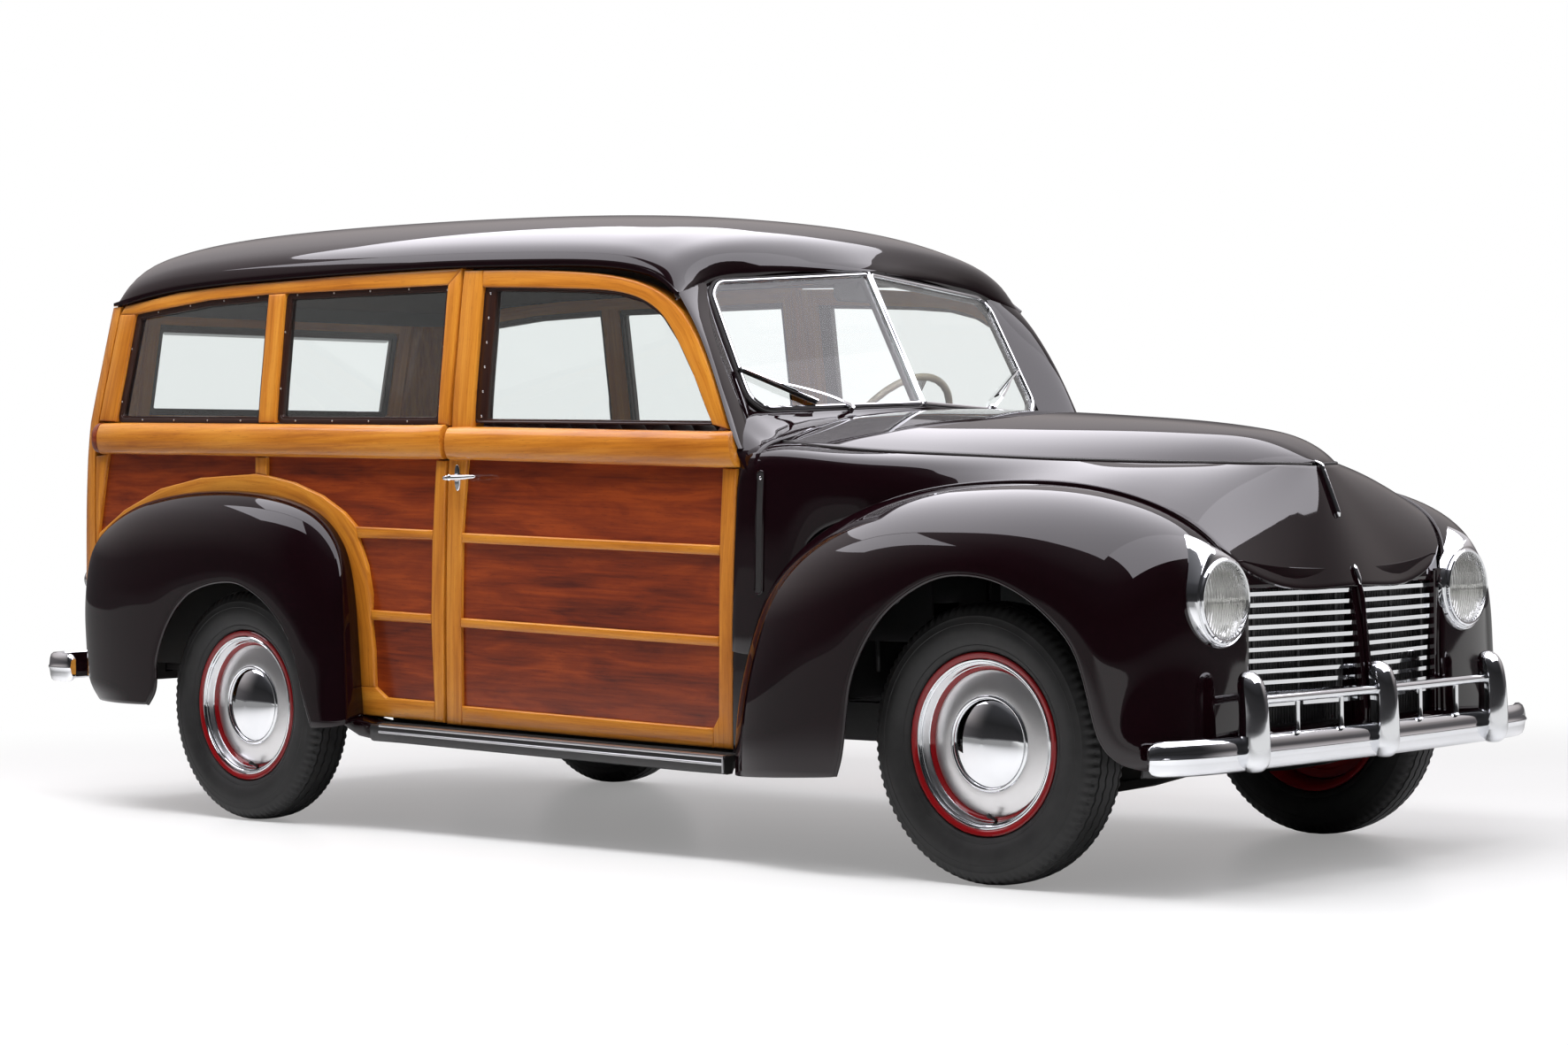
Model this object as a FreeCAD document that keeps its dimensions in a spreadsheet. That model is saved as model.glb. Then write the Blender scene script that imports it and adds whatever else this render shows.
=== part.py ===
import FreeCAD, Part
import math
import os
from FreeCAD import Vector, Placement, Rotation

# Wood-bodied station wagon. Millimetres, +X to the front, +Y to the car's
# left, +Z up. Shapes are laid out from the point on the ground below the
# front axle; every sub-part is then shifted forward by shift_x, so that the
# origin is on the ground at the middle of the whole car.

doc = FreeCAD.newDocument("station_wagon")

# ------------------------------------------------------------------ sheet
sheet = doc.addObject("Spreadsheet::Sheet", "Dims")
DIMS = [
    ("shift_x", 1609.9), ("wheelbase", 2758.0), ("axle_height", 340.0),
    ("front_track_half", 712.0), ("rear_track_half", 738.0),
    ("tyre_radius", 340.0), ("tyre_width", 156.0), ("tyre_bore_radius", 204.0),
    ("rim_radius", 220.5), ("rim_seat_radius", 203.5), ("hub_bore_radius", 20.05),
    ("spindle_radius", 20.0), ("drum_radius", 128.0),
    ("kingpin_radius", 12.0), ("kingpin_hole_radius", 12.05), ("kingpin_half_track", 600.0),
    ("engine_length", 600.0), ("engine_width", 320.0), ("engine_height", 480.0),
    ("gearbox_length", 430.0), ("gearbox_width", 200.0), ("gearbox_height", 200.0),
    ("rail_height", 100.0), ("rail_width", 55.0), ("rail_half_gap", 330.0),
    ("axle_tube_radius", 38.0), ("diff_radius", 125.0),
    ("shaft_radius", 30.0), ("pipe_radius", 21.0), ("muffler_radius", 65.0), ("muffler_length", 420.0),
    ("tank_length", 370.0), ("tank_width", 640.0), ("tank_height", 190.0),
    ("radiator_width", 480.0), ("radiator_height", 430.0), ("radiator_depth", 50.0),
    ("wall_side", 45.0), ("panel_recess", 12.0), ("panel_thick", 16.0),
    ("roof_thick", 24.0), ("fender_thick", 8.0), ("hood_thick", 10.0), ("nose_thick", 9.0),
    ("glass_thick", 6.0), ("floor_thick", 14.0),
    ("seat_half_width", 610.0), ("cushion_depth", 500.0), ("cushion_height", 190.0),
    ("lamp_ring_radius", 104.0), ("lamp_bucket_radius", 90.0), ("lamp_height", 682.0), ("lamp_half_gap", 548.0),
    ("steer_rim_radius", 212.0), ("steer_rim_section", 12.0), ("column_radius", 20.0),
    ("bar_height", 84.0), ("guard_radius", 11.0),
    ("board_width", 104.0), ("board_height", 52.0),
    ("grille_bars", 12.0), ("bar_radius", 7.0),
    ("tie_rod_radius", 11.0),
]
for row, (alias, value) in enumerate(DIMS, start=1):
    sheet.set("A%d" % row, alias)
    sheet.set("B%d" % row, "%g" % value)
    sheet.setAlias("B%d" % row, alias)
doc.recompute()


def dim(alias):
    return float(sheet.get(alias))


SHIFT = dim("shift_x")
WB = dim("wheelbase")
AH = dim("axle_height")
NODES = []


def keep(obj, label):
    obj.Label = label
    NODES.append(obj)
    return obj


def feature(label, shape):
    obj = doc.addObject("Part::Feature", label)
    obj.Shape = shape
    obj.Placement = Placement(Vector(SHIFT, 0, 0), Rotation())
    return keep(obj, label)


def bound(obj, bindings):
    for prop, expr in bindings.items():
        obj.setExpression(prop, expr)
    return obj


def place(obj, x, y, z, axis=None, angle=0.0):
    rot = Rotation(Vector(*axis), angle) if axis else Rotation()
    obj.Placement = Placement(Vector(SHIFT + x, y, z), rot)
    obj.setExpression("Placement.Base.x", "Dims.shift_x + (%g)" % x)
    return obj


# ------------------------------------------------------------ small maths
def lin(xs, ys, x):
    if x <= xs[0]:
        return ys[0]
    for i in range(1, len(xs)):
        if x <= xs[i]:
            t = (x - xs[i - 1]) / (xs[i] - xs[i - 1])
            return ys[i - 1] + t * (ys[i] - ys[i - 1])
    return ys[-1]


def smooth(xs, ys, x):
    # cubic through the points, with slopes limited so that it never overshoots
    n = len(xs)
    if x <= xs[0]:
        return ys[0]
    if x >= xs[-1]:
        return ys[-1]
    d = [(ys[i + 1] - ys[i]) / (xs[i + 1] - xs[i]) for i in range(n - 1)]
    m = [d[0]] + [0.0 if d[i - 1] * d[i] <= 0 else 2 * d[i - 1] * d[i] / (d[i - 1] + d[i]) for i in range(1, n - 1)] + [d[-1]]
    for i in range(n - 1):
        if x <= xs[i + 1]:
            h = xs[i + 1] - xs[i]
            t = (x - xs[i]) / h
            return ((2 * t ** 3 - 3 * t * t + 1) * ys[i] + (t ** 3 - 2 * t * t + t) * h * m[i]
                    + (-2 * t ** 3 + 3 * t * t) * ys[i + 1] + (t ** 3 - t * t) * h * m[i + 1])
    return ys[-1]


def resample(points, n):
    # n points at even steps along a Catmull-Rom curve through the given points
    pts = [tuple(p) for p in points]
    k = len(pts)
    fine = []
    for i in range(k - 1):
        p0 = pts[max(i - 1, 0)]
        p1 = pts[i]
        p2 = pts[i + 1]
        p3 = pts[min(i + 2, k - 1)]
        for j in range(12):
            t = j / 12.0
            fine.append(tuple(0.5 * (2 * b + (c - a) * t + (2 * a - 5 * b + 4 * c - d) * t * t + (3 * b - a - 3 * c + d) * t ** 3)
                              for a, b, c, d in zip(p0, p1, p2, p3)))
    fine.append(pts[-1])
    dist = [0.0]
    for a, b in zip(fine, fine[1:]):
        dist.append(dist[-1] + math.dist(a, b))
    out = []
    for i in range(n):
        s = dist[-1] * i / (n - 1)
        j = 0
        while j < len(dist) - 2 and dist[j + 1] < s:
            j += 1
        t = (s - dist[j]) / max(dist[j + 1] - dist[j], 1e-9)
        out.append(tuple(a + (b - a) * t for a, b in zip(fine[j], fine[j + 1])))
    return out


def mirror_y(shape):
    return shape.mirror(Vector(0, 0, 0), Vector(0, 1, 0))


# -------------------------------------------------- surfaces with thickness
def surface(grid):
    s = Part.BSplineSurface()
    s.interpolate([[Vector(*p) for p in row] for row in grid])
    return s


def offset_grid(grid, thick, toward):
    # each point moved by thick along the surface normal; toward gives the side
    nu, nv = len(grid), len(grid[0])
    normals, vote = [], 0.0
    for i in range(nu):
        row = []
        for j in range(nv):
            a = Vector(*grid[min(i + 1, nu - 1)][j]) - Vector(*grid[max(i - 1, 0)][j])
            b = Vector(*grid[i][min(j + 1, nv - 1)]) - Vector(*grid[i][max(j - 1, 0)])
            n = a.cross(b)
            n.normalize()
            p = Vector(*grid[i][j])
            d = Vector(*toward(p.x, p.y, p.z)) - p
            d.normalize()
            vote += n.dot(d)
            row.append(n)
        normals.append(row)
    sign = 1.0 if vote > 0 else -1.0
    out = []
    for i in range(nu):
        row = []
        for j in range(nv):
            q = Vector(*grid[i][j]) + normals[i][j] * (thick * sign)
            row.append((q.x, q.y, q.z))
        out.append(row)
    return out


def solid_between(outer, inner):
    so, si = surface(outer), surface(inner)
    faces = [so.toShape(), si.toShape()]
    u0, u1, v0, v1 = so.bounds()
    a0, a1, b0, b1 = si.bounds()
    for e, f in ((so.uIso(u0), si.uIso(a0)), (so.uIso(u1), si.uIso(a1)),
                 (so.vIso(v0), si.vIso(b0)), (so.vIso(v1), si.vIso(b1))):
        faces.append(Part.makeRuledSurface(e.toShape(), f.toShape(), 1))
    shell = Part.makeShell(faces)
    shell.sewShape()
    solid = Part.Solid(shell)
    if solid.Volume < 0:
        solid.reverse()
    return solid


def prism_y(points, y0, y1):
    wire = Part.makePolygon([Vector(x, y0, z) for x, z in points] + [Vector(points[0][0], y0, points[0][1])])
    return Part.Face(wire).extrude(Vector(0, y1 - y0, 0))


def rounded_wire(points, radius, y):
    # closed outline with each corner rounded by a tangent arc
    n = len(points)
    if isinstance(radius, (int, float)):
        radius = [radius] * n
    ends = []
    for i in range(n):
        p = Vector(points[i][0], y, points[i][1])
        a = Vector(points[i - 1][0], y, points[i - 1][1]) - p
        b = Vector(points[(i + 1) % n][0], y, points[(i + 1) % n][1]) - p
        la, lb = a.Length, b.Length
        a.normalize()
        b.normalize()
        half = math.acos(max(-1.0, min(1.0, a.dot(b)))) / 2
        if radius[i] <= 0.01 or half > 1.555:
            ends.append((p, None, p))
            continue
        cut = min(radius[i] / math.tan(half), 0.45 * la, 0.45 * lb)
        r = cut * math.tan(half)
        mid = a + b
        mid.normalize()
        ends.append((p + a * cut, p + mid * (r / math.sin(half) - r), p + b * cut))
    edges = []
    for i in range(n):
        s, m, e = ends[i]
        if m is not None:
            edges.append(Part.Arc(s, m, e).toShape())
        nxt = ends[(i + 1) % n][0]
        if (nxt - e).Length > 0.01:
            edges.append(Part.LineSegment(e, nxt).toShape())
    return Part.Wire(edges)


def rounded_prism(points, radius, y0, y1):
    return Part.Face(rounded_wire(points, radius, y0)).extrude(Vector(0, y1 - y0, 0))


def box(x0, x1, y0, y1, z0, z1):
    return Part.makeBox(x1 - x0, y1 - y0, z1 - z0, Vector(x0, y0, z0))


def rod(p, q, r):
    d = Vector(*q) - Vector(*p)
    return Part.makeCylinder(r, d.Length, Vector(*p), d)


def loft(sections, ruled=False):
    # sections: closed outlines, each a list of (x, y, z) joined by straight sides
    wires = []
    for sec in sections:
        pts = [Vector(*p) for p in sec]
        wires.append(Part.makePolygon(pts + [pts[0]]))
    s = Part.makeLoft(wires, True, ruled)
    if s.Volume < 0:
        s.reverse()
    return s


def fuse(shapes):
    base = shapes[0]
    if len(shapes) > 1:
        base = base.fuse(shapes[1:])
        base = base.removeSplitter()
    return base


# --------------------------------------------------------- body side shape
HZ = [200.0, 450.0, 700.0, 950.0, 1150.0, 1250.0, 1370.0, 1500.0, 1620.0]
HY = [745.0, 758.0, 767.0, 770.0, 766.0, 757.0, 742.0, 726.0, 709.0]


def half_width(z, x):
    return smooth(HZ, HY, z) - 16.0 * ((x + 2200.0) / 1400.0) ** 2


def side_slab(x0, x1, z0, z1, out, depth, nx=7, nz=13):
    # slab that follows the right body side; its outer face stands out by out
    outer, inner = [], []
    for i in range(nx):
        x = x0 + (x1 - x0) * i / (nx - 1)
        ro, ri = [], []
        for j in range(nz):
            z = z0 + (z1 - z0) * j / (nz - 1)
            y = -(half_width(z, x) + out)
            ro.append((x, y, z))
            ri.append((x, y + depth, z))
        outer.append(ro)
        inner.append(ri)
    return solid_between(outer, inner)


WALL = dim("wall_side")
SLAB = side_slab(-3640.0, -770.0, 270.0, 1630.0, 0.0, WALL)
PANEL = side_slab(-3640.0, -770.0, 270.0, 1300.0, -dim("panel_recess"), dim("panel_thick"))
GLASS = side_slab(-3640.0, -770.0, 1050.0, 1620.0, -20.0, dim("glass_thick"))


def belt(x0, z0a, z0b, x1, z1a, z1b, xcut0=0.0, xcut1=0.0):
    # belt rail with a half-round outer face, lofted along the body side
    secs = []
    for k in range(6):
        t = k / 5.0
        x = x0 + (x1 - x0) * t
        za = z0a + (z1a - z0a) * t
        zb = z0b + (z1b - z0b) * t
        zc, hz = (za + zb) / 2, (zb - za) / 2
        sec = []
        for i in range(9):
            a = -90 + 180 * i / 8.0
            s = math.sin(math.radians(a))
            c = abs(math.cos(math.radians(a))) ** 0.7
            z = zc + hz * s
            sec.append((x + (xcut0 * (1 - t) + xcut1 * t) * (zc - z), -(half_width(z, x) - 2 + 28.0 * c), z))
        z = zc + hz
        sec.append((x + (xcut0 * (1 - t) + xcut1 * t) * (zc - z), -(half_width(z, x) - 20), z))
        z = zc - hz
        sec.append((x + (xcut0 * (1 - t) + xcut1 * t) * (zc - z), -(half_width(z, x) - 20), z))
        secs.append(sec)
    return loft(secs)


# door: outline, window opening and the three panel openings
DOOR = [(-849, 288), (-1924, 313), (-1882, 1047), (-1871, 1145), (-1868, 1578), (-1680, 1569), (-1414, 1548),
        (-1242, 1523), (-1132, 1490), (-1055, 1449), (-983, 1381), (-890, 1232), (-836, 1111), (-806, 1009)]
DOOR_WINDOW = [(-1787, 1152), (-1787, 1526), (-1584, 1514), (-1408, 1502), (-1271, 1488), (-1170, 1462), (-1095, 1420),
               (-1031, 1350), (-964, 1255), (-890, 1124)]
DOOR_P1 = [(-1807, 1047), (-853, 1011), (-867, 813), (-1833, 847)]
DOOR_P2 = [(-1834, 820), (-868, 787), (-879, 578), (-1847, 611)]
DOOR_P3 = [(-1849, 585), (-880, 552), (-891, 371), (-913, 340), (-1859, 366)]


def cutter(points, radius=0.0):
    return rounded_prism(points, radius, -1000.0, -560.0)


door_blank = SLAB.common(cutter(DOOR, [18, 6, 0, 0, 14, 0, 60, 80, 90, 90, 90, 200, 0, 0]))
door_frame = door_blank
for pts, r in ((DOOR_WINDOW, [18, 30, 0, 60, 80, 90, 90, 120, 0, 12]), (DOOR_P1, 4), (DOOR_P2, 4), (DOOR_P3, [4, 4, 20, 20, 4])):
    door_frame = door_frame.cut(cutter(pts, r))
door_belt = belt(-1874.0, 1051.0, 1143.0, -806.0, 1010.0, 1104.0, 0.0, 0.21)
door_frame = fuse([door_frame, door_belt])
door_panels = [PANEL.common(cutter(p, r)) for p, r in ((DOOR_P1, 4), (DOOR_P2, 4), (DOOR_P3, [4, 4, 20, 20, 4]))]
door_panels = Part.makeCompound(door_panels)
door_glass = GLASS.common(cutter([(-1797, 1146), (-1797, 1535), (-1584, 1523), (-1408, 1511), (-1268, 1497), (-1163, 1471), (-1087, 1427),
                                  (-1022, 1356), (-956, 1260), (-880, 1118)], 20))
door_glass = door_glass.cut(door_frame)

feature("door_frame_right", door_frame)
feature("door_panels_right", door_panels)
feature("door_glass_right", door_glass)
feature("door_frame_left", mirror_y(door_frame))
feature("door_panels_left", mirror_y(door_panels))
feature("door_glass_left", mirror_y(door_glass))

# quarter side: outline, windows, arch over the rear wheel, panel openings
QUARTER = [(-1937, 316), (-2284, 326), (-2284, 440), (-2300, 560), (-2330, 690), (-2400, 800), (-2510, 880), (-2640, 915),
           (-2760, 926), (-2900, 926), (-3090, 915), (-3250, 885), (-3390, 830), (-3500, 752), (-3545, 690),
           (-3540, 1090), (-3527, 1199), (-3464, 1530), (-3440, 1556), (-3170, 1584), (-2899, 1592), (-2679, 1591),
           (-2395, 1592), (-1959, 1586), (-1878, 1584), (-1882, 1145), (-1893, 1047)]
Q_WIN2 = [(-2647, 1553), (-1930, 1540), (-1929, 1152), (-2644, 1172)]
Q_WIN1 = [(-3384, 1527), (-3025, 1552), (-2724, 1555), (-2723, 1174), (-3440, 1195)]
Q_A = [(-3474, 1096), (-2736, 1073), (-2736, 1024), (-2770, 1022), (-3002, 1015), (-3201, 985), (-3390, 921), (-3530, 848)]
Q_B1 = [(-2682, 1071), (-1934, 1050), (-1951, 855), (-2280, 866), (-2332, 907), (-2430, 956), (-2559, 996), (-2682, 1018)]
Q_B2 = [(-2273, 833), (-1955, 828), (-1968, 620), (-2224, 628), (-2221, 674), (-2237, 755)]
Q_B3 = [(-2226, 599), (-1970, 593), (-1971, 374), (-2176, 379), (-2221, 408), (-2219, 513)]

quarter_frame = SLAB.common(cutter(QUARTER, 0))
for pts, r in ((Q_WIN2, 22), (Q_WIN1, [20, 0, 20, 20, 20]), (Q_A, 3), (Q_B1, 3), (Q_B2, 3), (Q_B3, [3, 3, 8, 14, 14, 0])):
    quarter_frame = quarter_frame.cut(cutter(pts, r))
quarter_belt = belt(-3500.0, 1097.0, 1194.0, -1893.0, 1050.0, 1146.0)
quarter_frame = fuse([quarter_frame, quarter_belt])
quarter_panels = [PANEL.common(cutter(p, r)) for p, r in ((Q_A, 3), (Q_B1, 3), (Q_B2, 3), (Q_B3, [3, 3, 8, 14, 14, 0]))]
quarter_glass = [GLASS.common(cutter([(-2656, 1562), (-1921, 1549), (-1920, 1146), (-2653, 1165)], 20)).cut(quarter_frame),
                 GLASS.common(cutter([(-3393, 1536), (-3025, 1561), (-2715, 1564), (-2714, 1167), (-3448, 1188)], 20)).cut(quarter_frame)]
feature("quarter_frames", Part.makeCompound([quarter_frame, mirror_y(quarter_frame)]))
feature("quarter_panels", Part.makeCompound(quarter_panels + [mirror_y(p) for p in quarter_panels]))


# ------------------------------------------------------------- rear wall
def rear_x(z):
    return lin([300.0, 600.0, 950.0, 1200.0, 1500.0, 1600.0], [-3705.0, -3690.0, -3668.0, -3644.0, -3574.0, -3551.0], z)


def corner_post():
    secs = []
    for z in (400.0, 545.0, 690.0, 890.0, 1090.0, 1199.0, 1365.0, 1530.0, 1554.0):
        xr = rear_x(z)
        xs = lin([300.0, 690.0, 1090.0, 1199.0, 1530.0, 1600.0], [-3562.0, -3548.0, -3543.0, -3530.0, -3467.0, -3454.0], z)
        hw = half_width(z, xs)
        outer = []
        for i in range(9):
            a = math.radians(90.0 * i / 8.0)
            ex = 2.0 / 2.3
            outer.append((xs + (xr - xs) * math.sin(a) ** ex, -(600.0 + (hw - 600.0) * math.cos(a) ** ex), z))
        inner = [(xr, -558.0, z), (xr + 45.0, -558.0, z), (xr + 45.0, -600.0, z), (xs - 1.0, -(hw - WALL), z)]
        secs.append(outer + inner)
    return loft(secs, ruled=True)


def rear_slab(y0, y1, z0, z1, depth=42.0, out=0.0):
    zs = [z0 + (z1 - z0) * k / 6.0 for k in range(7)]
    ring = [(rear_x(z) - out, z) for z in zs] + [(rear_x(z) - out + depth, z) for z in reversed(zs)]
    return prism_y(ring, y0, y1)


post = corner_post()
header = rear_slab(-558.0, 558.0, 1544.0, 1554.0)
rear_frame = fuse([post, mirror_y(post), rear_slab(-558.0, 558.0, 500.0, 592.0), header])
feature("rear_frame", rear_frame)
rear_panel = rear_slab(-554.0, 554.0, 372.0, 498.0, 12.0)
for s in (-1, 1):
    rear_panel = rear_panel.cut(box(-3800.0, -3600.0, s * 368.0 - 16.0, s * 368.0 + 16.0, 394.0, 426.0))


def window_x(y0, y1, z0, z1, r, x0, x1):
    wire = []
    pts = [(y0, z0), (y1, z0), (y1, z1), (y0, z1)]
    face = Part.Face(rounded_wire(pts, r, 0.0))
    s = face.extrude(Vector(0, x1 - x0, 0))
    s.rotate(Vector(0, 0, 0), Vector(0, 0, 1), 90)
    s.translate(Vector(x1, 0, 0))
    return s


tail = rear_slab(-552.0, 552.0, 598.0, 1184.0)
for za, zb in ((640.0, 860.0), (888.0, 1100.0)):
    for ya, yb in ((-500.0, -14.0), (14.0, 500.0)):
        tail = tail.cut(rear_slab(ya, yb, za, zb, 12.0))
for y in (-90.0, 90.0):
    tail = tail.cut(rod((-3800.0, y, 874.0), (-3500.0, y, 874.0), 3.3))
feature("tailgate", tail)
lift = rear_slab(-552.0, 552.0, 1191.0, 1538.0)
lift = lift.cut(window_x(-500.0, 500.0, 1222.0, 1508.0, 26.0, -3900.0, -3300.0))
feature("liftgate", lift)
lift_glass = rear_slab(-508.0, 508.0, 1214.0, 1516.0, 6.0, -18.0).cut(lift)
feature("liftgate_glass", lift_glass)

# ------------------------------------------------------------------ roof
DRIP = [(-1031, 1472), (-1075, 1503), (-1122, 1527), (-1203, 1549), (-1330, 1567), (-1593, 1584), (-1959, 1599),
        (-2395, 1605), (-2800, 1606), (-3120, 1600), (-3330, 1584), (-3440, 1570), (-3485, 1566)]
CROWN = [(-1001, 1566), (-1062, 1632), (-1130, 1669), (-1225, 1698), (-1360, 1721), (-1620, 1747), (-1985, 1768),
         (-2410, 1783), (-2830, 1791), (-3200, 1789), (-3470, 1768), (-3610, 1706), (-3655, 1580)]


def roof_grid(nphi=17):
    grid = []
    last = len(DRIP) - 1
    for k, ((xs, zs), (xc, zc)) in enumerate(zip(DRIP, CROWN)):
        yd = half_width(zs, xs) + 5.0
        if k == last:
            yd = 700.0
        if k == last - 1:
            yd = 706.0
        row = []
        for i in range(nphi):
            f = -90.0 + 180.0 * i / (nphi - 1)
            s = math.sin(math.radians(f))
            c = abs(math.cos(math.radians(f)))
            y = yd * math.copysign(abs(s) ** 0.86, s)
            e = abs(y) / yd
            if k == 0:
                z = zs + (zc - zs) * (1 - e ** 2.2)
                x = xs + (xc - xs) * (1 - e) if e < 0.8 else xs + (xc - xs) * 0.2 * (1 - e) / 0.2
                x = lin([0.0, 0.45, 0.8, 1.0], [xc, xc - 32.0, xc - 56.0, xs], e)
            else:
                bow = 1 - e ** (2.0 if k < last - 2 else 3.2)
                rise = c ** 0.96 if k < last else c ** 0.5
                z = zs + (zc - zs) * rise
                x = xs + (xc - xs) * bow
            row.append((x, y, z))
        grid.append(row)
    return grid


RG = roof_grid()
roof_shell = solid_between(RG, offset_grid(RG, dim("roof_thick"), lambda x, y, z: (min(max(x, -3300.0), -1400.0), 0.0, 1000.0)))

# windscreen pillar: closed sections from its foot up to the roof's front corner
PILLAR = [  # z at the door side, x, y, then z at the screen side, x, y
    (1092.0, -812.0, -756.0, 1100.0, -850.0, -622.0), (1170.0, -848.0, -752.0, 1178.0, -886.0, -618.0),
    (1288.0, -905.0, -742.0, 1300.0, -950.0, -611.0), (1402.0, -976.0, -731.0, 1424.0, -1014.0, -604.0),
    (1440.0, -1006.0, -727.0, 1470.0, -1037.0, -600.0), (1461.0, -1026.0, -722.0, 1497.0, -1052.0, -596.0)]


def pillar_section(zd, xd, yd, zw, xw, yw):
    out = []
    cx, cy = max(xd, xw) + 16.0, yd + 12.0
    for i in range(9):
        a = math.radians(90.0 * i / 8.0)
        u, v = 1 - math.sin(a) ** 0.9, 1 - math.cos(a) ** 0.9
        out.append((cx + (xd - cx) * u + (xw - cx) * v, cy + (yd - cy) * u + (yw - cy) * v))
    out += [(xw - 26.0, yw - 4.0), ((xd + xw) / 2 - 22.0, (yd + yw) / 2), (xd - 6.0, yd + 24.0)]
    return [(x, y, zd + (zw - zd) * (y - yd) / (yw - yd)) for x, y in out]


pillar = loft([pillar_section(*p) for p in PILLAR]).cut(box(-870.0, -770.0, -810.0, -726.0, 1080.0, 1111.0))
# room for the door's front edge, 6 mm all round it
door_room = [(-799, 1009), (-829, 1114), (-884, 1236), (-977, 1386), (-1050, 1455), (-1128, 1497), (-1240, 1530), (-1240, 1009)]
pillar = pillar.cut(side_slab(-1260.0, -780.0, 1000.0, 1540.0, 30.0, WALL + 36.0).common(prism_y(door_room, -900.0, -560.0)))
roof = Part.makeCompound([roof_shell, pillar, mirror_y(pillar)])
feature("roof", roof)

# -------------------------------------------------------- fixed windows
SCREEN = [(-878.0, -606.0, 1166.0), (-1051.0, -586.0, 1502.0), (-997.0, -8.0, 1545.0), (-808.0, -8.0, 1188.0)]


def pane(points, thick):
    p = [Vector(*q) for q in points]
    n = (p[1] - p[0]).cross(p[2] - p[0])
    n.normalize()
    p[3] = p[3] - n * (p[3] - p[0]).dot(n)
    face = Part.Face(Part.makePolygon(p + [p[0]]))
    return face.extrude(n * thick)


screen = pane(SCREEN, dim("glass_thick"))
glass = [screen] + quarter_glass
glass = Part.makeCompound(glass + [mirror_y(g) for g in glass])
feature("fixed_glass", glass)

# ------------------------------------------------------------------ hood
SEAM = [(-745, -640, 1079), (-600, -622, 1062), (-450, -600, 1049), (-300, -572, 1040), (-150, -535, 1031), (0, -485, 1022),
        (120, -430, 1016), (230, -360, 1011), (320, -275, 1008), (390, -185, 1005), (430, -95, 1003), (447, -22, 1001)]
HOODX = [-800.0, -695.0, -457.0, -201.0, 44.0, 222.0, 327.0, 394.0, 440.0, 452.0]
HOODZ = [1163.0, 1167.0, 1158.0, 1141.0, 1121.0, 1099.0, 1077.0, 1047.0, 1015.0, 1003.0]


def hood_grid(shrink=6.0, lift=0.0, nv=15):
    grid = []
    for x, y, z in SEAM:
        row = []
        for j in range(nv):
            f = -1.0 + 2.0 * j / (nv - 1)
            e = abs(f)
            xx = x - (42.0 * (1 - e * e) if x < -700 else 0.0)
            zc = smooth(HOODX, HOODZ, xx)
            yy = f * (abs(y) - shrink)
            zz = z + (max(zc, z + 1.0) - z) * (1 - e ** 2.5) + lift
            row.append((xx, yy, zz))
        grid.append(row)
    return grid


HG = hood_grid()
hood = solid_between(HG, [[(x, y, z - dim("hood_thick")) for x, y, z in row] for row in HG])
feature("hood", hood)

# ---------------------------------------------------------- front fender
F_O = [(-805, -757, 232), (-797, -760, 345), (-775, -760, 461), (-740, -755, 579), (-692, -745, 687), (-612, -725, 785),
       (-492, -695, 868), (-320, -655, 932), (-100, -622, 960), (120, -600, 957), (300, -575, 925), (425, -545, 872),
       (492, -510, 812), (522, -475, 740), (533, -452, 640), (538, -442, 530), (542, -440, 420), (542, -440, 325)]
F_C = [(-805, -875, 228), (-797, -877, 345), (-777, -880, 462), (-742, -882, 585), (-697, -885, 700), (-620, -886, 800),
       (-500, -886, 885), (-330, -886, 945), (-100, -886, 965), (130, -886, 960), (340, -886, 925), (476, -886, 862),
       (528, -885, 790), (547, -885, 700), (552, -880, 600), (554, -870, 490), (556, -850, 380), (556, -780, 300)]
F_L = [(-372, -884, 254), (-352, -886, 309), (-336, -887, 407), (-318, -888, 489), (-283, -888, 562), (-224, -888, 638),
       (-145, -888, 697), (-52, -888, 738), (41, -888, 749), (132, -886, 736), (221, -884, 698), (291, -880, 647),
       (346, -874, 585), (375, -868, 510), (392, -860, 430), (418, -846, 350), (472, -800, 305), (535, -660, 295)]


def shoulder_grid(o, c, l, n, nt, expo):
    o, c, l = resample(o, n), resample(c, n), resample(l, n)
    grid = []
    for a, b, d in zip(o, c, l):
        row = []
        for j in range(nt):
            t = math.radians(90.0 * j / (nt - 1))
            u, v = 1 - math.sin(t) ** (2.0 / expo), 1 - math.cos(t) ** (2.0 / expo)
            row.append(tuple(q + (p - q) * u + (r - q) * v for p, q, r in zip(a, b, d)))
        grid.append(row)
    return grid


def station_grid(o, c, l, nt, expo):
    grid = []
    for a, b, d in zip(o, c, l):
        row = []
        for j in range(nt):
            t = math.radians(90.0 * j / (nt - 1))
            u, v = 1 - math.sin(t) ** (2.0 / expo), 1 - math.cos(t) ** (2.0 / expo)
            row.append(tuple(q + (p - q) * u + (r - q) * v for p, q, r in zip(a, b, d)))
        grid.append(row)
    return grid


FG = station_grid(F_O, F_C, F_L, 11, 2.0)
front_fender = solid_between(FG, offset_grid(FG, dim("fender_thick"), lambda x, y, z: (20.0, -560.0, 420.0)))
lamp_hole = rod((380.0, -dim("lamp_half_gap"), dim("lamp_height")), (700.0, -dim("lamp_half_gap"), dim("lamp_height")), dim("lamp_ring_radius") + 3.0)
front_fender = front_fender.cut(lamp_hole)
feature("front_fenders", Part.makeCompound([front_fender, mirror_y(front_fender)]))

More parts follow.
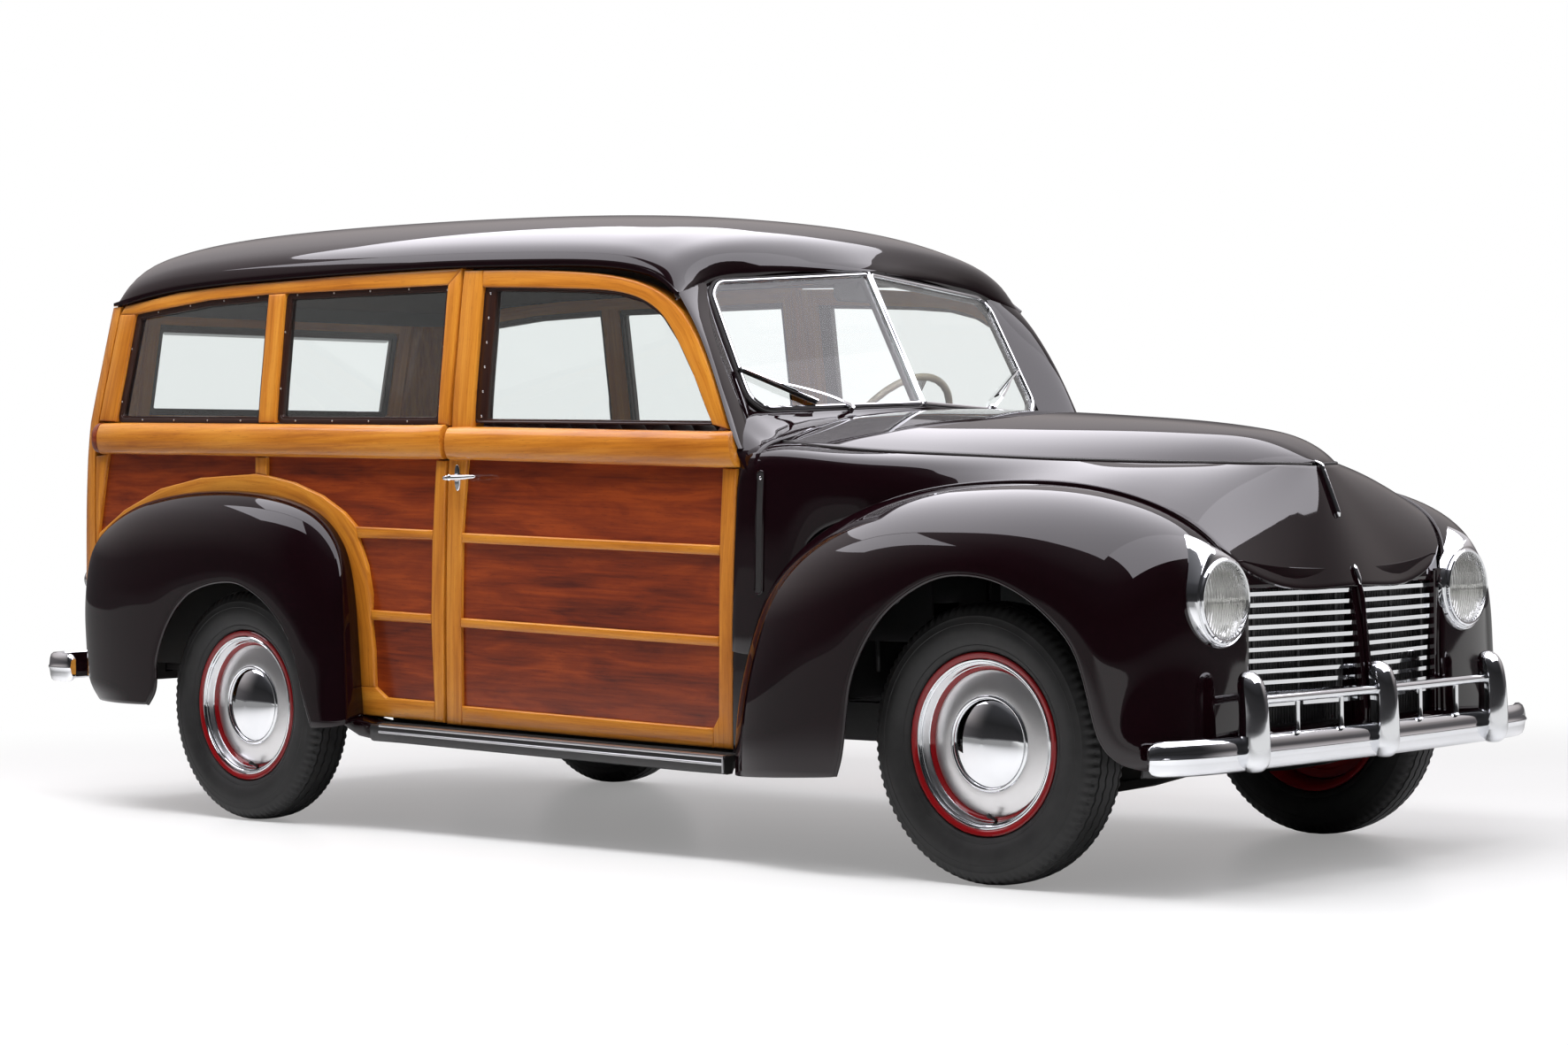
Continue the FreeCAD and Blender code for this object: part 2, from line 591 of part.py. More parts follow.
# ----------------------------------------------------------- rear fender
R_O = [(-3508, -745, 336), (-3552, -748, 385), (-3566, -750, 480), (-3566, -752, 590), (-3555, -754, 694), (-3516, -758, 801),
       (-3410, -760, 882), (-3262, -762, 937), (-3085, -764, 966), (-2890, -765, 976), (-2747, -765, 971), (-2616, -766, 956),
       (-2487, -766, 926), (-2390, -766, 877), (-2331, -766, 816), (-2298, -765, 737), (-2284, -762, 650), (-2278, -758, 540),
       (-2275, -752, 420), (-2272, -748, 325)]
R_C = [(-3510, -860, 334), (-3555, -868, 385), (-3570, -874, 480), (-3570, -880, 590), (-3557, -884, 700), (-3520, -886, 812),
       (-3412, -886, 900), (-3264, -886, 955), (-3085, -886, 980), (-2888, -886, 986), (-2747, -886, 980), (-2612, -886, 965),
       (-2478, -886, 936), (-2372, -886, 888), (-2308, -886, 822), (-2268, -886, 737), (-2248, -886, 650), (-2234, -886, 540),
       (-2220, -884, 420), (-2205, -880, 300)]
R_L = [(-3120, -884, 336), (-3088, -885, 372), (-3079, -885, 430), (-3072, -886, 480), (-3040, -886, 548), (-3010, -886, 590),
       (-2976, -886, 627), (-2935, -886, 658), (-2893, -886, 680), (-2796, -886, 704), (-2717, -886, 709), (-2668, -886, 703),
       (-2627, -886, 689), (-2580, -886, 667), (-2539, -886, 641), (-2476, -886, 586), (-2425, -886, 513), (-2403, -886, 448),
       (-2385, -885, 385), (-2352, -883, 297)]
R_O = [(x, -(half_width(z, x) + 9.5), z) for x, y, z in R_O]
RGF = station_grid(R_O, R_C, R_L, 11, 2.2)
rear_fender = solid_between(RGF, offset_grid(RGF, dim("fender_thick"), lambda x, y, z: (-2780.0, -640.0, 430.0)))
feature("rear_fenders", Part.makeCompound([rear_fender, mirror_y(rear_fender)]))

# ------------------------------------------------------------------ nose
N_T = [(-742, -642, 1077), (-600, -626, 1059), (-450, -604, 1046), (-300, -576, 1037), (-150, -539, 1028), (0, -489, 1019),
       (120, -435, 1013), (230, -366, 1008), (322, -282, 1005), (394, -192, 1001), (436, -102, 998), (455, -30, 995), (458, 0, 994)]
N_B = [(-742, -750, 545), (-612, -724, 795), (-492, -694, 877), (-320, -655, 938), (-150, -628, 962), (0, -610, 966),
       (125, -598, 961), (240, -582, 943), (350, -560, 910), (440, -531, 868), (507, -476, 789), (538, -250, 740), (558, 0, 744)]
N_C = [(-742, -770, 1040), (-606, -722, 1015), (-470, -680, 1005), (-310, -632, 1008), (-150, -586, 1006), (0, -545, 1002),
       (122, -505, 999), (235, -465, 994), (335, -420, 978), (405, -370, 950), (455, -290, 900), (495, -130, 875), (516, 0, 858)]


def nose_grid(nt=9):
    grid = []
    for k, (a, c, b) in enumerate(zip(N_T, N_C, N_B)):
        row = []
        for j in range(nt):
            t = j / (nt - 1.0)
            row.append(tuple((1 - t) ** 2 * p + 2 * t * (1 - t) * q + t * t * r for p, q, r in zip(a, c, b)))
        grid.append(row)
    return grid


def both_sides(grid):
    # carries the right-hand grid over the centreline to the left side
    return grid + [[(x, -y, z) for x, y, z in row] for row in reversed(grid[:-1])]


NG = both_sides(nose_grid())
NI = offset_grid(NG, dim("nose_thick"), lambda x, y, z: (min(x, 300.0) - 60.0, 0.0, 700.0))
nose = solid_between(NG, NI)
spine = prism_y([(538, 768), (549, 766), (561, 741), (580, 600), (600, 404), (600, 366), (522, 330), (522, 372), (532, 560)], -20.0, 20.0)
spine = spine.cut(box(400.0, 700.0, -100.0, 100.0, 736.0, 900.0))
cheek = loft([[(520.0, -441.0, z), (528.0, -418.0, z), (506.0, -418.0, z), (500.0, -441.0, z)] for z in (330.0, 728.0)], ruled=True)
valance = box(505.0, 535.0, -441.0, 441.0, 325.0, 372.0)
feature("nose", nose)
feature("grille_surround", fuse([spine, cheek, mirror_y(cheek), valance]))
apron = prism_y([(-735, 1030), (-735, 560), (-420, 560), (-420, 760), (380, 760), (380, 840), (200, 940), (-300, 1000)], -442.0, -434.0)

# ---------------------------------------------------------------- grille
bars = []
count = int(dim("grille_bars"))
for k in range(count):
    z = 718.0 - k * 26.3
    xc = 546.0 + (742.0 - z) * 0.10
    for side in (-1, 1):
        bars.append(rod((xc, side * 21.0, z), (516.0, side * 417.0, z), dim("bar_radius")))
posts = [rod((514.0 + dx, s * y, 375.0), (514.0 + dx, s * y, 730.0), 6.0) for s in (-1, 1) for y, dx in ((380.0, 2.0), (210.0, 16.0), (60.0, 28.0))]
grille_halves = []
for side in (-1, 1):
    mine = [b for b in bars if b.BoundBox.YMin * side > 0 or b.BoundBox.YMax * side > 0]
    mine = [b for b in mine if (b.BoundBox.YMin + b.BoundBox.YMax) * side > 0]
    mp = [p for p in posts if p.BoundBox.YMin * side > 0]
    grille_halves.append(mp[0].fuse(mp[1:] + mine))
feature("grille", Part.makeCompound(grille_halves))

# ------------------------------------------------------------------ cowl
def cowl_section(x, grow=0.0):
    pts = [(-half_width(280.0, x), 280.0), (-half_width(600.0, x), 600.0), (-half_width(900.0, x), 900.0), (-(half_width(1000.0, x) - 2), 1000.0),
           (-740.0, 1052.0), (-700.0, 1078.0), (-640.0, 1090.0), (-480.0, 1118.0), (-300.0, 1142.0), (-150.0, 1155.0), (0.0, 1160.0)]
    return pts


def arch_ring(x0, x1, thick):
    pts = cowl_section(-790.0)
    full = pts + [(-y, z) for y, z in reversed(pts[:-1])]
    inner = [(y * (abs(y) - thick) / abs(y) if abs(y) > thick else y, z - (thick if z > 1010 else 0)) for y, z in full]
    secs = [[(x, y, z) for y, z in full] + [(x, y, z) for y, z in reversed(inner)] for x in (x0, x1)]
    return loft(secs, ruled=True)


# the ring follows the door edge behind and the hood's rear edge in front
cowl_ring = arch_ring(-850.0, -748.0, 30.0)
door_side = [(-900, 200), (-848, 200), (-843, 280), (-801, 990), (-789, 1010), (-809, 1104), (-812, 1120), (-812, 1200), (-900, 1200)]
cowl_ring = cowl_ring.cut(prism_y(door_side, -900.0, 900.0))
hood_side = [Vector(-753.0 - 42.0 * (1.0 - (y / 640.0) ** 2), y, 1060.0) for y in [-640.0 + 80.0 * k for k in range(17)]]
hood_side = [Vector(-700.0, -640.0, 1060.0)] + hood_side + [Vector(-700.0, 640.0, 1060.0)]
cowl_ring = cowl_ring.cut(Part.Face(Part.makePolygon(hood_side + [hood_side[0]])).extrude(Vector(0, 0, 200.0)))
firewall = Part.makePolygon([Vector(-790, y, z) for y, z in ((-715, 400), (-715, 1040), (-600, 1065), (-300, 1110), (0, 1128), (300, 1110), (600, 1065), (715, 1040), (715, 400), (-715, 400))])
firewall = Part.Face(firewall).extrude(Vector(12, 0, 0))
firewall = firewall.cut(box(-830.0, -760.0, -112.0, 112.0, 380.0, 640.0))
screen_sill = loft([[(-812.0, -640.0, 1084.0), (-812.0, -300.0, 1136.0), (-812.0, 0.0, 1154.0), (-812.0, 300.0, 1136.0), (-812.0, 640.0, 1084.0), (-812.0, 640.0, 1060.0), (-812.0, 0.0, 1130.0), (-812.0, -640.0, 1060.0)],
                    [(-900.0, -640.0, 1100.0), (-900.0, -300.0, 1145.0), (-900.0, 0.0, 1160.0), (-900.0, 300.0, 1145.0), (-900.0, 640.0, 1100.0), (-900.0, 640.0, 1070.0), (-900.0, 0.0, 1130.0), (-900.0, -640.0, 1070.0)]], ruled=True)
dash = prism_y([(-900, 1130), (-955, 1128), (-985, 1105), (-985, 960), (-972, 960), (-972, 1098), (-950, 1114), (-900, 1116)], -640.0, 640.0)
cowl = fuse([cowl_ring, firewall, screen_sill, dash])
slope = math.radians(35.0)
cowl = cowl.cut(rod((-1222.0 - 40.0 * math.cos(slope), 360.0, 1100.0 + 40.0 * math.sin(slope)),
                    (-1222.0 + 640.0 * math.cos(slope), 360.0, 1100.0 - 640.0 * math.sin(slope)), dim("column_radius") + 4.0))
feature("cowl", Part.makeCompound([cowl, apron, mirror_y(apron)]))

# ----------------------------------------------------------------- floor
ft = dim("floor_thick")
front_floor = box(-2142.0, -794.0, -676.0, 676.0, 396.0, 396.0 + ft).cut(box(-1210.0, -780.0, -112.0, 112.0, 380.0, 420.0))
hump = box(-1220.0, -794.0, -122.0, 122.0, 396.0, 650.0).cut(box(-1210.0, -780.0, -112.0, 112.0, 380.0, 640.0))
tunnel = box(-2130.0, -1210.0, -64.0, 64.0, 400.0, 514.0)
riser = box(-2142.0, -2130.0, -606.0, 606.0, 396.0, 572.0)
rear_floor = box(-3600.0, -2130.0, -606.0, 606.0, 560.0, 560.0 + ft)
housings = []
for side in (-1, 1):
    y0, y1 = sorted((side * 596.0, side * 606.0))
    housings.append(box(-3530.0, -2250.0, y0, y1, 440.0, 760.0))
    y0, y1 = sorted((side * 596.0, side * 700.0))
    housings.append(box(-3530.0, -2250.0, y0, y1, 750.0, 762.0))
    y0, y1 = sorted((side * 598.0, side * 700.0))
    housings.append(box(-2262.0, -2250.0, y0, y1, 330.0, 762.0))
    y0, y1 = sorted((side * 598.0, side * 610.0))
    housings.append(box(-2262.0, -2130.0, y0, y1, 396.0, 572.0))
    y0, y1 = sorted((side * 630.0, side * 676.0))
    housings.append(box(-2142.0, -800.0, y0, y1, 318.0, 398.0))
base_f = box(-1800.0, -1380.0, -560.0, 560.0, 408.0, 586.0)
base_r = box(-2740.0, -2310.0, -560.0, 560.0, 570.0, 634.0)
# the panels stay separate solids that meet face to face
shaft_room = box(-2150.0, -1200.0, -54.0, 54.0, 380.0, 504.0)
pans = []
for slab in [front_floor, rear_floor, riser, hump, tunnel, base_f, base_r] + housings:
    for other in pans:
        slab = slab.cut(other)
    pans.extend(slab.cut(shaft_room).Solids)
feature("floor", Part.makeCompound(pans + [rear_panel]))

# --------------------------------------------------------- running boards
boards = []
for side in (-1, 1):
    y0, y1 = sorted((side * 701.0, side * (701.0 + dim("board_width"))))
    h = dim("board_height")
    boards.append(prism_y([(-816, 279 - h), (-2190, 310.5 - h), (-2190, 310.5), (-816, 279)], y0, y1))
feature("running_boards", Part.makeCompound(boards))

# ------------------------------------------------------------ ladder frame
rail_top = [(480, 400), (-700, 392), (-2150, 392), (-2420, 520), (-3100, 520), (-3300, 470), (-3660, 450)]


def rail_body(label):
    body = doc.addObject("PartDesign::Body", label + "_body")
    plane = [f for f in body.Origin.OriginFeatures if f.Role == "XZ_Plane"][0]
    sk = body.newObject("Sketcher::SketchObject", label + "_profile")
    sk.AttachmentSupport = [(plane, "")]
    sk.MapMode = "FlatFace"
    depth = dim("rail_height")
    pts = [(x, z) for x, z in rail_top] + [(x, z - depth) for x, z in reversed(rail_top)]
    for i in range(len(pts)):
        a, b = pts[i], pts[(i + 1) % len(pts)]
        sk.addGeometry(Part.LineSegment(Vector(a[0], a[1], 0), Vector(b[0], b[1], 0)), False)
    doc.recompute()
    pad = body.newObject("PartDesign::Pad", label + "_pad")
    pad.Profile = sk
    pad.Midplane = True
    pad.setExpression("Length", "Dims.rail_width")
    body.Tip = pad
    return body


rails = []
for side, label in ((-1, "rail_right"), (1, "rail_left")):
    b = rail_body(label)
    b.Placement = Placement(Vector(SHIFT, side * 330.0, 0), Rotation())
    b.setExpression("Placement.Base.x", "Dims.shift_x")
    b.setExpression("Placement.Base.y", ("-" if side < 0 else "") + "Dims.rail_half_gap")
    rails.append(b)
cross = []
for i, (x, z, w) in enumerate(((420.0, 312.0, 60.0), (-560.0, 312.0, 70.0), (-1500.0, 312.0, 70.0), (-2200.0, 292.0, 60.0), (-3600.0, 370.0, 60.0))):
    c = doc.addObject("Part::Box", "cross_member_%d" % i)
    bound(c, {"Width": "2 * Dims.rail_half_gap"})
    c.Length = w
    c.Height = 50.0 if i == 3 else 60.0
    place(c, x - w / 2, -330.0, z)
    c.setExpression("Placement.Base.y", "-Dims.rail_half_gap")
    cross.append(c)
frame = doc.addObject("Part::MultiFuse", "frame")
frame.Shapes = rails + cross
keep(frame, "frame")

# ---------------------------------------------------------------- engine
e1 = doc.addObject("Part::Box", "engine_block")
bound(e1, {"Length": "Dims.engine_length", "Width": "Dims.engine_width", "Height": "Dims.engine_height"})
place(e1, -420.0, -160.0, 440.0)
e1.setExpression("Placement.Base.y", "-Dims.engine_width / 2")
e2 = doc.addObject("Part::Box", "gearbox_block")
bound(e2, {"Length": "Dims.gearbox_length + 10", "Width": "Dims.gearbox_width", "Height": "Dims.gearbox_height"})
place(e2, -850.0, -100.0, 402.0)
e2.setExpression("Placement.Base.y", "-Dims.gearbox_width / 2")
motor = doc.addObject("Part::MultiFuse", "motor")
motor.Shapes = [e1, e2]
rad = doc.addObject("Part::Box", "radiator")
bound(rad, {"Length": "Dims.radiator_depth", "Width": "Dims.radiator_width", "Height": "Dims.radiator_height"})
place(rad, 330.0, -240.0, 470.0)
rad.setExpression("Placement.Base.y", "-Dims.radiator_width / 2")
engine = doc.addObject("Part::Compound", "engine")
engine.Links = [motor, rad]
keep(engine, "engine")

# ------------------------------------------------------------- drivetrain
shaft = rod((-853.0, 0.0, 470.0), (-2626.0, 0.0, 352.0), dim("shaft_radius"))
feature("driveshaft", shaft)

tube = doc.addObject("Part::Cylinder", "axle_tube")
bound(tube, {"Radius": "Dims.axle_tube_radius", "Height": "2 * (Dims.rear_track_half - 100)"})
place(tube, -WB, -638.0, AH, (1, 0, 0), -90)
tube.setExpression("Placement.Base.y", "-(Dims.rear_track_half - 100)")
tube.setExpression("Placement.Base.z", "Dims.axle_height")
stub = doc.addObject("Part::Cylinder", "axle_shaft")
bound(stub, {"Radius": "Dims.spindle_radius", "Height": "2 * (Dims.rear_track_half - 5)"})
place(stub, -WB, -733.0, AH, (1, 0, 0), -90)
stub.setExpression("Placement.Base.y", "-(Dims.rear_track_half - 5)")
diff = doc.addObject("Part::Sphere", "differential")
bound(diff, {"Radius": "Dims.diff_radius"})
place(diff, -WB, 0.0, AH)
plates = []
for side, label in ((-1, "right"), (1, "left")):
    p = doc.addObject("Part::Cylinder", "backing_plate_" + label)
    bound(p, {"Radius": "Dims.drum_radius"})
    p.Height = 8.0
    place(p, -WB, side * 640.0 - 4.0, AH, (1, 0, 0), -90)
    plates.append(p)
rear_axle = doc.addObject("Part::MultiFuse", "rear_axle")
rear_axle.Shapes = [tube, stub, diff] + plates
keep(rear_axle, "rear_axle")

kp = dim("kingpin_half_track")
beam = loft([[(-22.0, y, z - 22.0), (22.0, y, z - 22.0), (22.0, y, z + 22.0), (-22.0, y, z + 22.0)]
             for y, z in ((-576.0, 340.0), (-500.0, 318.0), (-430.0, 268.0), (-300.0, 250.0), (300.0, 250.0), (430.0, 268.0), (500.0, 318.0), (576.0, 340.0))], ruled=True)
axle_parts = [beam]
for side in (-1, 1):
    boss = rod((0, side * kp, 312.0), (0, side * kp, 368.0), 27.0)
    axle_parts.append(boss)
front_axle = fuse(axle_parts)
for side in (-1, 1):
    front_axle = front_axle.cut(rod((0, side * kp, 300.0), (0, side * kp, 380.0), dim("kingpin_hole_radius")))
feature("front_axle", front_axle)


def knuckle(side):
    # side -1 right, +1 left
    ft_ = dim("front_track_half")
    parts = [rod((0, side * kp, 270.0), (0, side * kp, 410.0), dim("kingpin_radius")),
             rod((0, side * kp, 276.0), (0, side * kp, 306.0), 26.0),
             rod((0, side * kp, 374.0), (0, side * kp, 404.0), 26.0)]
    y0, y1 = sorted((side * kp, side * (kp + 44.0)))
    parts.append(box(-24.0, 24.0, y0, y1, 276.0, 306.0))
    parts.append(box(-24.0, 24.0, y0, y1, 374.0, 404.0))
    y0, y1 = sorted((side * (kp + 32.0), side * (kp + 44.0)))
    parts.append(box(-40.0, 40.0, y0, y1, 276.0, 404.0))
    parts.append(rod((0, side * (kp + 40.0), AH), (0, side * (ft_ - 4.0), AH), dim("spindle_radius")))
    parts.append(rod((0, side * (kp + 36.0), AH), (0, side * (kp + 44.0), AH), dim("drum_radius")))
    # steering arm to the rear, low on the knuckle
    y0, y1 = sorted((side * (kp - 46.0), side * (kp + 14.0)))
    arm = loft([[(-10.0, side * (kp - 14.0), 278.0), (-10.0, side * (kp + 14.0), 278.0), (-10.0, side * (kp + 14.0), 298.0), (-10.0, side * (kp - 14.0), 298.0)],
                [(-160.0, side * (kp - 32.0), 278.0), (-160.0, side * (kp - 8.0), 278.0), (-160.0, side * (kp - 8.0), 298.0), (-160.0, side * (kp - 32.0), 298.0)]], ruled=True)
    parts.append(arm)
    return fuse(parts)


feature("knuckle_right", knuckle(-1))
feature("knuckle_left", knuckle(1))
tie = fuse([rod((-150.0, -(kp - 20.0), 262.0), (-150.0, (kp - 20.0), 262.0), dim("tie_rod_radius")),
            rod((-150.0, -(kp - 20.0), 250.0), (-150.0, -(kp - 20.0), 272.0), 16.0),
            rod((-150.0, (kp - 20.0), 250.0), (-150.0, (kp - 20.0), 272.0), 16.0)])
feature("tie_rod", tie)


def leaf(x0, x1, y, zend, zmid, layers):
    # stack of leaves as one curved bar, thicker in the middle
    n = 9
    top, bottom = [], []
    for i in range(n):
        t = i / (n - 1.0)
        x = x0 + (x1 - x0) * t
        sag = (2 * t - 1) ** 2
        z = zmid + (zend - zmid) * sag
        top.append((x, z))
        bottom.append((x, z - 9.0 - layers * (1 - abs(2 * t - 1))))
    return prism_y(top + bottom[::-1], y - 22.0, y + 22.0)


springs = []
for side in (-1, 1):
    springs.append(leaf(-430.0, 430.0, side * 392.0, 300.0, 222.0, 22.0))
    springs.append(leaf(-3330.0, -2180.0, side * 480.0, 420.0, 296.0, 26.0))
feature("leaf_springs", Part.makeCompound(springs))

pipe = [(-250.0, 190.0, 440.0), (-430.0, 205.0, 262.0), (-1600.0, 210.0, 262.0)]
tail_pipe = [(-2020.0, 210.0, 262.0), (-2250.0, 210.0, 262.0), (-2560.0, 215.0, 470.0), (-2930.0, 215.0, 470.0), (-3080.0, 250.0, 352.0), (-3240.0, 392.0, 330.0), (-3740.0, 430.0, 330.0)]


def pipe_solid(pts, r):
    parts = [rod(a, b, r) for a, b in zip(pts, pts[1:])]
    for p in pts[1:-1]:
        parts.append(Part.makeSphere(r, Vector(*p)))
    return parts


muffler = rod((-1600.0, 210.0, 262.0), (-1600.0 - dim("muffler_length"), 210.0, 262.0), dim("muffler_radius"))
feature("exhaust", fuse([muffler] + pipe_solid(pipe, dim("pipe_radius")) + pipe_solid(tail_pipe, dim("pipe_radius"))))

tank = doc.addObject("Part::Box", "tank_block")
bound(tank, {"Length": "Dims.tank_length", "Width": "Dims.tank_width * 0.9", "Height": "Dims.tank_height"})
place(tank, -3560.0, -260.0, 330.0)
tank.setExpression("Placement.Base.y", "-Dims.tank_width * 0.45")
tank_round = doc.addObject("Part::Fillet", "fuel_tank")
tank_round.Base = tank
doc.recompute()
tank_round.Edges = [(i + 1, 30.0, 30.0) for i in range(len(tank.Shape.Edges))]
keep(tank_round, "fuel_tank")


# ---------------------------------------------------------------- wheels
def revolved(label, profile, bindings=None):
    # body turned about the sketch's X axis, which is the wheel's axle (Y of the car)
    body = doc.addObject("PartDesign::Body", label)
    plane = [f for f in body.Origin.OriginFeatures if f.Role == "XY_Plane"][0]
    sk = body.newObject("Sketcher::SketchObject", label + "_profile")
    sk.AttachmentSupport = [(plane, "")]
    sk.MapMode = "FlatFace"
    for i in range(len(profile)):
        a, b = profile[i], profile[(i + 1) % len(profile)]
        sk.addGeometry(Part.LineSegment(Vector(a[0], a[1], 0), Vector(b[0], b[1], 0)), False)
    doc.recompute()
    rev = body.newObject("PartDesign::Revolution", label + "_turn")
    rev.Profile = sk
    rev.ReferenceAxis = (sk, ["H_Axis"])
    rev.Angle = 360.0
    body.Tip = rev
    return body


TR, TW, TB = dim("tyre_radius"), dim("tyre_width"), dim("tyre_bore_radius")
# u is outboard along the axle from the tyre's centre plane, v the radius
TYRE = [(-49, TB), (-49, TB + 18), (-60, TB + 20), (-70, TB + 38), (-TW / 2, TB + 62), (-TW / 2, TB + 74), (-74, TB + 96), (-66, TB + 116),
        (-58, TR - 9), (-48, TR - 4), (-24, TR - 0.8), (0, TR), (24, TR - 0.8), (48, TR - 4), (58, TR - 9), (66, TB + 116), (74, TB + 96), (TW / 2, TB + 74),
        (TW / 2, TB + 62), (70, TB + 38), (60, TB + 20), (49, TB + 18), (49, TB), (49, TB - 0.2), (-49, TB - 0.2)]
TYRE = TYRE[:-2]
RF, RS, HB, DR = dim("rim_radius"), dim("rim_seat_radius"), dim("hub_bore_radius"), dim("drum_radius")
WHEEL = [(57, RF), (52, RF), (50, RS), (-50, RS), (-52, RF), (-57, RF), (-59, RF - 12), (-56, RS - 7), (-14, RS - 9), (-6, DR + 20), (-8, DR + 4),
         (-56, DR + 4), (-56, DR - 8), (-8, DR - 8), (-6, 60), (-24, 34), (-24, HB), (18, HB), (30, 34), (46, 40), (44, 92), (24, 104), (18, 120),
         (20, 152), (6, 172), (14, 190), (44, RS - 8), (57, RS - 2), (60, RF - 8)]
for fr, x, half in (("front", 0.0, "front_track_half"), ("rear", -WB, "rear_track_half")):
    for side, sd in ((-1, "right"), (1, "left")):
        for kind, prof in (("tyre", TYRE), ("wheel", WHEEL)):
            name = "%s_%s_%s" % (kind, fr, sd)
            b = revolved(name, prof)
            # sketch X to outboard
            b.Placement = Placement(Vector(SHIFT + x, side * dim(half), AH), Rotation(Vector(0, 0, 1), 90.0 * side))
            b.setExpression("Placement.Base.x", "Dims.shift_x" if fr == "front" else "Dims.shift_x - Dims.wheelbase")
            b.setExpression("Placement.Base.y", ("-" if side < 0 else "") + "Dims." + half)
            b.setExpression("Placement.Base.z", "Dims.axle_height")
            keep(b, name)

# -------------------------------------------------------------- headlamps
LR, LB = dim("lamp_ring_radius"), dim("lamp_bucket_radius")
LAMP = [(-150, 0), (-150, 30), (-120, 62), (-70, LB - 6), (-20, LB), (4, LB), (4, LR), (20, LR), (30, LR - 8), (30, LR - 16), (38, 60), (42, 0)]
lamps = []
for side, sd in ((-1, "right"), (1, "left")):
    b = revolved("lamp_" + sd, LAMP)
    b.Placement = Placement(Vector(SHIFT + 520.0, side * dim("lamp_half_gap"), dim("lamp_height")), Rotation())
    b.setExpression("Placement.Base.x", "Dims.shift_x + 520")
    b.setExpression("Placement.Base.y", ("-" if side < 0 else "") + "Dims.lamp_half_gap")
    b.setExpression("Placement.Base.z", "Dims.lamp_height")
    lamps.append(b)
pair = doc.addObject("Part::Compound", "headlamps")
pair.Links = lamps
keep(pair, "headlamps")

# each lamp's back follows the corner post it is fixed to
tail_lamps = []
for side in (-1, 1):
    tail_lamps.append(rod((-3662.0, side * 634.0, 700.0), (-3732.0, side * 634.0, 700.0), 40.0).cut(rear_frame))
feature("tail_lamps", Part.makeCompound(tail_lamps))


# ---------------------------------------------------------------- bumpers
def bar_sections(path, z0, z1, depth, front):
    secs = []
    for i, (x, y) in enumerate(path):
        a = path[max(i - 1, 0)]
        b = path[min(i + 1, len(path) - 1)]
        t = Vector(b[0] - a[0], b[1] - a[1], 0)
        t.normalize()
        n = Vector(t.y, -t.x, 0) * (1 if front else -1)
        prof = [(0, z0), (depth * 0.7, z0 + (z1 - z0) * 0.18), (depth * 0.86, z0 + (z1 - z0) * 0.42), (depth, z0 + (z1 - z0) * 0.5),
                (depth * 0.86, z0 + (z1 - z0) * 0.58), (depth * 0.7, z0 + (z1 - z0) * 0.82), (0, z1), (-4, z1 - 3), (-4, z0 + 3)]
        secs.append([(x + n.x * d, y + n.y * d, z) for d, z in prof])
    return loft(secs)


front_path = [(500, -850), (545, -800), (580, -715), (598, -560), (606, -380), (612, -190), (614, 0), (612, 190), (606, 380), (598, 560), (580, 715), (545, 800), (500, 850)]
front_bar = bar_sections(front_path, 288.0, 288.0 + dim("bar_height"), 26.0, True)


def overrider(y, xb, z0, z1):
    secs = []
    for z, w, d in ((z0, 14.0, 10.0), (z0 + 14, 26.0, 26.0), (z0 + 50, 31.0, 34.0), ((z0 + z1) / 2, 30.0, 33.0), (z1 - 44, 27.0, 30.0), (z1 - 14, 22.0, 24.0), (z1, 12.0, 9.0)):
        sec = []
        for i in range(12):
            a = math.radians(30.0 * i)
            sec.append((xb + d * math.cos(a), y + w * math.sin(a), z))
        secs.append(sec)
    return loft(secs)


guards = [overrider(y, x, 284.0, 520.0) for y, x in ((-544.0, 622.0), (0.0, 634.0), (544.0, 622.0))]
tubes = [rod((630.0, s * 1.0, 452.0), (616.0, s * 546.0, 452.0), dim("guard_radius")) for s in (-1, 1)]
struts = [rod((x, s * y, 362.0), (x, s * y, 452.0), 6.0) for s in (-1, 1) for x, y in ((622.0, 180.0), (619.0, 362.0))]
brackets = []
for s in (-1, 1):
    y0, y1 = sorted((s * 310.0, s * 350.0))
    brackets.append(box(482.0, 606.0, y0, y1, 300.0, 320.0))
feature("front_bumper", fuse([front_bar] + guards + tubes + struts + brackets))

rear_path = [(-3680, -742), (-3760, -738), (-3822, -715), (-3850, -640), (-3862, -400), (-3866, 0), (-3862, 400), (-3850, 640), (-3822, 715), (-3760, 738), (-3680, 742)]
rear_bar = bar_sections(rear_path[::-1], 378.0, 470.0, 22.0, True)
rear_brackets = [box(-3862.0, -3560.0, s * 368.0 - 9.5, s * 368.0 + 9.5, 400.0, 420.0) for s in (-1, 1)]
feature("rear_bumper", fuse([rear_bar] + rear_brackets))

# ----------------------------------------------------------------- seats
sw = dim("seat_half_width")


def bench(x, cushion_z, w):
    return prism_y([(x, cushion_z - 180), (x - 500, cushion_z - 210), (x - 500, cushion_z - 40), (x, cushion_z)], -w, w)


seat_parts = []
for x, cz, top, w in ((-1340.0, 800.0, 1160.0, sw), (-2270.0, 850.0, 1195.0, sw - 25.0)):
    seat_parts.append(bench(x, cz, w))
    seat_parts.append(prism_y([(x - 470, cz - 34), (x - 566, top), (x - 610, top + 4), (x - 640, top - 20), (x - 610, cz - 190), (x - 502, cz - 190), (x - 502, cz - 36)], -w, w))
feature("front_seat", fuse(seat_parts[:2]))
feature("rear_seat", fuse(seat_parts[2:]))

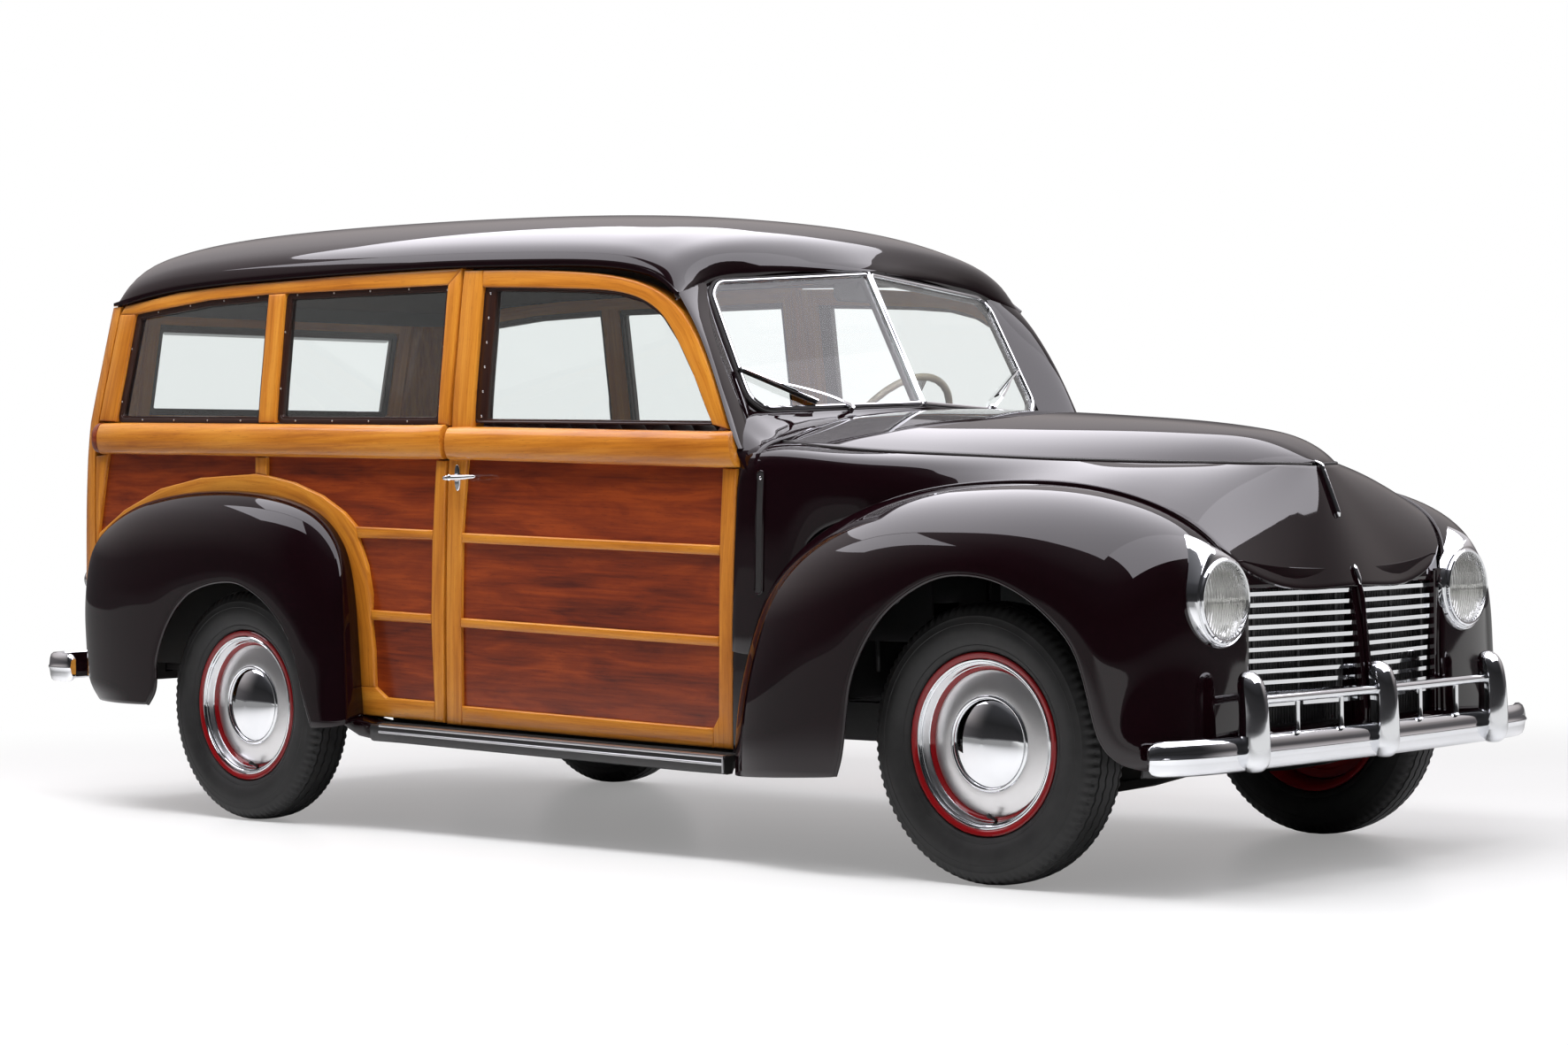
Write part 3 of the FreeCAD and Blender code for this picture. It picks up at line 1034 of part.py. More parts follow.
# --------------------------------------------------------------- steering
SC = Vector(-1222.0, 360.0, 1100.0)
tilt = math.radians(35.0)
axis = Vector(-math.cos(tilt), 0, math.sin(tilt))
rim = Part.makeTorus(dim("steer_rim_radius"), dim("steer_rim_section"), SC, axis)
hub = Part.makeCylinder(34.0, 40.0, SC - axis * 30.0, axis)
parts = [rim, hub]
up = Vector(math.sin(tilt), 0, math.cos(tilt))
left = Vector(0, 1, 0)
for ang in (0.0, 120.0, 240.0):
    d = left * math.cos(math.radians(ang + 90)) + up * math.sin(math.radians(ang + 90))
    q = SC + d * dim("steer_rim_radius")
    parts.append(rod((SC.x, SC.y, SC.z), (q.x, q.y, q.z), 7.0))
feature("steering_wheel", fuse(parts))
a = SC - axis * 36.0
b = SC - axis * 560.0
feature("steering_column", rod((a.x, a.y, a.z), (b.x, b.y, b.z), dim("column_radius")))

# ---------------------------------------------------------------- checks
doc.recompute()
bad = []
for obj in doc.Objects:
    if "Invalid" in obj.State or "Error" in obj.State:
        bad.append("%s: %s" % (obj.Name, obj.State))
for obj in NODES:
    s = obj.Shape
    if s.isNull() or not s.isValid() or not s.Solids or s.Volume <= 0:
        bad.append("%s: shape null or not valid, solids %d volume %g" % (obj.Label, len(s.Solids), s.Volume))
if bad:
    print("\n".join(bad))
    raise SystemExit("part.py: %d objects failed" % len(bad))
labels = [o.Label for o in NODES]
assert len(set(labels)) == len(labels)
os.makedirs("parts", exist_ok=True)
lo = [1e9] * 3
hi = [-1e9] * 3
for obj in NODES:
    obj.Shape.exportStep("parts/%s.step" % obj.Label)
    bb = obj.Shape.BoundBox
    for k, (p, q) in enumerate(((bb.XMin, bb.XMax), (bb.YMin, bb.YMax), (bb.ZMin, bb.ZMax))):
        lo[k] = min(lo[k], p)
        hi[k] = max(hi[k], q)
print("nodes", len(NODES), "box", [round(v, 1) for v in lo], [round(v, 1) for v in hi])
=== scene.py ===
import math
import random

import bmesh
import bpy
import numpy as np
from mathutils import Matrix, Vector
from mathutils.bvhtree import BVHTree
from mathutils.geometry import delaunay_2d_cdt


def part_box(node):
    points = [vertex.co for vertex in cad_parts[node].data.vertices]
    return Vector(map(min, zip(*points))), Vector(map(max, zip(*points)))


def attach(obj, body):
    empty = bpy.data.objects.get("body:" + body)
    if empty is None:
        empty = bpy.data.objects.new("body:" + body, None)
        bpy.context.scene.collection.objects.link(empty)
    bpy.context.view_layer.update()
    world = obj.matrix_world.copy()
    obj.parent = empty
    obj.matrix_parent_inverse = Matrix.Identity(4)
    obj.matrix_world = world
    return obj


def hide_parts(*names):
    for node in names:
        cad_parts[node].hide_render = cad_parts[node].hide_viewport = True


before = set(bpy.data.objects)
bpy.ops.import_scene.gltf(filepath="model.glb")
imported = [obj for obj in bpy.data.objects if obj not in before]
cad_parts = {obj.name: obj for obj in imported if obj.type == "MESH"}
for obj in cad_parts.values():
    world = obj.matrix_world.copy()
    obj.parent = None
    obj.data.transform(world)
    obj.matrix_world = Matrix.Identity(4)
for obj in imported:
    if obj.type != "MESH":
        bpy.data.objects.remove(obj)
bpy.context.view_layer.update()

# Layout coordinates are millimetres from the point on the ground below the
# front axle: +X to the front, +Y to the car's left, +Z up. A piece is moved
# forward by SHIFT and scaled to metres when its mesh is made.
_lo, _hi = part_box("wheel_front_right")
SHIFT = (_lo[0] + _hi[0]) / 2 * 1000.0
WB, AH, FT, RT = 2758.0, 340.0, 712.0, 738.0
rng = random.Random(11)


# ------------------------------------------------------------ mesh building
class Mesh:
    def __init__(self):
        self.v, self.f, self.g, self.m = [], [], [], []

    def add(self, verts, faces, mat=0, grain=None):
        k = len(self.v)
        verts = [tuple(float(c) for c in p) for p in verts]
        self.v += verts
        self.f += [tuple(i + k for i in f) for f in faces]
        self.m += [mat] * len(faces)
        self.g += [tuple(g) for g in grain] if grain is not None else [(p[0] / 1000, p[1] / 1000, p[2] / 1000) for p in verts]
        return self

    def join(self, other, mat=None):
        k = len(self.v)
        self.v += other.v
        self.g += other.g
        self.f += [tuple(i + k for i in f) for f in other.f]
        self.m += other.m if mat is None else [mat] * len(other.m)
        return self

    def mirrored(self, shift=7.3):
        out = Mesh()
        out.v = [(x, -y, z) for x, y, z in self.v]
        out.g = [(a + shift, b, c) for a, b, c in self.g]
        out.f = [tuple(reversed(f)) for f in self.f]
        out.m = list(self.m)
        return out

    def both(self):
        return Mesh().join(self).join(self.mirrored())

    def moved(self, dx=0.0, dy=0.0, dz=0.0):
        out = Mesh()
        out.v = [(x + dx, y + dy, z + dz) for x, y, z in self.v]
        out.g = [(a + dx * 0.0013, b, c) for a, b, c in self.g]
        out.f, out.m = list(self.f), list(self.m)
        return out

    def make(self, name, mats, body, slot=None, sharp=38.0, replaces=(), normals=True):
        me = bpy.data.meshes.new(name)
        me.from_pydata([((x + SHIFT) / 1000, y / 1000, z / 1000) for x, y, z in self.v], [], self.f)
        mats = mats if isinstance(mats, (list, tuple)) else [mats]
        for m in mats:
            me.materials.append(m)
        me.polygons.foreach_set("material_index", self.m)
        att = me.attributes.new("grain", "FLOAT_VECTOR", "POINT")
        att.data.foreach_set("vector", np.array(self.g, dtype=np.float32).ravel())
        if normals:
            bm = bmesh.new()
            bm.from_mesh(me)
            bmesh.ops.recalc_face_normals(bm, faces=bm.faces)
            bm.to_mesh(me)
            bm.free()
        me.validate()
        me.shade_smooth()
        if sharp < 180:
            me.set_sharp_from_angle(angle=math.radians(sharp))
        ob = bpy.data.objects.new(name, me)
        bpy.context.scene.collection.objects.link(ob)
        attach(ob, body)
        if replaces:
            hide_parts(*replaces)
        return ob


def spline_fit(xs, q, t):
    # natural cubic through q at parameters xs, read at t
    xs = np.asarray(xs, float)
    n = len(xs)
    h = np.diff(xs)
    flat = q.reshape(n, -1)
    a = np.zeros((n, n))
    r = np.zeros_like(flat)
    a[0, 0] = a[-1, -1] = 1.0
    for i in range(1, n - 1):
        a[i, i - 1], a[i, i], a[i, i + 1] = h[i - 1], 2 * (h[i - 1] + h[i]), h[i]
        r[i] = 6 * ((flat[i + 1] - flat[i]) / h[i] - (flat[i] - flat[i - 1]) / h[i - 1])
    m = np.linalg.solve(a, r)
    i = np.clip(np.searchsorted(xs, t, side="right") - 1, 0, n - 2)
    u = ((xs[i + 1] - t) / h[i])[:, None]
    v = 1 - u
    hh = (h[i] ** 2)[:, None]
    out = u * flat[i] + v * flat[i + 1] + ((u ** 3 - u) * m[i] + (v ** 3 - v) * m[i + 1]) * hh / 6
    return out.reshape((len(t),) + q.shape[1:])


def chord(g):
    d = np.linalg.norm(np.diff(g, axis=0), axis=2).mean(axis=1)
    return np.concatenate([[0.0], np.cumsum(np.maximum(d, 1e-6))])


def dense(grid, ku, kv):
    # smooth surface through a grid of points, ku and kv steps between points
    g = np.array(grid, float)
    for axis, k in ((0, ku), (1, kv)):
        g = np.swapaxes(g, 0, axis)
        xs = chord(g)
        n = len(xs)
        t = np.interp(np.linspace(0, n - 1, (n - 1) * k + 1), np.arange(n), xs)
        g = spline_fit(xs, g, t)
        g = np.swapaxes(g, 0, axis)
    return g


def curve(points, k):
    q = np.array(points, float)
    xs = np.concatenate([[0.0], np.cumsum(np.linalg.norm(np.diff(q, axis=0), axis=1))])
    t = np.interp(np.linspace(0, len(q) - 1, (len(q) - 1) * k + 1), np.arange(len(q)), xs)
    return spline_fit(xs, q, t)


def grid_normals(p):
    du = np.gradient(p, axis=0)
    dv = np.gradient(p, axis=1)
    n = np.cross(du, dv)
    ln = np.linalg.norm(n, axis=2, keepdims=True)
    return n / np.maximum(ln, 1e-9)


def grid_faces(nu, nv, base=0, flip=False):
    out = []
    for i in range(nu - 1):
        for j in range(nv - 1):
            a = base + i * nv + j
            f = (a, a + nv, a + nv + 1, a + 1)
            out.append(tuple(reversed(f)) if flip else f)
    return out


def shell(p, thick, inside, rim=3, mat=0, inner_mat=None):
    # sheet with a rounded rim; inside is a point on the hollow side
    nu, nv = p.shape[:2]
    n = grid_normals(p)
    d = np.array(inside, float) - p
    if (n * d).sum() < 0:
        n = -n
    q = p + n * thick
    verts = np.concatenate([p.reshape(-1, 3), q.reshape(-1, 3)])
    k = nu * nv
    mesh = Mesh()
    outer = grid_faces(nu, nv)
    inner = grid_faces(nu, nv, k, True)
    loop = [(i, 0) for i in range(nu)] + [(nu - 1, j) for j in range(1, nv)] + [(i, nv - 1) for i in range(nu - 2, -1, -1)] + [(0, j) for j in range(nv - 2, 0, -1)]
    extra, ids = [], []
    for s in range(1, rim + 1):
        a = math.pi * s / (rim + 1)
        row = []
        for i, j in loop:
            o = np.zeros(3)
            if j == 0:
                o += p[i, 0] - p[i, 1]
            if j == nv - 1:
                o += p[i, -1] - p[i, -2]
            if i == 0:
                o += p[0, j] - p[1, j]
            if i == nu - 1:
                o += p[-1, j] - p[-2, j]
            nn = n[i, j]
            o = o - nn * o.dot(nn)
            o = o / max(np.linalg.norm(o), 1e-9)
            mid = p[i, j] + nn * thick / 2
            extra.append(mid - nn * thick / 2 * math.cos(a) + o * thick / 2 * math.sin(a))
            row.append(2 * k + len(extra) - 1)
        ids.append(row)
    rows = [[i * nv + j for i, j in loop]] + ids + [[k + i * nv + j for i, j in loop]]
    rimf = []
    m = len(loop)
    for r0, r1 in zip(rows, rows[1:]):
        for c in range(m):
            rimf.append((r0[c], r0[(c + 1) % m], r1[(c + 1) % m], r1[c]))
    allv = np.concatenate([verts, np.array(extra)])
    mesh.add(allv, outer + rimf, mat)
    mesh.f += inner
    mesh.m += [mat if inner_mat is None else inner_mat] * len(inner)
    return mesh


def frames(path, closed=False, up=None):
    p = np.array(path, float)
    n = len(p)
    t = np.zeros_like(p)
    for i in range(n):
        a = p[(i - 1) % n] if (closed or i > 0) else p[i]
        b = p[(i + 1) % n] if (closed or i < n - 1) else p[i]
        t[i] = (b - a) / max(np.linalg.norm(b - a), 1e-9)
    out = []
    if up is None:
        ref = np.array([0, 0, 1.0]) if abs(t[0][2]) < 0.9 else np.array([1.0, 0, 0])
        s = np.cross(t[0], ref)
        s /= np.linalg.norm(s)
        for i in range(n):
            s = s - t[i] * s.dot(t[i])
            s /= max(np.linalg.norm(s), 1e-9)
            out.append((t[i], s, np.cross(s, t[i])))
    else:
        for i in range(n):
            u = np.array(up[i] if np.ndim(up) == 2 else up, float)
            s = np.cross(t[i], u)
            s /= max(np.linalg.norm(s), 1e-9)
            out.append((t[i], s, np.cross(s, t[i])))
    return p, out


def sweep(path, section, closed=False, up=None, mat=0, scales=None, cap=True):
    # section: closed outline of (side, up) offsets
    p, fr = frames(path, closed, up)
    n, m = len(p), len(section)
    verts, grain = [], []
    dist = 0.0
    for i in range(n):
        k = 1.0 if scales is None else scales[i]
        kx, ky = k if isinstance(k, tuple) else (k, k)
        if i:
            dist += float(np.linalg.norm(p[i] - p[i - 1]))
        for a, b in section:
            verts.append(p[i] + fr[i][1] * a * kx + fr[i][2] * b * ky)
            grain.append((dist / 1000, a / 1000, b / 1000))
    faces = []
    rows = n if closed else n - 1
    for i in range(rows):
        for j in range(m):
            a, b = i * m + j, i * m + (j + 1) % m
            c, d = ((i + 1) % n) * m + (j + 1) % m, ((i + 1) % n) * m + j
            faces.append((a, b, c, d))
    if cap and not closed:
        faces.append(tuple(reversed(range(m))))
        faces.append(tuple(range((n - 1) * m, n * m)))
    return Mesh().add(verts, faces, mat, grain)


def circle(r, n=12, ry=None):
    ry = r if ry is None else ry
    return [(r * math.cos(2 * math.pi * i / n), ry * math.sin(2 * math.pi * i / n)) for i in range(n)]


def tube(path, r, n=12, closed=False, mat=0, round_ends=False):
    path = [np.array(q, float) for q in path]
    scales = None
    if round_ends and not closed:
        a, b = path[0], path[-1]
        da = (path[0] - path[1]) / np.linalg.norm(path[0] - path[1])
        db = (path[-1] - path[-2]) / np.linalg.norm(path[-1] - path[-2])
        head = [a + da * r * math.cos(math.radians(s)) for s in (15, 40, 65)]
        tail = [b + db * r * math.cos(math.radians(s)) for s in (65, 40, 15)]
        scales = [math.sin(math.radians(s)) for s in (15, 40, 65)] + [1.0] * len(path) + [math.sin(math.radians(s)) for s in (65, 40, 15)]
        path = head + path + tail
    return sweep(path, circle(r, n), closed, None, mat, scales)


def lathe(profile, seg, origin, axis, mat=0, close=False, mats=None, wobble=None):
    # profile: (along the axis, radius)
    ax = np.array(axis, float)
    ax /= np.linalg.norm(ax)
    ref = np.array([0, 0, 1.0]) if abs(ax[2]) < 0.9 else np.array([1.0, 0, 0])
    e1 = ref - ax * ref.dot(ax)
    e1 /= np.linalg.norm(e1)
    e2 = np.cross(ax, e1)
    o = np.array(origin, float)
    m = len(profile)
    verts, grain = [], []
    for i in range(seg):
        a = 2 * math.pi * i / seg
        d = e1 * math.cos(a) + e2 * math.sin(a)
        for j, (u, v) in enumerate(profile):
            du, dv = wobble(i, j, u, v) if wobble else (0.0, 0.0)
            verts.append(o + ax * (u + du) + d * (v + dv))
            grain.append(((u + du) / 1000, (v + dv) / 1000, a))
    mesh = Mesh()
    faces, fm = [], []
    for i in range(seg):
        for j in range(m if close else m - 1):
            a, b = i * m + j, i * m + (j + 1) % m
            c, d = ((i + 1) % seg) * m + (j + 1) % m, ((i + 1) % seg) * m + j
            faces.append((a, d, c, b))
            fm.append(mat if mats is None else mats[j])
    mesh.add(verts, faces, mat, grain)
    mesh.m = fm
    return mesh


def merge_close(ob, dist=0.00002):
    bm = bmesh.new()
    bm.from_mesh(ob.data)
    bmesh.ops.remove_doubles(bm, verts=bm.verts, dist=dist)
    bm.to_mesh(ob.data)
    bm.free()


# -------------------------------------------------------- flat-outline plates
def densify(pts, step):
    out = []
    n = len(pts)
    for i in range(n):
        a, b = np.array(pts[i], float), np.array(pts[(i + 1) % n], float)
        k = max(1, int(math.ceil(np.linalg.norm(b - a) / step)))
        for s in range(k):
            out.append(a + (b - a) * s / k)
    return np.array(out)


def round_corners(pts, radius, steps=5):
    n = len(pts)
    if isinstance(radius, (int, float)):
        radius = [radius] * n
    out = []
    for i in range(n):
        p = np.array(pts[i], float)
        a, b = np.array(pts[i - 1], float) - p, np.array(pts[(i + 1) % n], float) - p
        la, lb = np.linalg.norm(a), np.linalg.norm(b)
        a, b = a / la, b / lb
        half = math.acos(max(-1.0, min(1.0, float(a.dot(b))))) / 2
        if radius[i] <= 0.01 or half > 1.54:
            out.append(p)
            continue
        cut = min(radius[i] / math.tan(half), 0.45 * la, 0.45 * lb)
        s, e = p + a * cut, p + b * cut
        for k in range(steps + 1):
            t = k / steps
            w = 0.62 + 0.38 * abs(2 * t - 1)
            out.append(((1 - t) ** 2 * s + 2 * t * (1 - t) * w * p + t * t * e) / ((1 - t) ** 2 + 2 * t * (1 - t) * w + t * t))
    return np.array(out)


def inset(pts, d):
    n = len(pts)
    a = pts - np.roll(pts, 1, axis=0)
    b = np.roll(pts, -1, axis=0) - pts
    a /= np.maximum(np.linalg.norm(a, axis=1, keepdims=True), 1e-9)
    b /= np.maximum(np.linalg.norm(b, axis=1, keepdims=True), 1e-9)
    na = np.stack([-a[:, 1], a[:, 0]], axis=1)
    nb = np.stack([-b[:, 1], b[:, 0]], axis=1)
    m = na + nb
    m /= np.maximum((m * na).sum(axis=1, keepdims=True), 0.35)
    return pts + m * d


def area2(pts):
    x, y = pts[:, 0], pts[:, 1]
    return float((x * np.roll(y, -1) - y * np.roll(x, -1)).sum())


def inside_poly(pts, q, margin):
    # True where q is inside and further than margin from the outline
    x, y = q
    a, b = pts, np.roll(pts, -1, axis=0)
    c = (a[:, 1] > y) != (b[:, 1] > y)
    with np.errstate(divide="ignore", invalid="ignore"):
        xi = a[:, 0] + (y - a[:, 1]) / (b[:, 1] - a[:, 1]) * (b[:, 0] - a[:, 0])
    if (np.count_nonzero(c & (x < xi)) % 2) == 0:
        return False
    d = b - a
    t = np.clip(((q - a) * d).sum(axis=1) / np.maximum((d * d).sum(axis=1), 1e-9), 0, 1)
    return float(np.min(np.linalg.norm(a + d * t[:, None] - q, axis=1))) > margin


def along(line, q):
    # distance along a line and signed distance from it
    line = np.array(line, float)
    a, b = line[:-1], line[1:]
    d = b - a
    ln = np.linalg.norm(d, axis=1)
    start = np.concatenate([[0.0], np.cumsum(ln)])[:-1]
    t = ((q - a) * d).sum(axis=1) / (ln ** 2)
    tc = np.clip(t, 0, 1)
    tc[0] = min(t[0], 1)
    tc[-1] = max(tc[-1], min(t[-1], 99)) if t[-1] > 0 else tc[-1]
    c = a + d * tc[:, None]
    w = np.linalg.norm(c - q, axis=1)
    i = int(np.argmin(w))
    side = d[i][0] * (q - a[i])[1] - d[i][1] * (q - a[i])[0]
    return start[i] + tc[i] * ln[i], math.copysign(w[i], side)


def plate(outline, mapper, depth, bevel=3.0, steps=3, line=None, step=24.0, spacing=42.0, mat=0, back_mat=None, back=True):
    pts = densify(outline, step)
    if area2(pts) < 0:
        pts = pts[::-1].copy()
    rings, drops = [pts], [depth]
    for k in range(steps + 1):
        a = math.radians(90.0 * k / steps)
        rings.append(inset(pts, bevel * (1 - math.cos(a))))
        drops.append(bevel * (1 - math.sin(a)))
    n = len(pts)
    top = rings[-1]
    lo, hi = top.min(axis=0), top.max(axis=0)
    extra = []
    nx, nz = int((hi[0] - lo[0]) / spacing), int((hi[1] - lo[1]) / spacing)
    for i in range(nx + 1):
        for j in range(nz + 1):
            q = np.array([lo[0] + (i + 0.5) * (hi[0] - lo[0]) / (nx + 1), lo[1] + (j + 0.5) * (hi[1] - lo[1]) / (nz + 1)])
            if inside_poly(top, q, spacing * 0.3):
                extra.append(q)
    coords = [Vector(q) for q in top] + [Vector(q) for q in extra]
    res = delaunay_2d_cdt(coords, [(i, (i + 1) % n) for i in range(n)], [], 1, 1e-4)
    tri_v, tri_f, orig = res[0], res[2], res[3]
    verts, grain = [], []
    line = line if line is not None else [(lo[0], (lo[1] + hi[1]) / 2), (hi[0], (lo[1] + hi[1]) / 2)]
    r1, r2 = rng.uniform(0, 40), rng.uniform(-3, 3)

    def put(q, drop):
        u, w = along(line, np.array(q, float))
        verts.append(mapper(q[0], q[1], drop))
        grain.append((u / 1000 + r1, w / 1000 + r2, drop / 1000))
        return len(verts) - 1

    ids = [[put(q, d) for q in ring] for ring, d in zip(rings, drops)]
    faces = []
    for a, b in zip(ids, ids[1:]):
        for i in range(n):
            faces.append((a[i], a[(i + 1) % n], b[(i + 1) % n], b[i]))
    front, rear = {}, {}
    for k, v in enumerate(tri_v):
        src = [s for s in orig[k] if s < n]
        if src:
            front[k], rear[k] = ids[-1][src[0]], ids[0][src[0]]
        else:
            front[k] = put((v[0], v[1]), 0.0)
            rear[k] = put((v[0], v[1]), depth) if back else None
    mesh = Mesh()
    for t in tri_f:
        faces.append(tuple(front[i] for i in t))
    mesh.add(verts, faces, mat, grain)
    if back:
        mesh.f += [tuple(reversed([rear[i] for i in t])) for t in tri_f]
        mesh.m += [mat if back_mat is None else back_mat] * len(tri_f)
    return mesh


# ------------------------------------------------------------- body shapes
def smooth(xs, ys, x):
    n = len(xs)
    if x <= xs[0]:
        return ys[0]
    if x >= xs[-1]:
        return ys[-1]
    d = [(ys[i + 1] - ys[i]) / (xs[i + 1] - xs[i]) for i in range(n - 1)]
    m = [d[0]] + [0.0 if d[i - 1] * d[i] <= 0 else 2 * d[i - 1] * d[i] / (d[i - 1] + d[i]) for i in range(1, n - 1)] + [d[-1]]
    for i in range(n - 1):
        if x <= xs[i + 1]:
            h = xs[i + 1] - xs[i]
            t = (x - xs[i]) / h
            return ((2 * t ** 3 - 3 * t * t + 1) * ys[i] + (t ** 3 - 2 * t * t + t) * h * m[i]
                    + (-2 * t ** 3 + 3 * t * t) * ys[i + 1] + (t ** 3 - t * t) * h * m[i + 1])
    return ys[-1]


HZ = [200.0, 450.0, 700.0, 950.0, 1150.0, 1250.0, 1370.0, 1500.0, 1620.0]
HY = [745.0, 758.0, 767.0, 770.0, 766.0, 757.0, 742.0, 726.0, 709.0]
_TZ = np.arange(100.0, 1801.0)
_TY = np.array([smooth(HZ, HY, z) for z in _TZ])


def half_width(z, x):
    return float(np.interp(z, _TZ, _TY)) - 16.0 * ((x + 2200.0) / 1400.0) ** 2


def side(out=0.0):
    return lambda x, z, drop: (x, -(half_width(z, x) + out - drop), z)


def rear_x(z):
    return float(np.interp(z, [300.0, 600.0, 950.0, 1200.0, 1500.0, 1600.0], [-3705.0, -3690.0, -3668.0, -3644.0, -3574.0, -3551.0]))


def back(out=0.0):
    return lambda y, z, drop: (rear_x(z) - out + drop, y, z)


# ------------------------------------------------------------------ colours
def material(name):
    m = bpy.data.materials.new(name)
    m.use_nodes = True
    nt = m.node_tree
    return m, nt, nt.nodes["Principled BSDF"]


def put(sock, value):
    sock.default_value = value


def node(nt, kind, **inputs):
    n = nt.nodes.new(kind)
    for k, v in inputs.items():
        setattr(n, k, v) if hasattr(n, k) and not isinstance(v, bpy.types.NodeSocket) else None
    return n


def ramp(nt, fac, stops, interp="LINEAR"):
    r = nt.nodes.new("ShaderNodeValToRGB")
    r.color_ramp.interpolation = interp
    e = r.color_ramp.elements
    while len(e) < len(stops):
        e.new(0.5)
    for k, (pos, col) in enumerate(stops):
        e[k].position = pos
        e[k].color = (*col, 1.0)
    nt.links.new(fac, r.inputs["Fac"])
    return r.outputs["Color"]


def vector_scale(nt, vec, scale):
    m = nt.nodes.new("ShaderNodeMapping")
    m.inputs["Scale"].default_value = scale
    nt.links.new(vec, m.inputs["Vector"])
    return m.outputs["Vector"]


def noise(nt, vec, scale=1.0, detail=4.0, rough=0.5, dist=0.0):
    n = nt.nodes.new("ShaderNodeTexNoise")
    n.inputs["Scale"].default_value = scale
    n.inputs["Detail"].default_value = detail
    n.inputs["Roughness"].default_value = rough
    n.inputs["Distortion"].default_value = dist
    nt.links.new(vec, n.inputs["Vector"])
    return n.outputs["Fac"]


def calc(nt, op, a, b=None, c=None):
    m = nt.nodes.new("ShaderNodeMath")
    m.operation = op
    for k, v in enumerate((a, b, c)):
        if v is None:
            continue
        if isinstance(v, (int, float)):
            m.inputs[k].default_value = v
        else:
            nt.links.new(v, m.inputs[k])
    return m.outputs[0]


def blend_colour(nt, fac, a, b, mode="MIX"):
    m = nt.nodes.new("ShaderNodeMix")
    m.data_type = "RGBA"
    m.blend_type = mode
    for k, v in ((0, fac), (6, a), (7, b)):
        if isinstance(v, (int, float)):
            m.inputs[k].default_value = v
        elif isinstance(v, tuple):
            m.inputs[k].default_value = (*v, 1.0)
        else:
            nt.links.new(v, m.inputs[k])
    return m.outputs[2]


def bump(nt, bsdf, height, strength, distance):
    b = nt.nodes.new("ShaderNodeBump")
    b.inputs["Strength"].default_value = strength
    b.inputs["Distance"].default_value = distance
    nt.links.new(height, b.inputs["Height"])
    nt.links.new(b.outputs["Normal"], bsdf.inputs["Normal"])
    return b


def where(nt, kind="Object"):
    return nt.nodes.new("ShaderNodeTexCoord").outputs[kind]


def grain_of(nt):
    a = nt.nodes.new("ShaderNodeAttribute")
    a.attribute_name = "grain"
    return a.outputs["Vector"]


def paint(name, col, dark, coat=1.0, rough=0.32, spec=0.5, coat_ior=1.55):
    m, nt, b = material(name)
    v = where(nt)
    n = noise(nt, v, 3.0, 5, 0.6)
    c = ramp(nt, n, [(0.3, dark), (0.7, col)])
    nt.links.new(c, b.inputs["Base Color"])
    fine = noise(nt, v, 60.0, 3, 0.5)
    r = nt.nodes.new("ShaderNodeMapRange")
    r.inputs["To Min"].default_value = rough * 0.85
    r.inputs["To Max"].default_value = rough * 1.15
    nt.links.new(fine, r.inputs["Value"])
    nt.links.new(r.outputs[0], b.inputs["Roughness"])
    put(b.inputs["Specular IOR Level"], spec)
    put(b.inputs["Coat Weight"], coat)
    put(b.inputs["Coat Roughness"], 0.025)
    put(b.inputs["Coat IOR"], coat_ior)
    bump(nt, b, noise(nt, v, 240.0, 2, 0.5), 0.012, 0.002)
    return m


def metal(name, col, rough=0.06, spread=0.03, brushed=None, bump_s=0.0):
    m, nt, b = material(name)
    v = where(nt)
    put(b.inputs["Metallic"], 1.0)
    n = noise(nt, v, 9.0, 5, 0.6)
    c = ramp(nt, n, [(0.25, tuple(x * 0.93 for x in col)), (0.75, col)])
    nt.links.new(c, b.inputs["Base Color"])
    if brushed:
        g = vector_scale(nt, grain_of(nt), brushed)
        n = noise(nt, g, 1.0, 4, 0.6)
        bump(nt, b, n, 0.12, 0.0006)
    r = nt.nodes.new("ShaderNodeMapRange")
    r.inputs["To Min"].default_value = rough
    r.inputs["To Max"].default_value = rough + spread
    nt.links.new(n, r.inputs["Value"])
    nt.links.new(r.outputs[0], b.inputs["Roughness"])
    return m


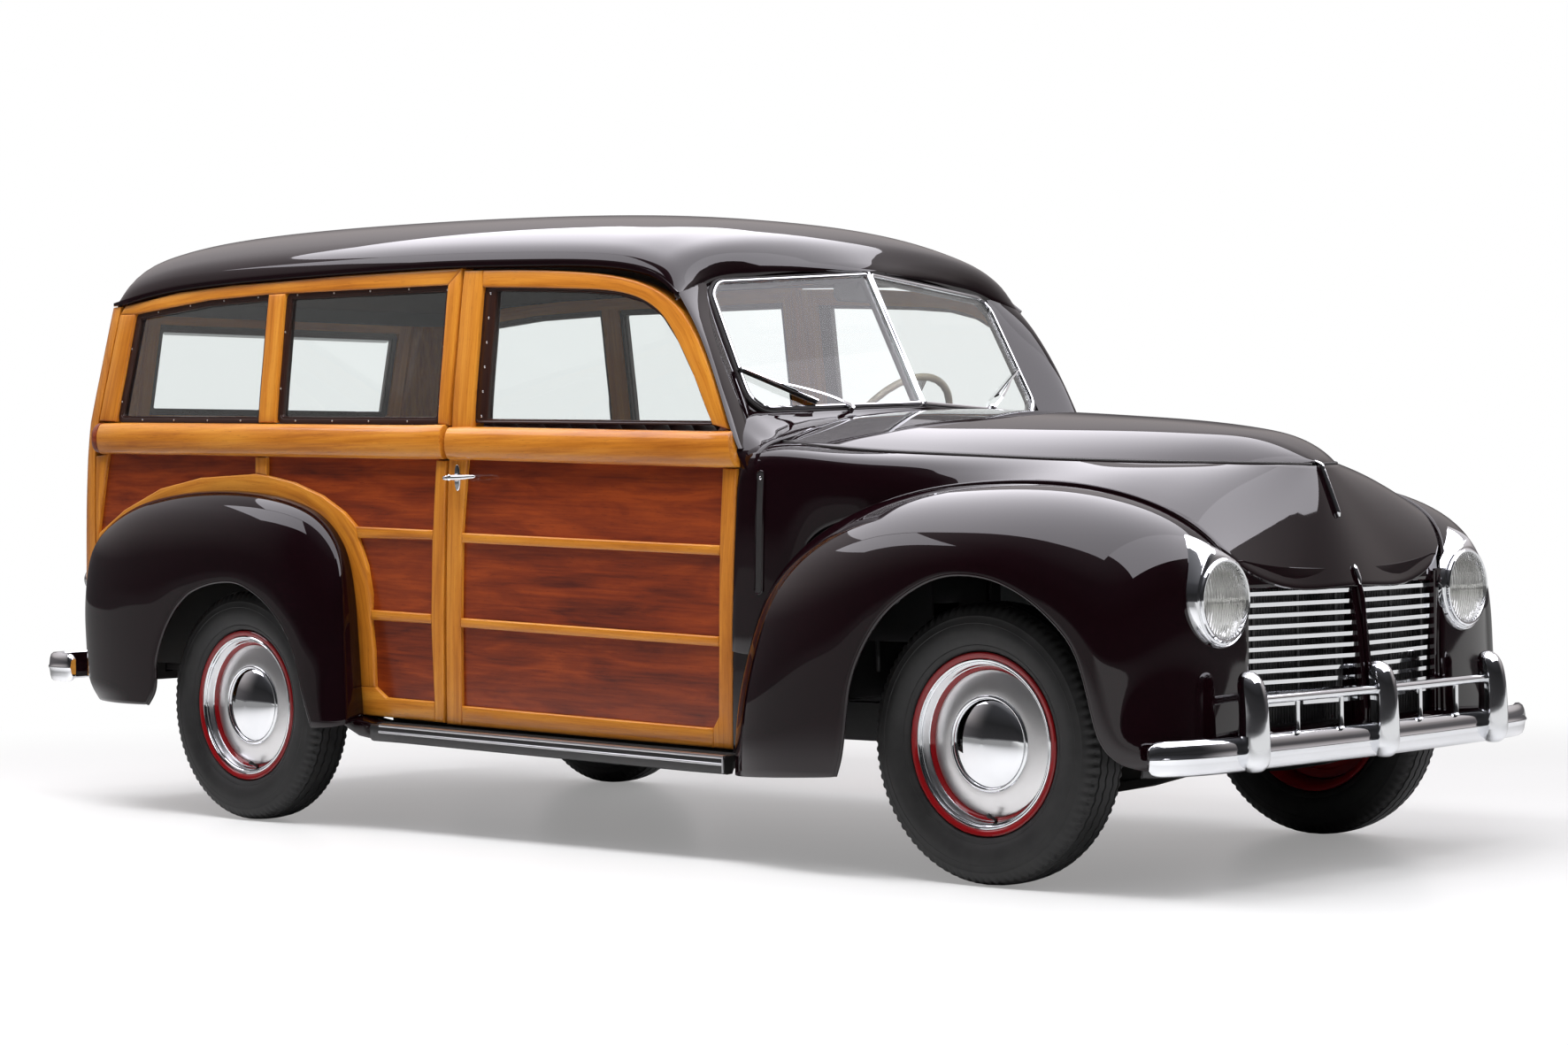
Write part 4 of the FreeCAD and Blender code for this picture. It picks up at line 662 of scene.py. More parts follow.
def wood(name, light, mid, dark, figure, streak, coat_rough=0.06, pores=0.5, contrast=1.0):
    m, nt, b = material(name)
    g = grain_of(nt)
    # slow drift of tone along the board, long soft bands, fine streaks, short dark pores
    drift = noise(nt, vector_scale(nt, g, (1.1, 5.0, 5.0)), 1.0, 3, 0.5)
    bands = noise(nt, vector_scale(nt, g, (figure[0], figure[1], figure[1])), 1.0, 5, 0.55, figure[2])
    fine = noise(nt, vector_scale(nt, g, (4.0, streak, streak)), 1.0, 6, 0.65)
    mix = calc(nt, "ADD", calc(nt, "MULTIPLY", bands, 0.55 * contrast), calc(nt, "MULTIPLY", fine, 0.35 * contrast))
    mix = calc(nt, "ADD", mix, calc(nt, "MULTIPLY", drift, 0.30))
    base = 0.5 * (0.55 * contrast + 0.35 * contrast + 0.30)
    c = ramp(nt, mix, [(base - 0.13, light), (base + 0.02, mid), (base + 0.19, dark)])
    pore = noise(nt, vector_scale(nt, g, (26.0, 520.0, 520.0)), 1.0, 2, 0.5)
    pore = calc(nt, "MULTIPLY", calc(nt, "GREATER_THAN", pore, 0.67), pores)
    c = blend_colour(nt, pore, c, tuple(x * 0.5 for x in dark))
    nt.links.new(c, b.inputs["Base Color"])
    r = nt.nodes.new("ShaderNodeMapRange")
    r.inputs["To Min"].default_value = 0.30
    r.inputs["To Max"].default_value = 0.46
    nt.links.new(fine, r.inputs["Value"])
    nt.links.new(r.outputs[0], b.inputs["Roughness"])
    put(b.inputs["Specular IOR Level"], 0.12)
    put(b.inputs["Coat Weight"], 0.6)
    put(b.inputs["Coat Roughness"], coat_rough)
    bump(nt, b, calc(nt, "SUBTRACT", fine, pore), 0.06, 0.0005)
    return m


def rubber(name, col, rough=0.62, scale=420.0, dust=(0.05, 0.048, 0.045)):
    m, nt, b = material(name)
    v = where(nt)
    n = noise(nt, v, 14.0, 6, 0.65)
    c = ramp(nt, n, [(0.35, col), (0.8, dust)])
    nt.links.new(c, b.inputs["Base Color"])
    r = nt.nodes.new("ShaderNodeMapRange")
    r.inputs["To Min"].default_value = rough - 0.1
    r.inputs["To Max"].default_value = rough + 0.12
    nt.links.new(n, r.inputs["Value"])
    nt.links.new(r.outputs[0], b.inputs["Roughness"])
    put(b.inputs["Specular IOR Level"], 0.45)
    bump(nt, b, noise(nt, v, scale, 3, 0.6), 0.1, 0.0008)
    return m


def glass(name, tint, rough=0.0):
    m, nt, b = material(name)
    put(b.inputs["Base Color"], (*tint, 1.0))
    put(b.inputs["Transmission Weight"], 1.0)
    put(b.inputs["IOR"], 1.45)
    v = where(nt)
    n = noise(nt, v, 2.0, 3, 0.5)
    r = nt.nodes.new("ShaderNodeMapRange")
    r.inputs["To Min"].default_value = rough
    r.inputs["To Max"].default_value = rough + 0.004
    nt.links.new(n, r.inputs["Value"])
    nt.links.new(r.outputs[0], b.inputs["Roughness"])
    return m


def leather(name, col, dark, scale=260.0, rough=0.42):
    m, nt, b = material(name)
    v = where(nt)
    vo = nt.nodes.new("ShaderNodeTexVoronoi")
    vo.feature = "DISTANCE_TO_EDGE"
    vo.inputs["Scale"].default_value = scale
    nt.links.new(v, vo.inputs["Vector"])
    n = noise(nt, v, 6.0, 6, 0.6)
    c = ramp(nt, n, [(0.3, dark), (0.72, col)])
    nt.links.new(c, b.inputs["Base Color"])
    r = nt.nodes.new("ShaderNodeMapRange")
    r.inputs["To Min"].default_value = rough
    r.inputs["To Max"].default_value = rough + 0.15
    nt.links.new(n, r.inputs["Value"])
    nt.links.new(r.outputs[0], b.inputs["Roughness"])
    bump(nt, b, vo.outputs["Distance"], 0.35, 0.001)
    return m


PAINT = paint("maroon_gloss_paint", (0.0070, 0.0015, 0.0028), (0.0050, 0.0011, 0.0020), coat=1.0, spec=0.0, coat_ior=1.5)
CHROME = metal("bright_chrome", (0.82, 0.83, 0.85), 0.045, 0.03)
POLISHED = metal("polished_disc", (0.80, 0.79, 0.79), 0.30, 0.12, brushed=(900.0, 900.0, 0.4))
MIRROR = metal("mirror_dome", (0.86, 0.87, 0.89), 0.03, 0.02)
SATIN = metal("satin_aluminium", (0.56, 0.56, 0.57), 0.24, 0.14, brushed=(3.0, 400.0, 400.0))
RED = paint("wheel_red", (0.27, 0.005, 0.0075), (0.215, 0.004, 0.006), rough=0.3, spec=0.1, coat=0.7)
BLACK = paint("chassis_black", (0.014, 0.013, 0.013), (0.009, 0.009, 0.009), coat=0.25, rough=0.5)
DARK = rubber("dark_trim", (0.014, 0.012, 0.012), 0.55, 300.0, (0.022, 0.02, 0.02))
TYRE = rubber("tyre_rubber", (0.0085, 0.0083, 0.0083), 0.6, 380.0, (0.025, 0.0242, 0.0236))
ASH = wood("varnished_ash", (0.655, 0.268, 0.032), (0.52, 0.180, 0.017), (0.30, 0.080, 0.007), (2.2, 34.0, 0.3), 170.0, 0.10, 0.45)
MAHOGANY = wood("varnished_mahogany", (0.285, 0.044, 0.0045), (0.185, 0.024, 0.0028), (0.070, 0.0080, 0.0015), (3.2, 20.0, 0.9), 120.0, 0.12, 0.55, 1.1)
DARKWOOD = wood("dark_inner_wood", (0.040, 0.014, 0.008), (0.026, 0.009, 0.006), (0.014, 0.005, 0.004), (2.0, 30.0, 0.3), 120.0, 0.2, 0.4)
GLASS = glass("clear_glass", (0.93, 0.955, 0.95))
HEADLINER = leather("headliner_cloth", (0.060, 0.042, 0.034), (0.042, 0.030, 0.025), 500.0, 0.8)
LEATHER = leather("seat_leather", (0.060, 0.020, 0.018), (0.032, 0.011, 0.010))
CARPET = leather("floor_mat", (0.022, 0.020, 0.019), (0.014, 0.013, 0.012), 700.0, 0.85)
IRON = rubber("cast_iron_grey", (0.055, 0.06, 0.062), 0.6, 160.0, (0.085, 0.085, 0.08))
STEEL = metal("dull_steel", (0.36, 0.34, 0.32), 0.38, 0.2)
CREAM = paint("aged_cream", (0.50, 0.42, 0.30), (0.42, 0.34, 0.23), coat=0.6, rough=0.35)
LAMP_RED = paint("lamp_red", (0.42, 0.012, 0.012), (0.34, 0.008, 0.008), rough=0.2)
SPRING = rubber("oiled_spring_leaves", (0.009, 0.0085, 0.008), 0.8, 60.0, (0.018, 0.016, 0.014))
BRISTLE = rubber("black_rubber", (0.012, 0.012, 0.012), 0.5, 200.0, (0.02, 0.02, 0.02))


# ---------------------------------------------------------------- bodywork
DRIP = [(-1031, 1472), (-1075, 1503), (-1122, 1527), (-1203, 1549), (-1330, 1567), (-1593, 1584), (-1959, 1599),
        (-2395, 1605), (-2800, 1606), (-3120, 1600), (-3330, 1584), (-3440, 1570), (-3485, 1566)]
CROWN = [(-1001, 1566), (-1062, 1632), (-1130, 1669), (-1225, 1698), (-1360, 1721), (-1620, 1747), (-1985, 1768),
         (-2410, 1783), (-2830, 1791), (-3200, 1789), (-3470, 1768), (-3610, 1706), (-3655, 1580)]


def lin(xs, ys, x):
    return float(np.interp(x, xs, ys))


def roof_grid(nphi=17):
    grid = []
    last = len(DRIP) - 1
    for k, ((xs, zs), (xc, zc)) in enumerate(zip(DRIP, CROWN)):
        yd = half_width(zs, xs) + 5.0
        if k == last:
            yd = 700.0
        if k == last - 1:
            yd = 706.0
        row = []
        for i in range(nphi):
            f = -90.0 + 180.0 * i / (nphi - 1)
            s = math.sin(math.radians(f))
            c = abs(math.cos(math.radians(f)))
            y = yd * math.copysign(abs(s) ** 0.86, s)
            e = abs(y) / yd
            if k == 0:
                z = zs + (zc - zs) * (1 - e ** 2.2)
                x = lin([0.0, 0.45, 0.8, 1.0], [xc, xc - 32.0, xc - 56.0, xs], e)
            else:
                bow = 1 - e ** (2.0 if k < last - 2 else 3.2)
                rise = c ** 0.96 if k < last else c ** 0.5
                z = zs + (zc - zs) * rise
                x = xs + (xc - xs) * bow
            row.append((x, y, z))
        grid.append(row)
    return grid


roof = shell(dense(roof_grid(), 5, 4), 24.0, (-2200.0, 0.0, 900.0), mat=0, inner_mat=1)

PILLAR = [(1060.0, -796.0, -755.0, 1068.0, -838.0, -626.0), (1092.0, -812.0, -756.0, 1100.0, -850.0, -622.0), (1170.0, -848.0, -752.0, 1178.0, -886.0, -618.0),
          (1288.0, -905.0, -742.0, 1300.0, -950.0, -611.0), (1402.0, -976.0, -731.0, 1424.0, -1014.0, -604.0),
          (1440.0, -1006.0, -727.0, 1470.0, -1037.0, -600.0), (1472.0, -1034.0, -721.0, 1508.0, -1056.0, -594.0)]


def pillar_section(zd, xd, yd, zw, xw, yw):
    out = []
    cx, cy = max(xd, xw) + 16.0, yd + 12.0
    for i in range(13):
        a = math.radians(90.0 * i / 12.0)
        u, v = 1 - math.sin(a) ** 0.9, 1 - math.cos(a) ** 0.9
        out.append((cx + (xd - cx) * u + (xw - cx) * v, cy + (yd - cy) * u + (yw - cy) * v))
    out += [(xw - 26.0, yw - 4.0), ((xd + xw) / 2 - 22.0, (yd + yw) / 2), (xd - 6.0, yd + 24.0)]
    return [(x, y, zd + (zw - zd) * (y - yd) / (yw - yd)) for x, y in out]


def skin(sections, closed_ring=True, mat=0):
    # closed outlines joined in order, capped at both ends
    m = len(sections[0])
    verts = [p for s in sections for p in s]
    faces = []
    for i in range(len(sections) - 1):
        for j in range(m):
            faces.append((i * m + j, i * m + (j + 1) % m, (i + 1) * m + (j + 1) % m, (i + 1) * m + j))
    faces.append(tuple(range(m)))
    faces.append(tuple(reversed(range((len(sections) - 1) * m, len(sections) * m))))
    return Mesh().add(verts, faces, mat)


def smooth_sections(sections, k):
    g = np.array(sections, float)
    xs = chord(g)
    t = np.interp(np.linspace(0, len(xs) - 1, (len(xs) - 1) * k + 1), np.arange(len(xs)), xs)
    return spline_fit(xs, g, t)


pillar = skin(smooth_sections([pillar_section(*p) for p in PILLAR], 5))
roof.join(pillar).join(pillar.mirrored())
# drip moulding along the roof's lower edge
drip = [(x, -(half_width(z, x) + 7.0), z - 2.0) for x, z in DRIP[:-1]] + [(-3500.0, -700.0, 1562.0)]
drip = sweep(curve(drip, 6), [(-5, -5), (5, -5), (7, -2), (5, 2), (0, 5), (-5, 5)], up=(0, 0, 1), cap=True)
roof.join(drip).join(drip.mirrored())
roof.make("roof_skin", [PAINT, HEADLINER], "body", "paint", replaces=("roof",))

SEAM = [(-745, -640, 1079), (-600, -622, 1062), (-450, -600, 1049), (-300, -572, 1040), (-150, -535, 1031), (0, -485, 1022),
        (120, -430, 1016), (230, -360, 1011), (320, -275, 1008), (390, -185, 1005), (430, -95, 1003), (447, -22, 1001)]
HOODX = [-800.0, -695.0, -457.0, -201.0, 44.0, 222.0, 327.0, 394.0, 440.0, 452.0]
HOODZ = [1163.0, 1167.0, 1158.0, 1141.0, 1121.0, 1099.0, 1077.0, 1047.0, 1015.0, 1003.0]


def hood_grid(shrink=4.0, nv=21):
    grid = []
    for x, y, z in SEAM:
        row = []
        for j in range(nv):
            f = -1.0 + 2.0 * j / (nv - 1)
            e = abs(f)
            xx = x - (42.0 * (1 - e * e) if x < -700 else 0.0)
            zc = smooth(HOODX, HOODZ, xx)
            row.append((xx, f * (abs(y) - shrink), z + (max(zc, z + 1.0) - z) * (1 - e ** 2.5)))
        grid.append(row)
    return grid


hood = shell(dense(hood_grid(), 6, 4), 10.0, (-200.0, 0.0, 700.0))
hood.make("hood_skin", [PAINT], "hood", "paint", replaces=("hood",))
# dark bead along the joint of hood and body: painted shade, standing for the shadowed gap under the hood's edge
_sl = [(x, y + 1.0, z - 1.5) for x, y, z in SEAM]
_sl = sweep(curve(_sl, 6), circle(4.2, 8), False, (0, 0, 1), 0)
_sl.both().make("hood_gap_painted_shade_bead", DARK, "body")

F_O = [(-805, -757, 232), (-797, -760, 345), (-775, -760, 461), (-740, -755, 579), (-692, -745, 687), (-612, -725, 785),
       (-492, -695, 868), (-320, -655, 932), (-100, -622, 960), (120, -600, 957), (300, -575, 925), (425, -545, 872),
       (492, -510, 812), (522, -475, 740), (533, -452, 640), (538, -442, 530), (542, -440, 420), (542, -440, 325)]
F_C = [(-805, -875, 228), (-797, -877, 345), (-777, -880, 462), (-742, -882, 585), (-697, -885, 700), (-620, -886, 800),
       (-500, -886, 885), (-330, -886, 945), (-100, -886, 965), (130, -886, 960), (340, -886, 925), (476, -886, 862),
       (528, -885, 790), (547, -885, 700), (552, -880, 600), (554, -870, 490), (556, -850, 380), (556, -780, 300)]
F_L = [(-372, -884, 254), (-352, -886, 309), (-336, -887, 407), (-318, -888, 489), (-283, -888, 562), (-224, -888, 638),
       (-145, -888, 697), (-52, -888, 738), (41, -888, 749), (132, -886, 736), (221, -884, 698), (291, -880, 647),
       (346, -874, 585), (375, -868, 510), (392, -860, 430), (418, -846, 350), (472, -800, 305), (535, -660, 295)]
R_O = [(-3508, -745, 336), (-3552, -748, 385), (-3566, -750, 480), (-3566, -752, 590), (-3555, -754, 694), (-3516, -758, 801),
       (-3410, -760, 882), (-3262, -762, 937), (-3085, -764, 966), (-2890, -765, 976), (-2747, -765, 971), (-2616, -766, 956),
       (-2487, -766, 926), (-2390, -766, 877), (-2331, -766, 816), (-2298, -765, 737), (-2284, -762, 650), (-2278, -758, 540),
       (-2275, -752, 420), (-2272, -748, 325)]
R_C = [(-3510, -860, 334), (-3555, -868, 385), (-3570, -874, 480), (-3570, -880, 590), (-3557, -884, 700), (-3520, -886, 812),
       (-3412, -886, 900), (-3264, -886, 955), (-3085, -886, 980), (-2888, -886, 986), (-2747, -886, 980), (-2612, -886, 965),
       (-2478, -886, 936), (-2372, -886, 888), (-2308, -886, 822), (-2268, -886, 737), (-2248, -886, 650), (-2234, -886, 540),
       (-2220, -884, 420), (-2205, -880, 300)]
R_L = [(-3120, -884, 336), (-3088, -885, 372), (-3079, -885, 430), (-3072, -886, 480), (-3040, -886, 548), (-3010, -886, 590),
       (-2976, -886, 627), (-2935, -886, 658), (-2893, -886, 680), (-2796, -886, 704), (-2717, -886, 709), (-2668, -886, 703),
       (-2627, -886, 689), (-2580, -886, 667), (-2539, -886, 641), (-2476, -886, 586), (-2425, -886, 513), (-2403, -886, 448),
       (-2385, -885, 385), (-2352, -883, 297)]
R_O = [(x, -(half_width(z, x) + 3.0), z) for x, y, z in R_O]


def station_grid(o, c, l, nt, expo):
    grid = []
    for a, b, d in zip(o, c, l):
        row = []
        for j in range(nt):
            t = math.radians(90.0 * j / (nt - 1))
            u, v = 1 - math.sin(t) ** (2.0 / expo), 1 - math.cos(t) ** (2.0 / expo)
            row.append(tuple(q + (p - q) * u + (r - q) * v for p, q, r in zip(a, b, d)))
        grid.append(row)
    return grid


def lipped(p, thick, inside, bead=5.5):
    # fender sheet with a rolled bead along its wheel-arch edge
    m = shell(p, thick, inside)
    n = grid_normals(p)
    if (n * (np.array(inside, float) - p)).sum() < 0:
        n = -n
    edge = p[:, -1] + n[:, -1] * bead * 0.9
    m.join(tube(list(edge), bead, 10))
    return m


FRONT = dense(station_grid(F_O, F_C, F_L, 15, 2.0), 6, 3)
REAR = dense(station_grid(R_O, R_C, R_L, 15, 2.2), 6, 3)
front = lipped(FRONT, 8.0, (20.0, -560.0, 420.0))
front.both().make("front_fender_skins", [PAINT], "body", "paint", replaces=("front_fenders",))
rear = lipped(REAR, 8.0, (-2780.0, -640.0, 430.0))
rear.both().make("rear_fender_skins", [PAINT], "body", "paint", replaces=("rear_fenders",))

N_T = [(-744, -642, 1077), (-600, -626, 1059), (-450, -604, 1046), (-300, -576, 1037), (-150, -539, 1028), (0, -489, 1019),
       (120, -435, 1013), (230, -366, 1008), (322, -282, 1005), (394, -192, 1001), (436, -102, 998), (455, -30, 995), (458, 0, 994)]
N_B = [(-744, -757, 545), (-612, -724, 795), (-492, -694, 877), (-320, -655, 938), (-150, -628, 962), (0, -610, 966),
       (125, -598, 961), (240, -582, 943), (350, -560, 910), (440, -531, 868), (507, -476, 789), (545, -250, 704), (566, 0, 706)]
N_C = [(-744, -770, 1040), (-606, -722, 1015), (-470, -680, 1005), (-310, -632, 1008), (-150, -586, 1006), (0, -545, 1002),
       (122, -505, 999), (235, -465, 994), (335, -420, 978), (405, -370, 950), (455, -290, 900), (495, -130, 875), (516, 0, 858)]


def nose_grid(nt=9):
    grid = []
    for a, c, b in zip(N_T, N_C, N_B):
        row = []
        for j in range(nt):
            t = j / (nt - 1.0)
            row.append(tuple((1 - t) ** 2 * p + 2 * t * (1 - t) * q + t * t * r for p, q, r in zip(a, c, b)))
        grid.append(row)
    return grid


# toward the cowl the section turns tight at the shoulder, as the cowl's does
TIGHT = [(0.0, 0.0), (0.33, 0.011), (0.61, 0.030), (0.81, 0.064), (0.922, 0.126), (0.957, 0.22), (0.974, 0.333), (0.991, 0.596), (1.0, 1.0)]
_g = nose_grid()
for _row, _w in zip(_g, (1.0, 0.9, 0.6, 0.3, 0.1)):
    _a, _b = _row[0], _row[-1]
    for _j, (_u, _v) in enumerate(TIGHT):
        _q = (_a[0] + (_b[0] - _a[0]) * _v, _a[1] + (_b[1] - _a[1]) * _u, _a[2] + (_b[2] - _a[2]) * _v)
        _row[_j] = tuple(p * (1 - _w) + q * _w for p, q in zip(_row[_j], _q))
_g.insert(0, [(float(np.interp(z, [545.0, 760.0, 900.0, 990.0, 1010.0, 1060.0, 1080.0], [-823.0, -812.0, -804.0, -797.0, -791.0, -797.0, -800.0])), y, z) for x, y, z in _g[0]])
NOSE = dense(_g + [[(x, -y, z) for x, y, z in row] for row in reversed(_g[:-1])], 6, 4)
nose = shell(NOSE, 9.0, (0.0, 0.0, 700.0))
nose.make("nose_skin", [PAINT], "body", "paint", replaces=("nose",))


def cowl_rows(x_rear, x_front, steps=4):
    base = [(-half_width(z, -790.0), z) for z in (262.0, 330.0, 420.0, 520.0, 620.0, 720.0, 820.0, 900.0, 960.0)]
    base += [(-(half_width(1000.0, -790.0) - 1), 1003.0), (-743.0, 1046.0), (-706.0, 1073.0), (-640.0, 1091.0), (-560.0, 1106.0), (-480.0, 1119.0),
             (-390.0, 1132.0), (-300.0, 1143.0), (-150.0, 1156.0), (0.0, 1160.0)]
    full = base + [(-y, z) for y, z in reversed(base[:-1])]
    rows = []
    for k in range(steps + 1):
        t = k / steps
        rows.append([((1 - t) * x_rear(y, z) + t * x_front(y, z), y, z) for y, z in full])
    return rows


def cowl_back(y, z):
    return lin([280.0, 990.0, 1010.0, 1104.0, 1120.0, 1170.0], [-845.0, -803.0, -795.0, -811.0, -860.0, -905.0], z)


def cowl_front(y, z):
    return -745.0 if z < 1060.0 else -749.0 - 40.0 * (1.0 - min(1.0, (abs(y) / 640.0) ** 2))


cowl = dense(cowl_rows(cowl_back, cowl_front), 2, 3)
_under = np.clip((cowl[:, :, 2] - 520.0) / 60.0, 0.0, 1.0) * np.clip((1120.0 - cowl[:, :, 2]) / 30.0, 0.0, 1.0)
cowl[:, :, 1] -= np.sign(cowl[:, :, 1]) * 5.0 * _under
cowl = shell(cowl, 12.0, (-780.0, 0.0, 700.0))
cowl.make("cowl_skin", [PAINT], "body", "paint")


# --------------------------------------------------------------- wood members
def member(outline, line, out=0.0, depth=45.0, bevel=5.0, radii=None, mat=0, step=22.0, where_=None):
    o = round_corners(outline, radii) if radii is not None else np.array(outline, float)
    return plate(o, where_ or side(out), depth, bevel, 3, line, step, 44.0, mat)


def ringed(pts, section, mapper, mat=0, step=18.0):
    # moulding that follows a closed outline; section: (distance in from the outline, drop)
    pts = densify(np.array(pts, float), step)
    if area2(pts) < 0:
        pts = pts[::-1].copy()
    rows = [inset(pts, d) for d, drop in section]
    m, n = len(section), len(pts)
    verts, grain = [], []
    dist = 0.0
    for i in range(n):
        if i:
            dist += float(np.linalg.norm(pts[i] - pts[i - 1]))
        for j in range(m):
            verts.append(mapper(rows[j][i][0], rows[j][i][1], section[j][1]))
            grain.append((dist / 1000, section[j][0] / 1000 + 3.1, section[j][1] / 1000))
    faces = []
    for i in range(n):
        for j in range(m):
            a, b = i * m + j, i * m + (j + 1) % m
            c, d = ((i + 1) % n) * m + (j + 1) % m, ((i + 1) % n) * m + j
            faces.append((a, b, c, d))
    return Mesh().add(verts, faces, mat, grain)


def belt(x0, z0a, z0b, x1, z1a, z1b, xcut0=0.0, xcut1=0.0, n=40, proud=28.0, mat=0):
    secs = []
    r1 = rng.uniform(0, 30)
    for k in range(n + 1):
        t = k / n
        x = x0 + (x1 - x0) * t
        za, zb = z0a + (z1a - z0a) * t, z0b + (z1b - z0b) * t
        zc, hz = (za + zb) / 2, (zb - za) / 2
        e = min(k, n - k)
        edge = [0.90, 0.975, 1.0][min(e, 2)]
        sec = []
        for i in range(17):
            a = -90 + 180 * i / 16.0
            s = math.sin(math.radians(a)) * edge
            c = abs(math.cos(math.radians(a))) ** 0.7 * edge
            z = zc + hz * s
            sec.append((x + (xcut0 * (1 - t) + xcut1 * t) * (zc - z), -(half_width(z, x) - 2 + proud * c), z))
        for s in (1, -1):
            z = zc + s * hz * edge
            sec.append((x + (xcut0 * (1 - t) + xcut1 * t) * (zc - z), -(half_width(z, x) - 20), z))
        secs.append(sec)
    # tighten the first and last two sections into a small round at the ends
    secs = np.array(secs)
    dx = (x1 - x0) / n
    secs[1, :, 0] = secs[0, :, 0] + math.copysign(1.5, dx)
    secs[2, :, 0] = secs[0, :, 0] + math.copysign(5.0, dx)
    secs[-2, :, 0] = secs[-1, :, 0] - math.copysign(1.5, dx)
    secs[-3, :, 0] = secs[-1, :, 0] - math.copysign(5.0, dx)
    m = secs.shape[1]
    verts = secs.reshape(-1, 3)
    grain = [(p[0] / 1000 + r1, p[2] / 1000 + 2.0, p[1] / 1000) for p in verts]
    faces = []
    for i in range(len(secs) - 1):
        for j in range(m):
            faces.append((i * m + j, i * m + (j + 1) % m, (i + 1) * m + (j + 1) % m, (i + 1) * m + j))
    faces.append(tuple(range(m)))
    faces.append(tuple(reversed(range((len(secs) - 1) * m, len(secs) * m))))
    return Mesh().add(verts, faces, mat, grain)


def arc_line(points, k=4):
    return [tuple(p) for p in curve(points, k)]


HEAD_OUT = arc_line([(-1790, 1574), (-1680, 1569), (-1414, 1548), (-1242, 1523), (-1132, 1490), (-1055, 1449), (-983, 1381), (-890, 1232), (-836, 1111)])
HEAD_IN = arc_line([(-890, 1124), (-964, 1255), (-1031, 1350), (-1095, 1420), (-1170, 1462), (-1271, 1488), (-1408, 1502), (-1584, 1514), (-1787, 1526)])
HEAD_MID = [(-1790, 1550), (-1584, 1541), (-1410, 1525), (-1256, 1505), (-1150, 1476), (-1075, 1434), (-1007, 1365), (-925, 1240), (-863, 1118)]

door = Mesh()
for pts, line in (
        ([(-1924, 313), (-1882, 1047), (-1871, 1145), (-1868, 1578), (-1790, 1574), (-1787, 1526), (-1787, 1152), (-1807, 1047), (-1833, 847), (-1834, 820), (-1847, 611), (-1849, 585), (-1859, 366), (-1862, 311.5)],
         [(-1895, 313), (-1845, 1047), (-1828, 1145), (-1828, 1578)]),
        (HEAD_OUT + HEAD_IN, HEAD_MID),
        ([(-1862, 311.5), (-1859, 366), (-913, 340), (-915, 289.6)], [(-1862, 338), (-913, 315)]),
        ([(-849, 288), (-806, 1009), (-853, 1011), (-867, 813), (-868, 787), (-879, 578), (-880, 552), (-891, 371), (-913, 340), (-915, 289.6)], [(-880, 288), (-862, 700), (-830, 1010)]),
        ([(-1834, 820), (-868, 787), (-867, 813), (-1833, 847)], [(-1834, 833), (-868, 800)]),
        ([(-1849, 585), (-880, 552), (-879, 578), (-1847, 611)], [(-1848, 598), (-880, 565)])):
    door.join(member(pts, line))
door.join(belt(-1874.0, 1051.0, 1143.0, -806.0, 1010.0, 1104.0, 0.0, 0.21))
DP1 = [(-1807, 1047), (-853, 1011), (-867, 813), (-1833, 847)]
DP2 = [(-1834, 820), (-868, 787), (-879, 578), (-1847, 611)]
DP3 = [(-1849, 585), (-880, 552), (-891, 371), (-913, 340), (-1859, 366)]


def grow(pts, d):
    p = np.array(pts, float)
    return inset(p, -d) if area2(p) > 0 else inset(p[::-1].copy(), -d)


door_panels = Mesh()
for pts, line in ((DP1, [(-1807, 947), (-860, 911)]), (DP2, [(-1840, 715), (-873, 682)]), (DP3, [(-1853, 476), (-890, 455)])):
    door_panels.join(plate(grow(pts, 5.0), side(-12.0), 16.0, 0.6, 1, line, 30.0, 44.0))
DOOR_WIN = round_corners([(-1787, 1152), (-1787, 1526), (-1584, 1514), (-1408, 1502), (-1271, 1488), (-1170, 1462), (-1095, 1420),
                          (-1031, 1350), (-964, 1255), (-890, 1124)], [10, 26, 0, 60, 80, 90, 90, 120, 0, 10])
Q_WIN2 = round_corners([(-2647, 1553), (-1930, 1540), (-1929, 1152), (-2644, 1172)], 24)
Q_WIN1 = round_corners([(-3384, 1527), (-3025, 1552), (-2724, 1555), (-2723, 1174), (-3440, 1195)], [24, 0, 24, 24, 24])

# darker inner window frame, then a rubber channel that holds the pane
INNER = [(-2.0, 10.0), (-2.0, 40.0), (13.0, 40.0), (13.0, 14.0), (11.5, 11.0), (8.0, 10.0)]
CHANNEL = [(13.0, 13.0), (13.0, 32.0), (17.0, 32.0), (18.0, 28.0), (18.0, 16.0), (16.5, 13.0)]
SLIM = [(-2.0, 12.0), (-2.0, 40.0), (5.0, 40.0), (5.0, 15.0), (4.0, 13.0), (2.0, 12.0)]
SLIM_CH = [(5.0, 14.0), (5.0, 32.0), (9.0, 32.0), (10.0, 28.0), (10.0, 18.0), (8.0, 14.0)]


